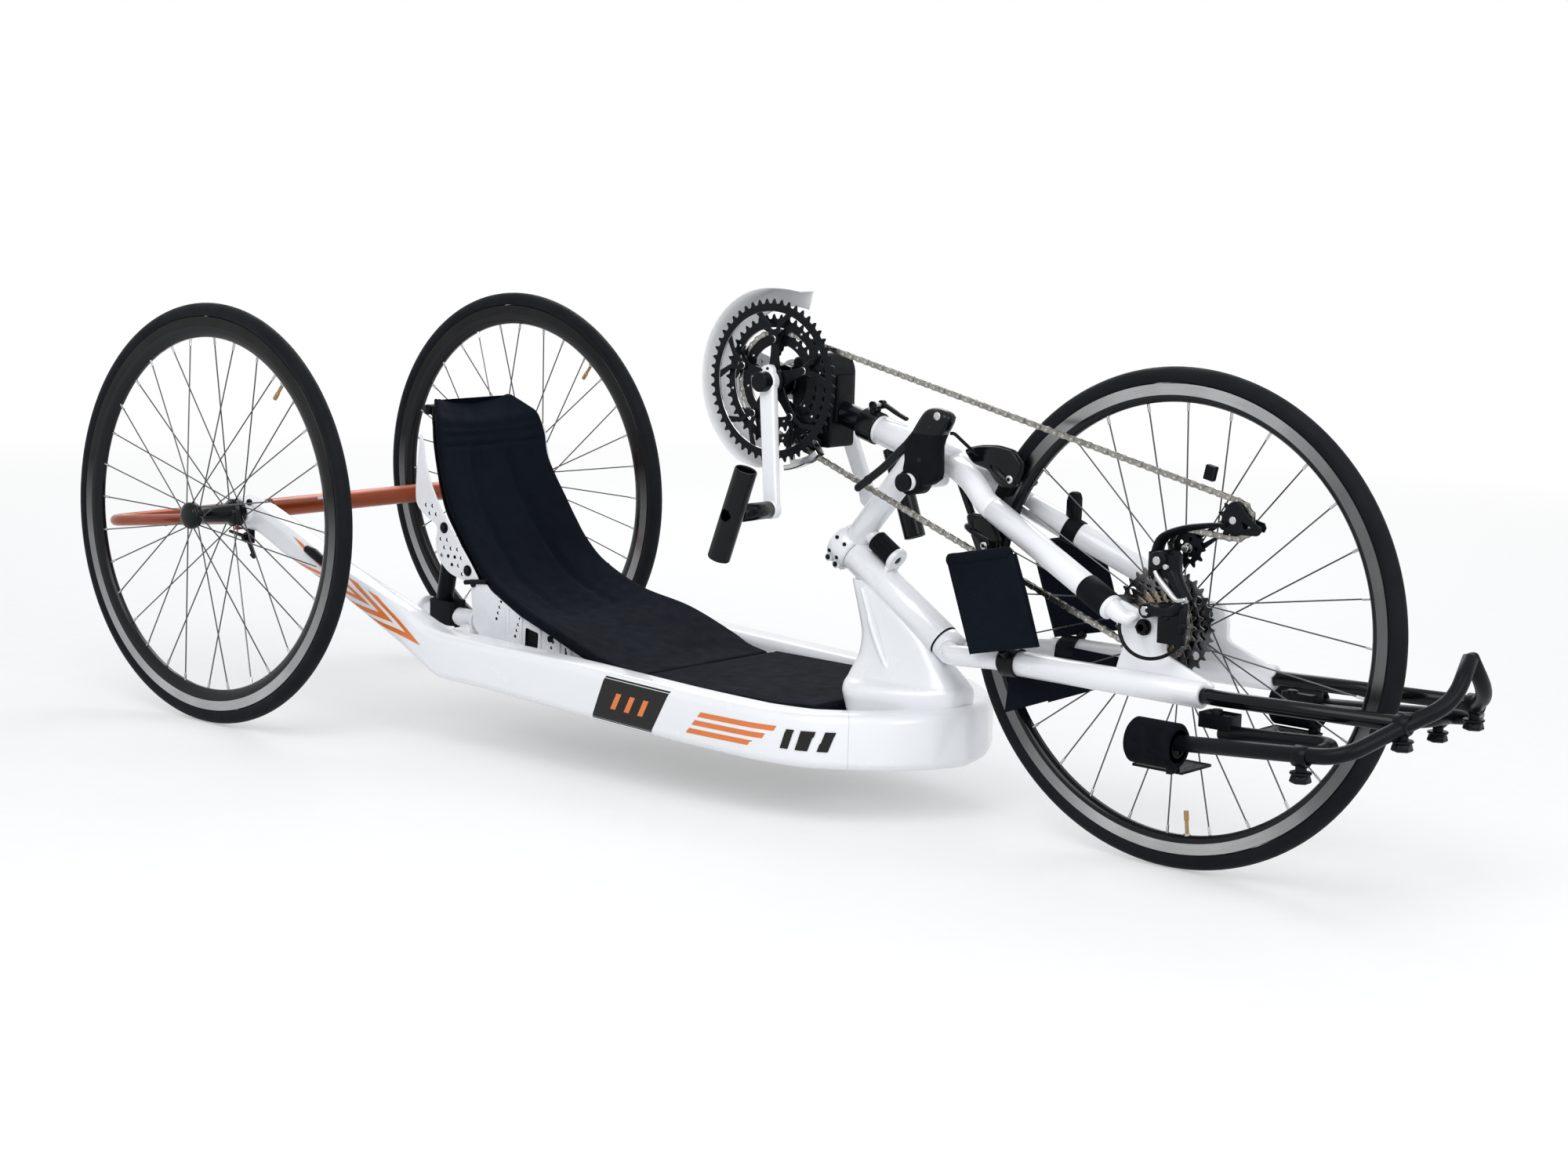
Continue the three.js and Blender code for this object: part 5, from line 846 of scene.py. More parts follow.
def axle_and_bumper():
    half = SPREAD - 0.92 * RAIL_WIDTH / 2 - 0.3
    parts = [pin((0, AXLE_HEIGHT), -half, half, 13.9, sides=48)]
    for side in (-1, 1):
        end = TRACK / 2 + 36
        rise = (end - TRACK / 2) * tan(CAMBER)
        start_rise = (half - TRACK / 2) * tan(CAMBER)
        parts.append(rod((0, side * (half - 4), AXLE_HEIGHT + start_rise), (0, side * end, AXLE_HEIGHT + rise), 6.3,
                         sides=24, finish=1))
    dress("axle_tube", parts, [orange_metal, steel_bright], "frame")
    rear = RAIL_SHARES[0][0] * NOSE
    top = AXLE_HEIGHT - 56.5 / 3
    corners = []
    for side in (-1, 1):
        leg = [point(rear - 0.3, side * BUMPER_ASIDE, top), point(rear - 25.5, side * BUMPER_ASIDE, top),
               point(-371.9, side * BUMPER_ASIDE, AXLE_HEIGHT - 56.8)]
        corners += leg if side < 0 else leg[::-1]
    parts = [tube(bends(corners, 62, 10), 8.4, 28)]
    for side in (-1, 1):
        parts.append(block((rear - 6, side * BUMPER_ASIDE - 13, top - 13),
                           (rear - 0.5, side * BUMPER_ASIDE + 13, top + 13), 2.5))
        for share in (0.35, 0.5):
            drop = corners[1].lerp(corners[2], share) if side < 0 else corners[4].lerp(corners[3], share)
            parts.append(rod(drop - UP * 9.6, drop - UP * 7, 3.2, sides=14, finish=1))
    dress("rear_bumper", parts, [orange_metal, black_satin], "frame")


axle_and_bumper()


def parking_brake():
    pivot = point(-8, -BRAKE_ASIDE, 263)
    arm = bends([(-48, -BRAKE_ASIDE, 268), pivot, (8, -BRAKE_ASIDE, 236)], 8, 6)
    count = len(arm)
    radii = [2.6 + 1.8 * sin(pi * k / (count - 1)) for k in range(count)]
    parts = [tube(arm, radii, 18, flat=0.9), rod(pivot - ASIDE * 3.9, pivot + ASIDE * 3.9, 7.9, sides=32,
                                                 chamfer=1.0),
             rod(point(8, -BRAKE_ASIDE, 236) + point(-5, 0, 4), point(8, -BRAKE_ASIDE, 236) + point(1, 0, -1), 4.2,
                 3.4, sides=20)]
    dress("parking_brake_lever", parts, [black_gloss], "parking_brake")


parking_brake()

# ---------------------------------------------------------------- seat
# along and height, and half width, each as a share
SEAT_SHARES = [
    (0.151, 1.5764, 0.232), (0.1659, 1.5205, 0.29), (0.1755, 1.478, 0.319), (0.1824, 1.379, 0.335),
    (0.1866, 1.281, 0.335), (0.1956, 1.182, 0.35), (0.2073, 1.084, 0.3645), (0.2225, 0.985, 0.3645),
    (0.2391, 0.887, 0.368), (0.2626, 0.788, 0.384), (0.3096, 0.6897, 0.4065), (0.3656, 0.624, 0.455),
    (0.4216, 0.535, 0.46), (0.4492, 0.496, 0.435), (0.4768, 0.476, 0.42),
]
RAISE, THICK, EDGE, GAP, SHEET, BOWL = 16.0, 27.0, 15.0, 1.6, 3.0, 0.62
CROSS_SEAMS = (0.098, 0.122, 0.146)
LONG_SEAM = 0.36
PAD_SIDE = [(694, 142), (940, 141), (983, 122)]
PAD_REAR, PAD_LENGTH = PAD_SIDE[0][0], PAD_SIDE[-1][0] - PAD_SIDE[0][0]
PAD_LOW, PAD_TOP = 131.2, 146.0
SHELL_HALF, SHELL_TOP = 120.2, 130.7
SEAT_PATH = curved([point(a * WHEELBASE, h * TRACK / 2, z * WHEEL_RADIUS) for a, z, h in SEAT_SHARES], 24)


SEAT_LENGTHS = running(SEAT_PATH)


def seat_spot(share):
    wanted = min(max(share, 0), 1) * SEAT_LENGTHS[-1]
    k = 0
    while k + 2 < len(SEAT_LENGTHS) and SEAT_LENGTHS[k + 1] < wanted:
        k += 1
    step = SEAT_LENGTHS[k + 1] - SEAT_LENGTHS[k]
    return SEAT_PATH[k].lerp(SEAT_PATH[k + 1], (wanted - SEAT_LENGTHS[k]) / step)


def bowl(share):
    knots = (-1, -0.6, 0, 0.6, 1)
    k = max(1, next(n for n, knot in enumerate(knots) if knot >= share - 1e-9))
    part = (share - knots[k - 1]) / (knots[k] - knots[k - 1])
    straight = knots[k - 1] ** 2 * (1 - part) + knots[k] ** 2 * part
    return 0.35 * straight + 0.65 * share ** 2


def flatten(row):
    return max(0.0, 1 - max(0.0, row - BOWL) / (1 - BOWL))


def dish(share, row):
    return RAISE * (1 - bowl(share)) * flatten(row)


def cushion_base(share, row):
    return dish(share, row) + EDGE + (THICK - EDGE) * (1 - bowl(share)) * flatten(row)


def seat_grid(columns, rows, depth_of, half_limit=None):
    grid = []
    for row in rows:
        spot = seat_spot(row)
        tangent = seat_spot(row + 0.05) - seat_spot(row - 0.05)
        tangent.y = 0
        normal = -(ASIDE.cross(tangent.normalized()))
        ring = []
        for share in columns:
            y = share * spot.y
            if half_limit:
                y = max(-half_limit, min(half_limit, y))
            ring.append(point(spot.x, y, spot.z) - normal * depth_of(y / spot.y, row))
        grid.append(ring)
    return grid


def slab(upper, lower):
    """Closed skin between an upper and a lower grid: each row becomes one ring"""
    return skin([top + low[::-1] for top, low in zip(upper, lower)])


def dent(value, centre, width):
    """1 at the centre and 0 beyond the width, smoothly"""
    t = abs(value - centre) / width
    return (1 + cos(pi * t)) / 2 if t < 1 else 0.0


def rounding(inward, radius):
    """Depth of a rounded edge at a distance inward from it"""
    return radius - sqrt(max(0.0, radius ** 2 - (radius - inward) ** 2)) if inward < radius else 0.0


def edge_round(share, half, radius):
    return rounding((1 - abs(share)) * half, radius)


def from_ends(row):
    return min(row, 1 - row) * SEAT_LENGTHS[-1]


def cushion_top(share, row):
    half = seat_spot(row).y
    depth = dish(share, row) + edge_round(share, half, 6.5)
    for seam in CROSS_SEAMS:
        depth += 3.0 * dent(row, seam, 0.008) * min(1.0, (1 - abs(share)) * 9)
    if row > CROSS_SEAMS[-1]:
        fade = min(1.0, (row - CROSS_SEAMS[-1]) / 0.04) * min(1.0, (0.68 - row) / 0.2) if row < 0.68 else 0.0
        bend = LONG_SEAM + 0.05 * sin((row - 0.2) * 5)
        depth += fade * 4.6 * dent(abs(share), bend, 0.11)
        depth -= fade * 2.6 * cos(pi * share / (2 * bend)) if abs(share) < bend else 0.0
        depth -= fade * 2.0 * sin(pi * (abs(share) - bend) / (1 - bend)) if bend < abs(share) < 1 else 0.0
    crease = exp(-((row - 0.60) / 0.09) ** 2)
    depth += crease * 0.9 * sin(row * 150 + 5 * share) * (1 - share ** 2)
    depth += 0.5 * sin(row * 47 + 3 * sin(share * 4)) * (1 - share ** 2)
    return depth + rounding(from_ends(row), 6)


def cushion_low(share, row):
    depth = cushion_base(share, row) - edge_round(share, seat_spot(row).y, 4.0)
    return depth - rounding(from_ends(row), 4)


def fine_steps(count, ends=(0.0, 1.0)):
    """Even steps, with closer ones near both ends"""
    low, high = ends
    extra = [0.0015, 0.004, 0.008, 0.013]
    shares = sorted(set([k / count for k in range(count + 1)] + extra + [1 - e for e in extra]))
    return [low + (high - low) * s for s in shares]


def seat():
    columns = fine_steps(64, (-1.0, 1.0))
    rows = fine_steps(150)
    parts = [slab(seat_grid(columns, rows, cushion_top), seat_grid(columns, rows, cushion_low))]
    along, across = [k / 90 for k in range(91)], [k / 30 for k in range(-30, 31)]
    loops = [[ring[0] for ring in seat_grid([edge], along, lambda s, r: dish(s, r) + 7.5)]
             for edge in (-0.997, 0.997)]
    loops.append(seat_grid(across, [0.0], lambda s, r: dish(s, r) + 7.5)[0])
    loops.append(seat_grid(across, [1.0], lambda s, r: dish(s, r) + 6.0)[0])
    for loop in loops:
        parts.append(tube(loop, 2.3, 10, chamfer=0, finish=1))
    cushion = dress("back_cushion", parts, [seat_cloth, piping_cloth], "frame", smooth=60)

    def pad_half(x):
        for (a, ya), (b, yb) in zip(PAD_SIDE, PAD_SIDE[1:]):
            if x <= b:
                return ya + (yb - ya) * (x - a) / (b - a)
        return PAD_SIDE[-1][1]

    rings = []
    for step in fine_steps(60):
        x = PAD_REAR + PAD_LENGTH * step
        half = pad_half(x)
        trim = rounding(min(step, 1 - step) * PAD_LENGTH, 5)
        top = []
        bottom = []
        for share in fine_steps(48, (-1.0, 1.0)):
            drop = max(edge_round(share, half, 5.5), trim)
            crown = 0.9 * sin(step * 23 + 2 * share) * (1 - share ** 2) + 1.2
            seam = 2.2 * dent(abs(share), 0.93, 0.02)
            top.append(point(x, share * half, PAD_TOP - drop - crown * 0.35 - seam))
            bottom.append(point(x, share * half, PAD_LOW + drop * 0.7))
        rings.append(top + bottom[::-1])
    outline = [(x, -y) for x, y in PAD_SIDE] + PAD_SIDE[::-1]
    edge = softened(outline, 8)
    loop = [point(x, y, 139.5) for x, y in edge]
    front = dress("front_cushion", [skin(rings), tube(loop, 2.0, 10, chamfer=0, finish=1)],
                  [seat_cloth, piping_cloth], "frame", smooth=60)


seat()


def seat_shell():
    def shell_top(share, row):
        return cushion_base(share, row) + GAP

    columns = [k / 12 for k in range(-12, 13)]
    rows = [k / 60 for k in range(61)]
    upper = seat_grid(columns, rows, shell_top, SHELL_HALF)
    lower = seat_grid(columns, rows, lambda s, r: shell_top(s, r) + SHEET, SHELL_HALF)
    for x in (698, 983):
        upper.append([point(x, share * SHELL_HALF, SHELL_TOP) for share in columns])
        lower.append([point(x, share * SHELL_HALF, SHELL_TOP - SHEET) for share in columns])
    parts = [slab(upper, lower)]
    bar = point(0.5 * WHEELBASE, 0, 0.39 * WHEEL_RADIUS)
    parts.append(rod(bar - ASIDE * 152, bar + ASIDE * 152, 9, finish=1))
    bracket = [(221, -66, 440), (192, -66, 462), (192, 66, 462), (221, 66, 440)]
    parts.append(tube(bends(bracket, 15), 4.8, 20, finish=1))
    for side in (-1, 1):
        parts.append(pin((196, 459), side * 60, side * 74, 7.5, sides=24, finish=1))
    dress("seat_shell", parts, [hood_rubber, black_satin], "frame", smooth=50)


seat_shell()
UPPER_PLATE = [
    (0.164, 1.425), (0.158, 1.182), (0.1583, 1.077), (0.1728, 1.025), (0.1914, 0.992), (0.1866, 0.903),
    (0.1928, 0.8276), (0.2073, 0.772), (0.2398, 0.739), (0.2500, 0.762), (0.233, 0.86), (0.212, 0.969),
    (0.192, 1.084), (0.179, 1.189), (0.171, 1.287), (0.168, 1.379),
]
SKIRT = [
    (0.2384, 0.729), (0.2543, 0.775), (0.2668, 0.722), (0.3096, 0.627), (0.3386, 0.59), (0.3656, 0.545),
    (0.3974, 0.49), (0.4147, 0.462), (0.4147, 0.368), (0.3248, 0.368), (0.2764, 0.394), (0.2433, 0.542),
]


def at_seat(share):
    return (share[0] * WHEELBASE, share[1] * WHEEL_RADIUS)


def inside(outline, x, z, margin):
    """True if a spot lies in the outline, at least margin from its edge"""
    hit = False
    count = len(outline)
    for k in range(count):
        (ax, az), (bx, bz) = outline[k], outline[(k + 1) % count]
        if (az > z) != (bz > z) and x < (bx - ax) * (z - az) / (bz - az) + ax:
            hit = not hit
        edge = Vector((bx - ax, bz - az))
        share = max(0, min(1, Vector((x - ax, z - az)).dot(edge) / edge.length_squared))
        if (Vector((ax, az)) + edge * share - Vector((x, z))).length < margin:
            return False
    return hit


def seat_plates():
    low, high = -123.9, -121.1
    outline = softened([at_seat(s) for s in UPPER_PLATE], 14)
    holes = []
    for row in range(26):
        for column in range(10):
            x = 222 + column * 13.5 + (row % 2) * 6.7 + row * 1.1
            z = 352 - row * 11.5
            near_bolt = min(hypot(x - bx, z - bz)
                            for bx, bz in (at_seat((0.2, 0.985)), at_seat((0.2343, 0.8)))) < 12
            if inside(outline, x, z, 7.0) and not near_bolt and z < 330:
                holes.append(round_loop(x, z, 2.5, 10))
    skirt = softened([at_seat(s) for s in SKIRT], 6)
    windows = [softened([(457, 150), (481, 146), (483, 172), (458, 177)], 3),
               [(535, 126), (539, 125), (539.5, 158), (536, 159)]]
    dots = [round_loop(x - 3 * k, z - 8.6 * k, 2.0, 8) for x, z in ((408, 208), (446, 188), (512, 164))
            for k in range(4)]
    parts = [plate(outline, low, high, holes, 0.3, wall=1), plate(skirt, low, high, windows + dots, 0.4, wall=1)]
    for x, bottom, top in ((424, 122, 199), (451, 118, 190), (488, 114, 178), (526, 112, 166), (548, 112, 158)):
        parts.append(block((x - 2, low - 3.6, bottom), (x + 2, low + 0.5, top), 0.9))
    for share in ((0.2, 0.985), (0.2343, 0.8)):
        x, z = at_seat(share)
        parts += [pin((x, z), low - 1.1, low + 0.3, 8.0, sides=28, finish=1),
                  pin((x, z), low - 4.0, low - 1, 4.9, 5.0, sides=24, chamfer=0.8, finish=1)]
    for x, z in ((508, 168), (574, 142), (352, 226)):
        parts.append(pin((x, z), low - 3.4, low + 0.3, 4.6, sides=18, finish=1))
    parts.append(plate([(457, 148), (483, 144), (485, 174), (456, 179)], -120.9, -120.0, finish=1))
    for side, name in SIDES:
        dress(f"seat_plate_{name}", [aside(p, side) for p in parts], [paint_clear, black_satin], "frame",
              smooth=30)
    y = -106
    rail_parts = [
        rod((238, y, 172), (392, y, 170), 13, sides=36),
        rod((234, y, 172), (238.5, y, 172), 21, sides=44, chamfer=1.0),
        sleeve((232.6, y, 172), (235, y, 172), 9, 3.5, finish=1),
        rod((340, y, 171), (345, y, 171), 17, sides=40, chamfer=1.0),
        rod((378, y, 170), (391.9, y, 170), 10.5, finish=1),
        rod((267, y, 165), (286, y, 262), 12.4, sides=36, chamfer=1.5, finish=1),
        block((254, y - 14.5, 158), (304, y + 14.5, 193), 5, finish=1),
        plate([(334, 176), (352, 172), (392, 218), (372, 228)], y - 12, y + 12, chamfer=1.2),
        tube([(333, -123, 226), (350, -124, 229), (378, -124, 232)], 3.6, 14, finish=1),
        pin((336, 153), y, -193, 10, sides=30), pin((336, 153), -120, -128, 12.5, sides=30),
    ]
    for side, name in SIDES:
        dress(f"seat_rail_{name}", [aside(p, side) for p in rail_parts], [paint_clear, black_satin], "frame")


seat_plates()


def damper():
    """Rubber drum with shallow ribs along it"""
    start = on_head(16, DAMPER_RISE)
    across, other = frame_of(HEAD_ALONG)
    rings = []
    for t, trim in ((0, 1.6), (0.8, 0.6), (1.6, 0), (34.4, 0), (35.2, 0.6), (36, 1.6)):
        ring = []
        for k in range(96):
            turn = k / 96 * TURN
            radius = 14.3 - trim - (0.5 if k % 8 == 0 else 0.0)
            ring.append(start + HEAD_ALONG * t + across * (radius * cos(turn)) + other * (radius * sin(turn)))
        rings.append(ring)
    dress("steering_damper", [skin(rings)], [hood_rubber], "frame", smooth=30)


damper()
for name in ("headset_upper", "headset_lower"):
    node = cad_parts[name]
    node.data.materials.clear()
    node.data.materials.append(black_satin)

# ---------------------------------------------------------------- fork
LOWER_START, LOWER_END = point(1237, 62.7, 232.6), point(1537, 81.4, 236)
KNEE, LEG_END = point(1180, 34, 421), point(1404, 77.7, 321)
BOOM_REAR, BOOM_FRONT = point(980, 0, 494), point(1102, 0, 461.5)
BOOM_ALONG = (BOOM_FRONT - BOOM_REAR).normalized()
BOOM_ABOVE = -(ASIDE.cross(BOOM_ALONG))


def on_side(spot, side):
    return point(spot.x, spot.y * side, spot.z)


def on_boom(along, above=0.0, aside_by=0.0):
    return BOOM_REAR + BOOM_ALONG * along + BOOM_ABOVE * above + ASIDE * aside_by


def fork_crown():
    top = HEAD_LENGTH + 0.3
    parts = [rod(on_head(-32), on_head(top + 12), 14.4, sides=40, finish=1),
             rod(on_head(top), on_head(top + 24), 21, sides=48, chamfer=2.5),
             rod(on_head(top + 23.8), on_head(top + 26), 9, sides=6, finish=1)]
    for side in (-1, 1):
        start, end = on_side(LOWER_START, side), on_side(LOWER_END, side)
        along = (end - start).normalized()
        parts += [tube(bends([(1108, 0, 223), (1140, side * 48, 225), start - along * 13, start - along * 0.3],
                             15.6), 13, 32),
                  sleeve(start - along * 2.2, start - along * 0.4, 14.4, 9, sides=36, finish=1)]
    dress("fork_crown", parts, [paint_white, black_satin], "fork", smooth=46)


fork_crown()


def boom_frame():
    parts = [rod(BOOM_REAR, BOOM_FRONT, 18.9, sides=48, chamfer=1.0),
             rod(BOOM_REAR - BOOM_ALONG * 0.1, BOOM_REAR + BOOM_ALONG * 4, 19.0, sides=48),
             rod((940, 0, 338), (1050, 0, 472), 17, sides=44),
             rod(on_head(-31.9), on_head(-0.5), 26, sides=52, chamfer=3.0),
             rod(on_head(-8, DAMPER_RISE), on_head(15.5, DAMPER_RISE), 10, sides=32),
             rod(on_head(-8, 30), on_head(2, 24), 9, sides=28),
             pin(STEM, -84.6, 0, 11, sides=32), pin(STEM, -84.9, -79, 11.8, sides=36, finish=1)]
    # clamp ears with two bolts behind the steerer
    for along in (-24, -9):
        parts += [rod(on_head(along, -22, -19), on_head(along, -22, 19), 5.6, sides=24),
                  rod(on_head(along, -22, -20.4), on_head(along, -22, -18), 3.9, sides=6, finish=1),
                  rod(on_head(along, -10, -25.5), on_head(along, -10, -22.5), 2.6, sides=14, finish=1),
                  rod(on_head(along, 12, -25.2), on_head(along, 12, -22.5), 2.6, sides=14, finish=1)]
    slit = [on_head(-31, -14), on_head(-2, -14), on_head(-2, -27), on_head(-31, -27)]
    parts += [plate([(p.x, p.z) for p in slit], -12.5, -1.2),
              plate([(p.x, p.z) for p in slit], 1.2, 12.5)]
    for side in (-1, 1):
        knee = on_side(KNEE, side)
        along = (on_side(LEG_END, side) - knee).normalized()
        arm = [BOOM_FRONT - BOOM_ALONG * 7.75, (1150, side * 24, 445), knee, knee + along * 15.5]
        parts.append(tube(bends(arm, 15.5), 15.5, 36))
    parts.append(tube([(1160, -13, 476), (1160, 13, 476)], 5, 20, finish=1))
    dress("boom_frame", parts, [paint_white, black_satin], "fork", smooth=46)


boom_frame()
DROPOUT = [
    (0.9627, 1.1), (0.9744, 1.09), (0.9952, 1.058), (1.0131, 1.051), (1.0193, 0.985), (1.0193, 0.903),
    (1.067, 0.8145), (1.0643, 0.7816), (0.971, 0.7816), (0.9758, 0.86), (0.9813, 0.936), (0.971, 1.0),
]


def fork_legs():
    outline = softened([at_seat(s) for s in DROPOUT], 9)
    for side, name in SIDES:
        knee, end = on_side(KNEE, side), on_side(LEG_END, side)
        along = (end - knee).normalized()
        start, stop = on_side(LOWER_START, side), on_side(LOWER_END, side)
        below = (stop - start).normalized()
        wrap = knee.lerp(end, 0.8)
        parts = [rod(knee + along * 15.9, end, 15.8, sides=44, chamfer=2.0),
                 rod(start, stop - below * 0.1, 15.7, sides=44, chamfer=1.4),
                 sleeve(wrap, wrap + along * 44, 17.1, 15.0, sides=44, chamfer=0.7, finish=1),
                 sleeve(stop - below * 1.4, stop, 15.0, 9.8, sides=40, chamfer=0.4),
                 aside(plate(outline, -73.9, -66.1, [round_loop(*HUB, 6.2, 24)], 1.2), side)]
        rear_shape = [end - along * 30 + UP * 6, end + along * 18, point(1440, end.y, 318)]
        parts.append(tube(curved(rear_shape, 6), [11, 12, 13, 12.5, 11.5, 10.5, 9.5, 8.5, 7.5, 6.5, 5.5, 4.5, 3.5],
                          28))
        dress(f"fork_leg_{name}", parts, [paint_white, hood_rubber], "fork", smooth=46)


fork_legs()


def front_axle():
    parts = [pin(HUB, -83.2, 83.2, 5, sides=28, finish=1)]
    for side in (-1, 1):
        parts += [pin(HUB, side * 74.4, side * 78, 10, sides=32, chamfer=0.8),
                  pin(HUB, side * 77.5, side * 83.2, 8.6, sides=6 if side < 0 else 28, chamfer=1.0)]
    lever = [(WHEELBASE, 79.3, WHEEL_RADIUS), (WHEELBASE - 9, 80.5, 288), (WHEELBASE - 24, 81.2, 268.6)]
    parts.append(tube(curved(lever, 6), [4.6] * 3 + [3.6] * 4 + [3.9] * 6, 20, flat=0.75))
    dress("front_axle", parts, [black_satin, steel_bright], "fork")


front_axle()


def boom_slide():
    outline = softened([(850, 487), (872, 465), (918, 465), (918, 568), (907, 590), (850, 579)], 7)
    slide_out = (980 - 918 + 25) / BOOM_ALONG.x
    parts = [rod(on_boom(-slide_out), on_boom(20), 15.6, sides=40),
             plate(outline, -25, 25, chamfer=2.2, finish=1),
             bush(SPINDLE, -34, 34, 20, 12.6, sides=48, chamfer=1.2),
             bush(SPINDLE, -34.0, -27, 20.6, 13.5, sides=12, chamfer=1.0),
             bush(SPINDLE, 27, 34.0, 20.6, 13.5, sides=12, chamfer=1.0)]
    for z in (489, 508):
        parts.append(pin((907, z), -26.8, -24, 4.4, sides=20))
    parts.append(block((914, -17, 500), (921.5, 17, 560), 3, finish=1))
    dress("boom_slide", parts, [black_gloss, black_cast], "fork")
    ear = -13.0
    parts = [sleeve(on_boom(-26), on_boom(-0.5), 21.5, 15.9, sides=44, chamfer=1.0),
             rod(on_boom(ear, 16, -5.5), on_boom(ear, 26.8, -5.5), 4.6, sides=24),
             rod(on_boom(ear, 16, 3.0), on_boom(ear, 26.8, 3.0), 4.6, sides=24),
             rod(on_boom(ear, 29, -11.8), on_boom(ear, 29, 11.8), 3.0, sides=20, finish=1),
             rod(on_boom(ear, 29, -12), on_boom(ear, 29, -7.5), 5.4, sides=20),
             rod(on_boom(ear, 22, -8.8), on_boom(ear, 28.5, -8.8), 3.4, sides=16)]
    dress("boom_collar", parts, [black_gloss, steel_bright], "fork")
    lever_y = 10.6
    path = [on_boom(ear - 1, 30, lever_y), on_boom(ear + 12, 28.4, lever_y), on_boom(ear + 28, 25.6, lever_y),
            on_boom(ear + 43.6, 24.0, lever_y)]
    parts = [tube(curved(path, 6), [5.2] * 5 + [4.8] * 7 + [4.4] * 7, 20, flat=0.6),
             rod(on_boom(ear, 29, 6.7), on_boom(ear, 29, 13.6), 5.8, sides=24)]
    dress("collar_lever", parts, [black_satin], "clamp_lever")


boom_slide()

# ---------------------------------------------------------------- cranks, rings, chain
CRANK = point(SPINDLE[0], 0, SPINDLE[1])
CRANK_LENGTH, CRANK_TILT, CRANK_FLARE = 167.0, radians(14.7), 35.0
ARM_ALONG = point(sin(CRANK_TILT), 0, -cos(CRANK_TILT))
ARM_ACROSS = point(cos(CRANK_TILT), 0, sin(CRANK_TILT))
PEDAL = CRANK + ARM_ALONG * CRANK_LENGTH
PEDAL_PIN = (PEDAL.x, PEDAL.z)
# chain pitch, and outline points for each tooth
PITCH, PER_TOOTH = 12.7, 8
FIVE_WAYS = [(k / 5 + 0.25) * TURN for k in range(5)]
CHAIN_PLANE = -43.0
HANDLE_OUTER, HANDLE_BORE, HANDLE_HALF, HANDLE_LEAN = 15.0, 12.0, 63.4, radians(20)


def pitch_radius(count):
    return PITCH / (2 * sin(pi / count))


def ring_spot(radius, angle, centre=SPINDLE):
    return (centre[0] + radius * cos(angle), centre[1] + radius * sin(angle))


def tooth_outline(centre, count, depth=7.2):
    """Sprocket outline: a round seat for each roller and a rounded tooth between"""
    pitch = pitch_radius(count)
    spots = []
    for k in range(count * PER_TOOTH):
        turn = k / PER_TOOTH
        wave = cos(TURN * turn)
        lift = (wave + 0.35 * cos(2 * TURN * turn) + 0.65) / 2
        spots.append(ring_spot(pitch - 3.9 + depth * max(0.0, min(0.91, lift)), turn / count * TURN, centre))
    return spots


def crank_arms():
    for side, name in SIDES:

        def out(along, proud):
            """Distance from the middle plane: the arm leans outward from its hub to its pedal pin"""
            return ASIDE * side * (proud + CRANK_FLARE * along / CRANK_LENGTH)

        rings = []
        for along, half, thick in ((-21.5, 4.5, 9), (-19.6, 8.6, 11), (-13, 12.2, 12), (8, 12.4, 12),
                                   (30, 12.3, 12), (90, 11.9, 11.6), (150, 11.5, 11), (164, 11.6, 11),
                                   (172, 9.2, 10.4), (176.5, 5.4, 9.2), (178.6, 2.0, 8)):
            spot = CRANK + ARM_ALONG * along + out(along, 65.0)
            rings.append([spot + ARM_ACROSS * across + ASIDE * up
                          for across, up in rounded(half * 2, thick, 3.4, 6)])
        parts = [skin(rings), rod(CRANK + out(0, 59), CRANK + out(0, 71), 15.4, sides=44, chamfer=1.6),
                 rod(CRANK + out(0, 70), CRANK + out(0, 84.8), 13.4, 13.0, sides=40, chamfer=1.2, finish=1),
                 rod(PEDAL + ASIDE * side * 94, PEDAL + ASIDE * side * 106.4, 12.3, sides=40, chamfer=1.5),
                 rod(PEDAL + ASIDE * side * 104, PEDAL + ASIDE * side * 161, 4.9, sides=24, finish=2)]
        for across in (-6.5, 4.5):
            spot = CRANK - ARM_ALONG * 16 + ARM_ACROSS * across
            parts.append(rod(spot + out(-16, 69), spot + out(-16, 72), 2.3, sides=16, finish=1))
        if side < 0:
            parts.append(pin(SPINDLE, -60, -51, 18.5, sides=40, chamfer=1.2, finish=1))
            for angle in FIVE_WAYS:
                across = Vector((-sin(angle), cos(angle)))
                loop = []
                for radius, half in ((10, 11), (30, 7.2), (50, 6.0), (58, 6.2), (61.5, 3.0)):
                    x, z = ring_spot(radius, angle)
                    loop.append((x, z, half))
                right = [(x + across.x * h, z + across.y * h) for x, z, h in loop]
                left = [(x - across.x * h, z - across.y * h) for x, z, h in reversed(loop)]
                parts.append(plate(right + left, -55.0, -51.1, chamfer=1.0, finish=1))
                x, z = ring_spot(37, angle)
                parts.append(pin((x, z), -51.2, -45.0, 5.0, sides=18, finish=1))
                x, z = ring_spot(55, angle)
                parts.append(pin((x, z), -59.9, -47.6, 4.4, sides=20, finish=1))
        else:
            parts += [pin(SPINDLE, -66, 64, 11.8, sides=32, finish=2),
                      pin(SPINDLE, 34.7, 59.5, 15.4, sides=36, finish=1)]
        dress(f"crank_{name}", parts, [paint_clear, black_satin, steel_bright], "cranks")


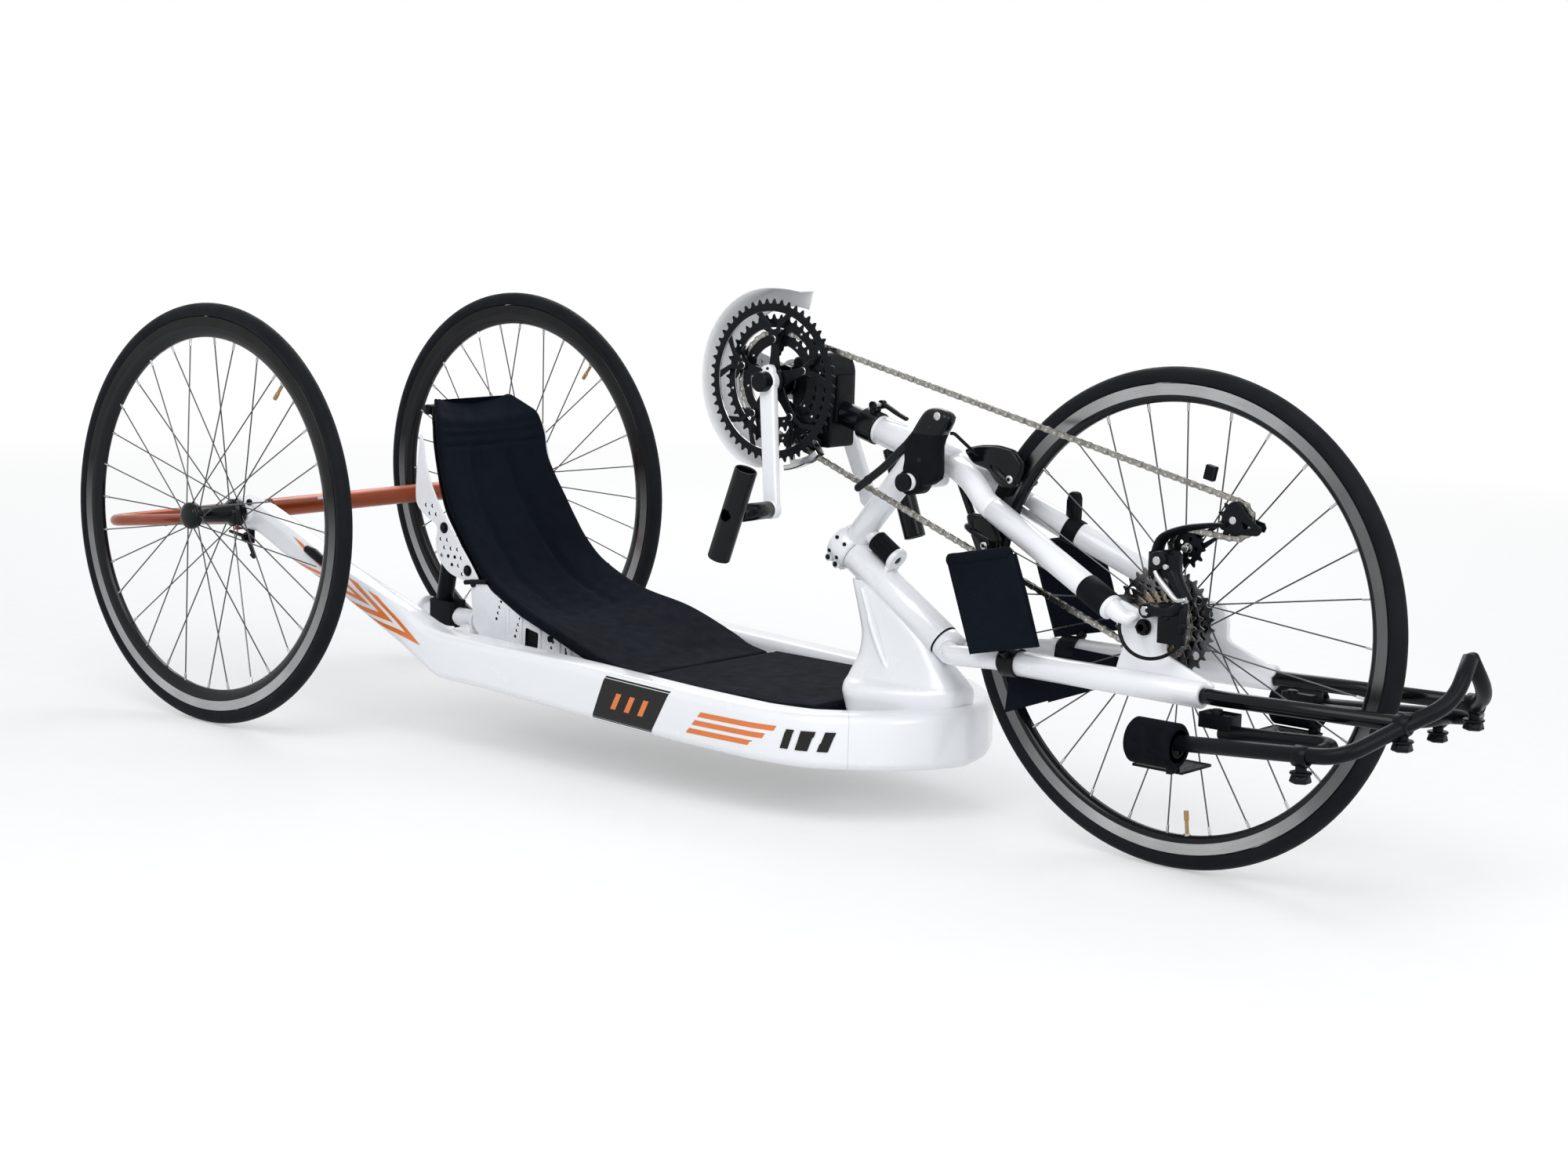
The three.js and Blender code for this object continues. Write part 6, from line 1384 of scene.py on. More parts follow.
def chainrings():
    for name, count, y, rim, seat_radius in (("large", 52, -57.0, 14, 55), ("middle", 42, -49.2, 15, 55),
                                             ("small", 32, -43.0, 17, 43.5)):
        inner = pitch_radius(count) - rim
        width = 2.6 if name == "large" else 2.4
        tops = plate(tooth_outline(SPINDLE, count), y - width / 2, y + width / 2,
                     [round_loop(*SPINDLE, inner, 120)], 0.5, 0, wall=1)
        parts = [tops]
        for angle in FIVE_WAYS:
            x, z = ring_spot(seat_radius, angle)
            parts.append(plate(round_loop(x, z, 6.4, 24), y - 1.1, y + 1.1,
                               [round_loop(x, z, 3.6, 16)] if name == "large" else [], 0.5))
            spread = 0.30 if name != "small" else 0.2
            for way in (-1, 1):
                heads = [Vector(ring_spot(radius, angle + way * turn)) for radius, turn in (
                    (seat_radius, 0.05), ((seat_radius + inner) / 2 + 1.5, spread * 0.42), (inner + 2.5, spread))]
                direction = (heads[-1] - heads[0]).normalized()
                normal = Vector((-direction.y, direction.x))
                halves = list(zip(heads, (3.6, 3.0, 4.6)))
                right = [tuple(here + normal * half) for here, half in halves]
                left = [tuple(here - normal * half) for here, half in halves]
                parts.append(plate(right + left[::-1], y - 1.0, y + 1.0, chamfer=0.6))
            if name == "large":
                parts.append(pin((x, z), y - 1.9, y + 0.2, 5.0, 5.2, sides=24, chamfer=0.7, finish=1))
        if name != "large":
            for k in range(8):
                angle = k / 8 * TURN + 0.2
                x, z = ring_spot(inner + 6, angle)
                parts.append(pin((x, z), y - 1.9, y + 0.4, 1.8, sides=12, finish=1))
        dress(f"chainring_{name}", parts, [black_satin, steel_bright], "cranks", smooth=30)


def handles():
    for side, name in SIDES:
        lean = point(-side * sin(HANDLE_LEAN), 0, cos(HANDLE_LEAN))
        centre = on_side(point(PEDAL.x, 178, PEDAL.z), side)
        outward = ASIDE * side
        across = lean.cross(outward).normalized()
        # open tube whose outer side has a round hole into its bore
        count, steps = 64, 84
        rings = []
        for radius, order in ((HANDLE_OUTER, 1), (HANDLE_BORE, -1)):
            for n in range(steps + 1):
                t = (n if order > 0 else steps - n) / steps * 2 * HANDLE_HALF - HANDLE_HALF
                reach = radius - max(0.0, 0.8 - (HANDLE_HALF - abs(t))) * order
                rings.append([centre + lean * t + outward * (reach * cos(k / count * TURN)) +
                              across * (reach * sin(k / count * TURN)) for k in range(count)])
        hull = skin(rings, joined=True)
        kept = []
        for face in hull["faces"]:
            middle = sum((hull["points"][k] for k in face), Vector()) / len(face) - centre
            hole = middle.dot(outward) > 0 and hypot(middle.dot(lean), middle.dot(across)) < 8.2
            kept.append(not hole)
        for key in ("faces", "finish", "uvs"):
            hull[key] = [item for item, keep in zip(hull[key], kept) if keep]

        def hole_ring(radius, reach):
            """Ring of a radius on the round side, at a distance from the handle's own axis"""
            turns = [k / 40 * TURN for k in range(40)]
            return [centre + lean * (radius * cos(t)) + across * (radius * sin(t)) +
                    outward * sqrt(reach ** 2 - (radius * sin(t)) ** 2) for t in turns]

        wall = [hole_ring(8.5, 11.9), hole_ring(8.5, 15.1)]
        lip = [hole_ring(8.4, 15.15), hole_ring(9.6, 15.02)]
        start = side * 106.8
        parts = [hull, skin(wall, caps=False), skin(lip, caps=False),
                 pin(PEDAL_PIN, start, side * 164.5, 11.5, sides=40, chamfer=1.2),
                 pin(PEDAL_PIN, start, start + side * 8, 9.0, sides=32)]
        dress(f"handle_{name}", parts, [black_gloss], f"grip_{name}", smooth=50)


crank_arms()
chainrings()
handles()


def arc_loop(centre, inner, outer, start, end, steps):
    angles = [start + (end - start) * k / steps for k in range(steps + 1)]
    return [ring_spot(outer, a, centre) for a in angles] + [ring_spot(inner, a, centre) for a in reversed(angles)]


def guard_and_cage():
    start, end = radians(76), radians(255)
    centre = SPINDLE
    parts = []
    # band whose front lip flares outward and thins to a horn at its upper end
    sections = []
    for k in range(73):
        angle = start + (end - start) * k / 72
        taper = min(1.0, 0.25 + k / 9) * min(1.0, 0.35 + (72 - k) / 7)
        outer_y = -36 - 24 * taper
        ring = []
        for radius, y in ((122.4, -12.4), (122.5, (outer_y - 12) / 2), (122.4, outer_y + 1.2), (121.6, outer_y),
                          (120.8, outer_y + 1.0), (120.6, (outer_y - 12) / 2), (120.6, -12.4)):
            x, z = ring_spot(radius, angle)
            ring.append(point(x, y, z))
        sections.append(ring)
    parts += [skin(sections),
              plate(arc_loop(centre, 96, 121.5, start, end, 60), -14, -12.1, chamfer=0.5)]
    middle = (start + end) / 2
    side = Vector((-sin(middle), cos(middle)))
    a, b = Vector(ring_spot(21, middle)), Vector(ring_spot(98, middle))
    parts += [plate([tuple(a - side * 15), tuple(b - side * 17), tuple(b + side * 17), tuple(a + side * 15)], -14,
                    -12.1, chamfer=0.5),
              bush(SPINDLE, -14.4, -12.0, 27, 20.6, sides=40)]
    for angle in (middle - 0.1, middle + 0.1):
        x, z = ring_spot(60, angle)
        parts.append(pin((x, z), -15.6, -12, 3.2, sides=16, finish=1))
    dress("chain_guard", parts, [guard_plastic, steel_bright], "fork", smooth=50)
    start, bridge, end = radians(-81), radians(-62), radians(-50)
    parts = [plate(arc_loop(centre, 111, 118, start, end, 24), -51, -49.4, chamfer=0.5, finish=1),
             plate(arc_loop(centre, 78, 118, start, end, 24), -37.1, -35.5,
                   [arc_loop(centre, 92, 106, start + 0.09, end - 0.09, 14)], 0.4, finish=1),
             plate(arc_loop(centre, 116, 118, start, bridge, 20), -51, -35.5, chamfer=0.4, finish=1)]
    x, z = ring_spot(84, radians(-57))
    parts += [pin((x, z), -36.3, -25.3, 7, sides=28),
              pin((x, z), -39.4, -36, 4.2, sides=20, finish=1)]
    x, z = ring_spot(100, radians(-57))
    parts.append(block((x - 14, -35.4, z - 7), (x + 10, -28, z + 12), 3))
    dress("front_derailleur", parts, [black_satin, steel_bright], "fork")


guard_and_cage()
GUIDE, TENSION = (1482, 400), (1545, 440)
STATIONS = [(SPINDLE, pitch_radius(32), 1), (TENSION, pitch_radius(11), 1), (GUIDE, pitch_radius(11), -1),
            (HUB, pitch_radius(21), 1)]


def chain_line():
    """The chain's pitch line as close points, wrapped on the four toothed wheels"""
    def tangent(a, b):
        dx, dz = b[0][0] - a[0][0], b[0][1] - a[0][1]
        offset = b[2] * b[1] - a[2] * a[1]
        distance = hypot(dx, dz)
        run = sqrt(distance ** 2 - offset ** 2)
        return ((dx * run - dz * offset) / distance ** 2, (dz * run + dx * offset) / distance ** 2)

    spots = []
    for k, station in enumerate(STATIONS):
        centre, radius, way = station
        arrive, leave = tangent(STATIONS[k - 1], station), tangent(station, STATIONS[(k + 1) % 4])
        start = atan2(way * arrive[0], -way * arrive[1])
        sweep = (atan2(way * leave[0], -way * leave[1]) - start) * -way
        while sweep < 0:
            sweep += TURN
        steps = max(4, ceil(sweep / radians(4)))
        for n in range(steps + 1):
            angle = start - way * sweep * n / steps
            spots.append(Vector((centre[0] + radius * cos(angle), centre[1] + radius * sin(angle))))
    return spots


# half the gap between the plates of an inner link
INNER_LINK = 1.15


def chain():
    line = chain_line()
    lengths = running(line + line[:1])
    count = 2 * round(lengths[-1] / PITCH / 2)
    pins = []
    at = 0
    for k in range(count):
        wanted = lengths[-1] * k / count
        while lengths[at + 1] < wanted:
            at += 1
        share = (wanted - lengths[at]) / max(1e-9, lengths[at + 1] - lengths[at])
        pins.append(line[at].lerp(line[(at + 1) % len(line)], share))
    parts = []
    for k in range(count):
        a, b = pins[k], pins[(k + 1) % count]
        direction = (b - a).normalized()
        normal = Vector((-direction.y, direction.x))
        outline = []
        for centre, first in ((b, -0.36), (a, 0.64)):
            for n in range(9):
                angle = (first + 0.72 * n / 8) * pi
                outline.append(tuple(centre + direction * (4.1 * cos(angle)) + normal * (4.1 * sin(angle))))
            waist = (a + b) / 2 + normal * (2.9 if first < 0 else -2.9)
            outline.append(tuple(waist))
        ranges = ((-2.75, -1.95), (1.95, 2.75)) if k % 2 else ((-1.9, -INNER_LINK), (INNER_LINK, 1.9))
        for low, high in ranges:
            parts.append(plate(outline, CHAIN_PLANE + low, CHAIN_PLANE + high, chamfer=0.15))
        parts += [pin(a, CHAIN_PLANE - INNER_LINK, CHAIN_PLANE + INNER_LINK, 3.8, sides=14, chamfer=0.2),
                  pin(a, CHAIN_PLANE - 2.76, CHAIN_PLANE + 2.76, 1.7, sides=10, chamfer=0.2, finish=1)]
    dress("chain", parts, [steel_chain, steel_bright], "fork", smooth=30)


chain()


def cassette():
    parts = []
    for k, count in enumerate((34, 28, 24, 21, 19, 17, 15, 13, 11)):
        y = -31.4 - 3.9 * k
        holes = [round_loop(*HUB, 15.5, 36)]
        if count >= 24:
            radius = pitch_radius(count)
            for n in range(10):
                angle = n / 10 * TURN + k * 0.2
                holes.append(round_loop(*ring_spot(radius - 12, angle, HUB), min(5.2, radius * 0.09), 14))
        parts += [plate(tooth_outline(HUB, count, 6.8), y - 0.85, y + 0.85, holes, 0.4, finish=0 if k < 4 else 1),
                  bush(HUB, y - 3.0, y - 0.8, 18.5, 15.4, sides=32)]
    parts += [bush(HUB, -62, -29.5, 16.2, 6.0, sides=32),
              bush(HUB, -64.6, -62.4, 14, 7, sides=24, finish=1)]
    dress("cassette", parts, [steel_dark, steel_brown], "sprockets", smooth=30)
    for name, centre in (("guide", GUIDE), ("tension", TENSION)):
        holes = [round_loop(*centre, 3.6, 20)]
        holes += [round_loop(*ring_spot(11, n / 5 * TURN, centre), 2.6, 12) for n in range(5)]
        parts = [plate(tooth_outline(centre, 11, 6.6), CHAIN_PLANE - 1.1, CHAIN_PLANE + 1.1, holes, 0.4),
                 bush(centre, CHAIN_PLANE - 1.3, CHAIN_PLANE + 1.3, 6.2, 3.6, sides=28, chamfer=0.2, finish=1)]
        dress(f"jockey_{name}", parts, [black_satin, steel_bright], f"pulley_{name}", smooth=30)


cassette()


def rear_mech():
    guide, tension = Vector(GUIDE), Vector(TENSION)
    along = (tension - guide).normalized()
    across = Vector((-along.y, along.x))

    def cage_loop(at_wheels, between):
        loop = []
        for n in range(13):
            angle = pi / 2 + pi * n / 12
            loop.append(tuple(guide + along * at_wheels * cos(angle) + across * at_wheels * sin(angle)))
        loop.append(tuple(guide.lerp(tension, 0.5) - across * between))
        loop += [tuple(tension - across * at_wheels), (1580.5, 428.5), (1583, 434), (1580.5, 439.5)]
        loop.append(tuple(tension + across * at_wheels))
        loop.append(tuple(guide.lerp(tension, 0.5) + across * between))
        return loop

    window = [tuple(guide + along * 18 - across * 3.2), tuple(tension - along * 18 - across * 4),
              tuple(tension - along * 18 + across * 4), tuple(guide + along * 18 + across * 3.2)]
    parts = [plate(cage_loop(11.5, 8), CHAIN_PLANE + 4.6, CHAIN_PLANE + 6.6, [softened(window, 3)], 0.6)]
    # outer side: a curved arm over the guide wheel that widens to a three-cornered head
    arm = curved([(1450, -61, 388), (1456, -57, 410), (1480, -53, 423), (1512, -51.5, 430.5), (1538, -51, 434)], 7)
    parts.append(tube(arm, [12.0 - 6.0 * k / (len(arm) - 1) for k in range(len(arm))], 26, flat=0.45))
    head = [(1527, 428), (1531, 448), (1541, 462), (1552, 462), (1566, 446), (1585, 433), (1580, 425), (1556, 424)]
    parts.append(plate(softened(head, 5), CHAIN_PLANE - 7.4, CHAIN_PLANE - 4.8,
                       [softened([(1556, 440), (1570, 434), (1560, 431)], 2)], 0.8))
    for spot in (guide, tension):
        parts += [pin(spot, CHAIN_PLANE - 7.6, CHAIN_PLANE + 6.9, 3, sides=20, finish=1),
                  pin(spot, CHAIN_PLANE - 8.0, CHAIN_PLANE - 6.5, 4.6, sides=24, finish=1)]
    parts.append(pin((1577, 434), CHAIN_PLANE - 6, CHAIN_PLANE + 6, 2.8, sides=16))
    dress("derailleur_cage", parts, [black_satin, steel_bright], "fork")

    parts = [pin((1457, 327), -74.4, -91.8, 9, sides=32, chamfer=1.2),
             pin((1457, 327), -92.0, -88.5, 6.6, sides=6, finish=1),
             pin((1470, 388), -91.6, -50.2, 11, sides=40, chamfer=1.4),
             pin((1470, 388), -91.9, -90, 5.4, sides=24, finish=1),
             rod((1506, -85, 341), (1506, -85, 306.2), 5.8, 4.6, sides=28),
             rod((1506, -85, 318), (1506, -85, 311), 6.2, sides=24)]
    # black lower body out to the elbow, a bent silver link, and the black inner link that carries the cage
    lower = curved([(1458, -84, 328), (1474, -84.5, 328), (1494, -85, 331), (1506, -85, 343)], 7)
    parts.append(tube(lower, [8.2 + 0.4 * sin(k) for k in range(len(lower))], 24, flat=0.85))
    link = curved([(1512, -89, 347), (1500, -90, 345.4), (1488, -90, 355), (1474, -89.5, 368), (1468, -89, 376)], 7)
    parts.append(tube(link, [4.4 + 1.2 * sin(pi * k / (len(link) - 1)) for k in range(len(link))], 20, flat=0.7,
                      finish=1))
    inner = curved([(1507, -80, 343), (1494, -79, 360), (1484, -77, 376), (1472, -74, 389)], 7)
    parts += [tube(inner, [8.6 + 1.6 * sin(pi * k / (len(inner) - 1)) for k in range(len(inner))], 20, flat=0.85),
              block((1471, -88, 291), (1508, -75.2, 338), 6),
              pin((1486, 322), -89.4, -87, 3.2, sides=18),
              block((1452, -86, 368), (1494, -66, 396), 8)]
    for x, z in ((1506, 343), (1482, 382)):
        parts.append(pin((x, z), -91.6, -78, 3.4, sides=18, finish=1))
    dress("derailleur_body", parts, [black_satin, steel_bright], "fork", smooth=50)


rear_mech()

# ---------------------------------------------------------------- brakes
PIVOT = point(1116, -57, 512)


def hood():
    """Rubber hood: rounded sections up a leaning line, with a bulged horn at the top"""
    # rear edge, front edge, height and width of each section
    body = ((1086, 1105, 436.4, 18), (1079, 1114, 439.5, 24), (1071, 1124, 447, 28), (1069.3, 1125.6, 456, 29.4),
            (1071.5, 1125, 468, 29.6), (1070.5, 1124.4, 480, 29.2), (1070.2, 1124.4, 488, 29.0),
            (1076, 1127, 497, 28.8), (1081, 1130, 503, 28.6))
    horn = ((1081, 1130, 503, 28.4), (1087, 1135.5, 512, 28.2), (1092, 1139.6, 520, 27.0),
            (1096, 1141.4, 526, 24.5), (1099.4, 1138, 530.4, 21), (1104, 1130, 534, 15), (1111, 1122, 536, 7))
    parts = []
    for rows, look in ((body, 0), (horn, 1)):
        rings = []
        for rear, front, z, wide in rows:
            rings.append([point((rear + front) / 2 + across, -57 + up, z)
                          for across, up in rounded(front - rear, wide, wide * 0.42, 7)])
        parts.append(skin(rings, finish=look))
    parts += [bush(STEM, -71.8, -42.2, 16.8, 11.2, sides=40, chamfer=1.6),
              rod(PIVOT - ASIDE * 14.8, PIVOT + ASIDE * 14.8, 3.6, sides=20, finish=1),
              pin((1125, 527), -70.6, -67.6, 5.2, sides=28, finish=2),
              pin((1101, 470), -72.0, -70.5, 3.2, sides=20, finish=1)]
    dress("brake_hood", parts, [hood_rubber, black_gloss, steel_bright], "fork", smooth=60)
    blade = curved([PIVOT + point(-2, 0, 0), (1091.5, -57, 505), (1072, -57.5, 487.5), (1054, -59, 470.5),
                    (1036.6, -61, 454), (1017, -63, 438.5), (999, -65, 424.5)], 8)
    count = len(blade)
    radii = [6.6 - 1.4 * k / count + (0.8 if k > count - 9 else 0) if k > 16 else 9.6 - 0.2 * k
             for k in range(count)]
    rings = []
    for k, spot in enumerate(blade):
        heading = heading_at(blade, k)
        across = heading.cross(UP.cross(heading)).normalized()
        wide = radii[k] * (1.25 if k < count - 6 else 1.1)
        side = heading.cross(across)
        trim = 0.35 if k in (0, count - 1) else 1
        rings.append([spot + side * (x * trim) + across * (y * trim)
                      for x, y in rounded(radii[k] * 1.1, wide * 1.5, radii[k] * 0.5, 6)])
    parts = [skin(rings), rod(PIVOT - ASIDE * 6, PIVOT + ASIDE * 6, 8.2, sides=32, chamfer=1.2),
             rod(blade[-1] - ASIDE * 3.0, blade[-1] + ASIDE * 3.0, 4.8, sides=28, chamfer=1.2)]
    dress("brake_lever", parts, [black_gloss], "brake_blade", smooth=60)


hood()


def caliper(name, degrees, thick, hang_to, body, bolt):
    turn = radians(degrees)
    out, round_way = point(-cos(turn), 0, sin(turn)), point(sin(turn), 0, cos(turn))
    centre = point(HUB[0], 0, HUB[1])

    def spot(radius, aside_by, along=0.0):
        return centre + out * radius + round_way * along + ASIDE * aside_by

    pad_line = RIM_OUTER - TRACK_DEPTH / 2
    arch = 16.5
    top = WHEEL_RADIUS + 6 + thick / 2
    parts = []
    for side in (-1, 1):
        arm = curved([spot(pad_line - 5, side * (arch + 6), 0), spot(pad_line + 18, side * (arch + 8.4), 2.0),
                      spot(top - 4, side * (arch + 2), 2.5),
                      spot(top + 1.5, side * 9, 0.5), spot(top + 1, side * -4, -side * 2)], 7)
        count = len(arm)
        radii = [thick / 2 * (0.86 + 0.36 * sin(pi * k / (count - 1))) for k in range(count)]
        parts += [tube(arm, radii, 24, flat=0.78),
                  rod(spot(pad_line, side * (RIM_WIDTH / 2 + 2.0)), spot(pad_line, side * (arch + 6)), 4.4,
                      sides=20, finish=1)]
        pad = [spot(pad_line, side * (RIM_WIDTH / 2 + 1.9), -19), spot(pad_line, side * (RIM_WIDTH / 2 + 1.9), 19)]
        parts += [tube([pad[0] + ASIDE * side * 3.2, pad[1] + ASIDE * side * 3.2], 4.8, 20, flat=0.6, chamfer=1.2,
                       finish=2),
                  rod(spot(pad_line, side * (arch + 4)), spot(pad_line, side * (arch + 6.2)), 5.0, sides=6,
                      finish=1),
                  rod(spot(top, side * 5), spot(top, side * 13.0), 4.2, sides=24, finish=1)]
    outline = softened(body, 7)
    for y, grow in ((-24.5, 0), (-19.5, 1.5)):
        parts.append(plate(inset(outline, -grow), y - 3.2, y + 2.2, chamfer=1.6))
    parts += [pin(bolt, -29.6, -26, 5.6, sides=24, chamfer=0.9, finish=1),
              pin(bolt, -30.2, -29, 2.6, sides=6, chamfer=0.3, finish=2)]
    end = hang_to or spot(top * 1.065, 0)
    parts += [rod(spot(top, 0), end, thick / 2.4, sides=24),
              rod(spot(top, -15.4), spot(top, -11), 6.0, sides=6, chamfer=0.9, finish=1)]
    dress(f"brake_caliper_{name}", parts, [black_gloss, steel_bright, hood_rubber], "fork",
          smooth=60)


caliper("upper", 30.7, 14, None, [(1136, 484), (1160, 490), (1186, 492), (1212, 488), (1225, 474), (1219, 452),
                                  (1203, 440), (1186, 448), (1176, 462), (1150, 468)], (1209, 453))
caliper("lower", 14.5, 12, BOOM_FRONT, [(1143, 403), (1180, 402), (1194, 374), (1189, 352), (1163, 355),
                                        (1151, 379)], (1174, 366))

# ---------------------------------------------------------------- calf rests, foot frame, small pieces
CALF = [(0.8065, 1.1593), (0.8714, 1.225), (0.9005, 0.903), (0.8549, 0.79), (0.8348, 0.79)]
SLING = [(0.8555, 0.79), (0.85, 0.5386), (0.9461, 0.7126), (0.92, 0.78)]
# how far out the calf rests and the slings hang
CALF_ASIDE, SLING_ASIDE = 91, 46.8


def calf_rests():
    corners = [Vector(at_seat(s)) for s in CALF]
    rear, front = corners[0], corners[1]
    for side, name in SIDES:
        # four-sided patch: rear edge and front edge, from the roll at the top to the collar at the bottom
        rear_edge = [rear, rear.lerp(corners[4], 0.5), corners[4]]
        front_edge = [front + Vector((6, 0)), front.lerp(corners[2], 0.5) + Vector((4, 0)),
                      corners[2] + Vector((4, -12))]

        rings = []
        for t in fine_steps(44):
            outer_row, inner_row = [], []
            for u in fine_steps(30):
                spot = at_share(rear_edge, t).lerp(at_share(front_edge, t), u)
                fall = min(1.0, min(u, 1 - u) / 0.05) ** 0.5 if min(u, 1 - u) < 0.05 else 1.0
                end_fall = min(1.0, min(t, 1 - t) / 0.04) ** 0.5 if min(t, 1 - t) < 0.04 else 1.0
                half = 5.4 * min(fall, end_fall) + 0.5
                belly = 0.9 * sin(t * 11 + 2 * u) * (1 - (2 * u - 1) ** 2)
                sag = -0.8 * dent(t, 0.86, 0.03)
                outer_row.append(point(spot.x, -CALF_ASIDE - half + belly * 0.4 - sag, spot.y))
                inner_row.append(point(spot.x, -CALF_ASIDE + half, spot.y))
            rings.append(outer_row + inner_row[::-1])
        roll_from, roll_to = point(rear.x + 1, -CALF_ASIDE, rear.y), point(front.x - 1, -CALF_ASIDE, front.y)
        roll = tube([roll_from.lerp(roll_to, k / 12) for k in range(13)],
                    [8.2 + 0.25 * sin(k * 1.9) for k in range(13)], 36, chamfer=1.6)
        seams = []
        for line in (rear_edge, front_edge):
            spots = [line[0].lerp(line[1], k / 10) for k in range(11)] + [
                line[1].lerp(line[2], k / 10) for k in range(1, 11)]
            path = [point(p.x, -CALF_ASIDE, p.y) for p in spots]
            seams.append(tube(path, 2.4, 12, chamfer=0, finish=1))
        pad = piece(f"calf_pad_{name}", [aside(s, side) for s in [skin(rings), roll] + seams],
                    [mesh_cloth, piping_cloth], "fork", [f"calf_rest_{name}"], smooth=60)
        start, stop = on_side(LOWER_START, side), on_side(LOWER_END, side)
        along = (stop - start).normalized()
        ring_from, ring_to = start + along * 2, start + along * 27
        middle = (ring_from + ring_to) / 2
        parts = [sleeve(ring_from, ring_to, 18.4, 15.9, sides=40, chamfer=1.0),
                 rod(middle, (middle.x, side * 87, middle.z + 18.6), 6, sides=24),
                 rod(middle + point(0, side * 16.6, 0), middle + point(0, side * 18.4, 0), 4, sides=20)]
        piece(f"calf_collar_{name}", parts, [black_satin], "fork")
        # hanging sling: a thin sheet with folds
        loop = [Vector(at_seat(s)) for s in SLING]
        rows, columns = 22, 18
        front_side, back_side = [], []
        for r in range(rows + 1):
            v = r / rows
            line = []
            for c in range(columns + 1):
                u = c / columns
                spot = loop[0].lerp(loop[3], u).lerp(loop[1].lerp(loop[2], u), v)
                fold = 0.28 * sin(u * 13 + v * 2.5) * v
                line.append(point(spot.x, -SLING_ASIDE + fold, spot.y))
            front_side.append([p + ASIDE * 0.4 for p in line])
            back_side.append([p - ASIDE * 0.4 for p in line])
        sling = piece(f"calf_sling_{name}", [aside(slab(front_side, back_side), side)], [mesh_cloth], "fork",
                      smooth=60)


calf_rests()


# how far out the heel rests and the foot plates stand
REST_ASIDE, FOOT_ASIDE = 160, 85


def foot_frame():
    parts = []
    for side in (-1, 1):
        def y(value):
            return side * value

        stop = on_side(LOWER_END, side)
        along = (stop - on_side(LOWER_START, side)).normalized()
        joint = point(1797, y(FOOT_ASIDE), 243)
        parts.append(tube(bends([stop - along * 32, stop + along * 25.3, joint], 9.5, 6), 9.4, 30, finish=1))
        outer = [(1512, y(REST_ASIDE), 191), (1695, y(REST_ASIDE), 205), (1764, y(REST_ASIDE), 211),
                 joint - UP * 2, (1833, y(40), 266), (1830, 0, 312)]
        parts.append(tube(bends(outer, 28.5), 9.4, 28))
        inner = [(1573, y(98), 200), (1722, y(98), 209), (1731.5, y(150.5), 209)]
        parts.append(tube(bends(inner, 28.5), 9.4, 26))
        for spot in (point(1715, y(REST_ASIDE), 205), joint):
            parts += [sleeve(spot + point(-9, 0, 0), spot + point(9, 0, 0), 12.2, 8, sides=32, chamfer=1),
                      rod(spot - UP * 29.6, spot - UP * 8, 6.5, sides=24),
                      rod(spot - UP * 30, spot - UP * 19, 12.6, 10.5, sides=6, chamfer=1.6),
                      rod(spot - UP * 20, spot - UP * 17.5, 12.6, sides=32)]
        low, high = sorted((y(79), y(107.5)))
        parts += [block((1546, low, 205), (1590, high, 222), 4),
                  rod((1559, y(FOOT_ASIDE), 206), (1559, y(FOOT_ASIDE), 224), 6.6, sides=24),
                  rod((1559, y(FOOT_ASIDE), 203.5), (1559, y(FOOT_ASIDE), 207), 9, sides=6),
                  rod((1512.2, y(REST_ASIDE), 191), (1515, y(REST_ASIDE), 191.2), 10.4, sides=32)]
    dress("foot_frame", parts, [black_satin, black_gloss], "fork", smooth=46)
    for side, name in SIDES:

        def at(x, z=190):
            return point(x, side * REST_ASIDE, z)

        parts = [sleeve(at(1496.2), at(1556), 26.8, 11.0, sides=56, chamfer=2.6),
                 sleeve(at(1553), at(1556.0), 20, 11.2, sides=40, finish=1),
                 sleeve(at(1496), at(1499), 20, 11.2, sides=40, finish=1)]
        low, high = sorted((side * 96, side * REST_ASIDE))
        parts += [block((1494, low, 158), (1562, high, 161), 1.2, finish=1),
                  rod(at(1550, 159.5), at(1550), 5.6, sides=20, finish=1),
                  block((1546, min(side * 150, side * 170), 158.5), (1553.5, max(side * 150, side * 170), 180), 2,
                        finish=1)]
        dress(f"heel_roller_{name}", parts, [foam, black_cast], "fork")


foot_frame()


def leg_sensor():
    along = (LEG_END - KNEE).normalized()
    start = KNEE.lerp(LEG_END, 0.3)
    middle = start + along * 10
    parts = [sleeve(start, start + along * 20, 17.4, 15.8, sides=40, chamfer=0.8)]
    rings = []
    for t, wide, long in ((12, 15, 15), (20, 15.5, 17), (30, 15.5, 17), (42, 15, 16), (48, 12.6, 12.6),
                          (49.6, 9, 8)):
        spot = middle + UP * t
        rings.append([spot + AHEAD * x + ASIDE * y for x, y in rounded(min(long, 15.8), min(wide, 15.8), 3.6, 6)])
    parts += [skin(rings),
              block(middle + point(-7, -8.2, 20), middle + point(7, -7.2, 40), 0.5, finish=1)]
    dress("leg_sensor", parts, [hood_rubber, black_gloss], "fork")


leg_sensor()


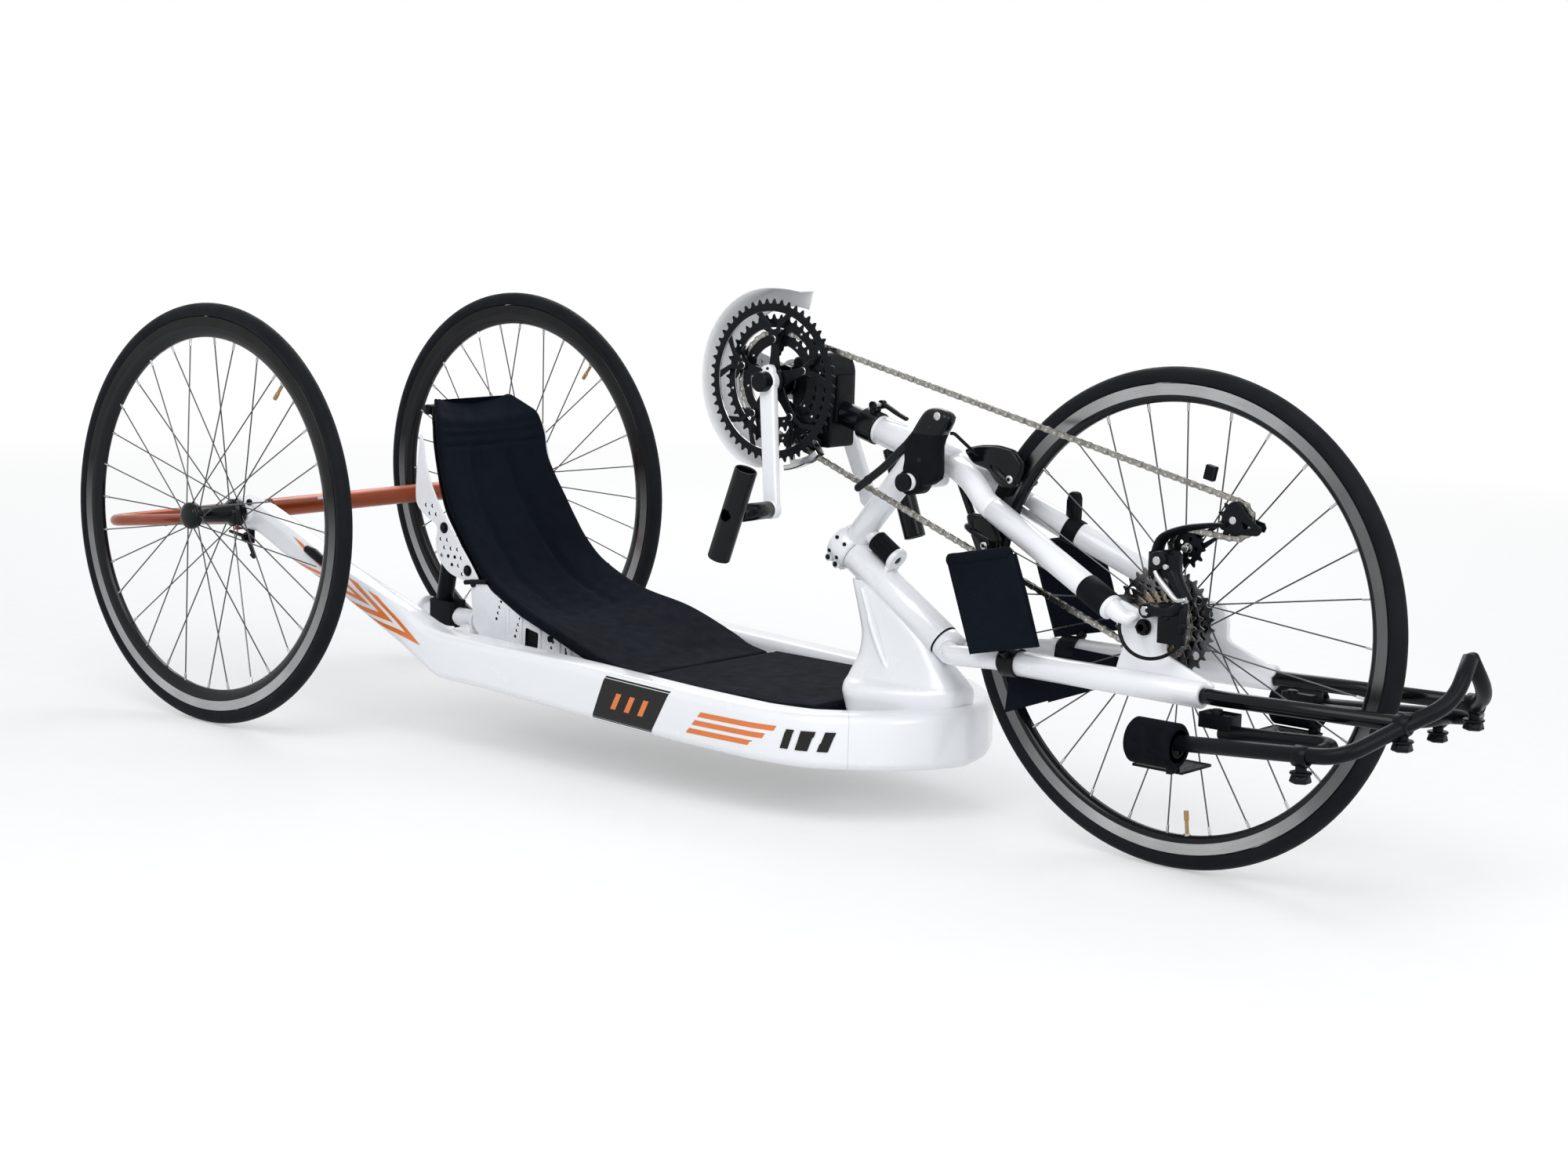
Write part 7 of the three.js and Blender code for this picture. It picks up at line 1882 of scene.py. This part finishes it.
def cables():
    routes = {
        "brake_cable": [(1138, -57, 506), (1144, -56.5, 505.6), (1151, -48, 496), (1157, -36, 485),
                        (1160, -22, 477), (1160, -6.4, 475.8)],
        "shift_cable": [(1417, -76.6, 324), (1417.5, -80, 315), (1420, -87, 303), (1427, -92, 290),
                        (1439, -95, 279), (1454, -96, 273), (1470, -95, 272), (1485, -92, 276), (1497, -88, 284),
                        (1505, -85.5, 294), (1506, -85, 305.4)],
    }
    for name, route in routes.items():
        path = curved(route, 6)
        made = dress(name, [tube(path, 2.2, 16, chamfer=0.3)], [black_satin], "fork", smooth=60)


cables()


# ---------------------------------------------------------------- floor, light
def floor_finish():
    """Pale floor near the object, plain white further out for the camera and for mirror images"""
    n = Finish("floor_pale")
    spread = n.add("Mapping", {"Vector": n.coords.outputs["Object"]}, Scale=(0.22, 0.22, 0.22)).outputs[0]
    nearness = n.add("TexGradient", {"Vector": spread}, gradient_type="SPHERICAL").outputs["Fac"]
    far = n.calc("SUBTRACT", 1.0, n.remap(nearness, 0.05, 0.62, 0.0, 0.62), clamp=True)
    n.wire("Base Color", n.tint(n.noise(30), (0.93, 0.93, 0.93), (0.95, 0.95, 0.95)))
    n.set(Roughness=0.9, Specular_IOR_Level=0.1)
    light = n.add("Emission", Color=(1, 1, 1, 1), Strength=1.0)
    path = n.add("LightPath").outputs
    viewed = n.calc("ADD", path["Is Camera Ray"], path["Is Glossy Ray"], clamp=True)
    share = n.calc("MULTIPLY", far, viewed)
    mix = n.add("MixShader", {0: share, 1: n.surface.outputs[0], 2: light.outputs[0]})
    output = next(node for node in n.tree.nodes if node.type == "OUTPUT_MATERIAL")
    n.tree.links.new(mix.outputs[0], output.inputs[0])
    return n.material


# metres
FLOOR_HALF, FLOOR_GAP = 20, 0.0004


def make_floor():
    mesh = bpy.data.meshes.new("floor")
    corners = [(x * FLOOR_HALF, y * FLOOR_HALF, 0) for x, y in ((-1, -1), (1, -1), (1, 1), (-1, 1))]
    mesh.from_pydata(corners, [], [(0, 1, 2, 3)])
    mesh.materials.append(floor_finish())
    floor = bpy.data.objects.new("floor", mesh)
    floor.location.z = -FLOOR_GAP
    bpy.context.collection.objects.link(floor)


def make_world():
    """White where the world is seen, directly or mirrored, and a dimmer light on the object"""
    world = bpy.data.worlds.new("studio")
    bpy.context.scene.world = world
    world.use_nodes = True
    world.node_tree.nodes.clear()
    n = Nodes(world.node_tree)
    path = n.add("LightPath").outputs
    seen = n.calc("MAXIMUM", path["Is Camera Ray"], path["Is Transmission Ray"])
    seen_or_mirrored = n.calc("MAXIMUM", seen, path["Is Glossy Ray"])
    ambient = n.add("Background", Color=(0.93, 0.96, 1.0, 1), Strength=0.6).outputs[0]
    white = n.add("Background", Color=(1, 1, 1, 1), Strength=1.0).outputs[0]
    mix = n.add("MixShader", {0: seen_or_mirrored, 1: ambient, 2: white}).outputs[0]
    n.add("OutputWorld", {0: mix})


def make_lamps():
    # name, place, aim, size and power
    for name, spot, aim, size, power in (
        ("key", (1.2, -2.6, 3.2), (0, 0, 0.3), 2.6, 72), ("side", (3.4, -0.6, 1.8), (0.3, 0, 0.3), 1.8, 28),
        ("rim", (-1.8, 2.4, 2.6), (0, 0, 0.3), 2.2, 40),
    ):
        data = bpy.data.lights.new(name, "AREA")
        data.shape = "SQUARE"
        data.size = size
        data.energy = power
        lamp = bpy.data.objects.new(name, data)
        lamp.location = spot
        lamp.rotation_euler = (Vector(aim) - Vector(spot)).to_track_quat("-Z", "Y").to_euler()
        bpy.context.collection.objects.link(lamp)


make_floor()
make_world()
make_lamps()
bpy.context.scene.view_settings.view_transform = "Standard"
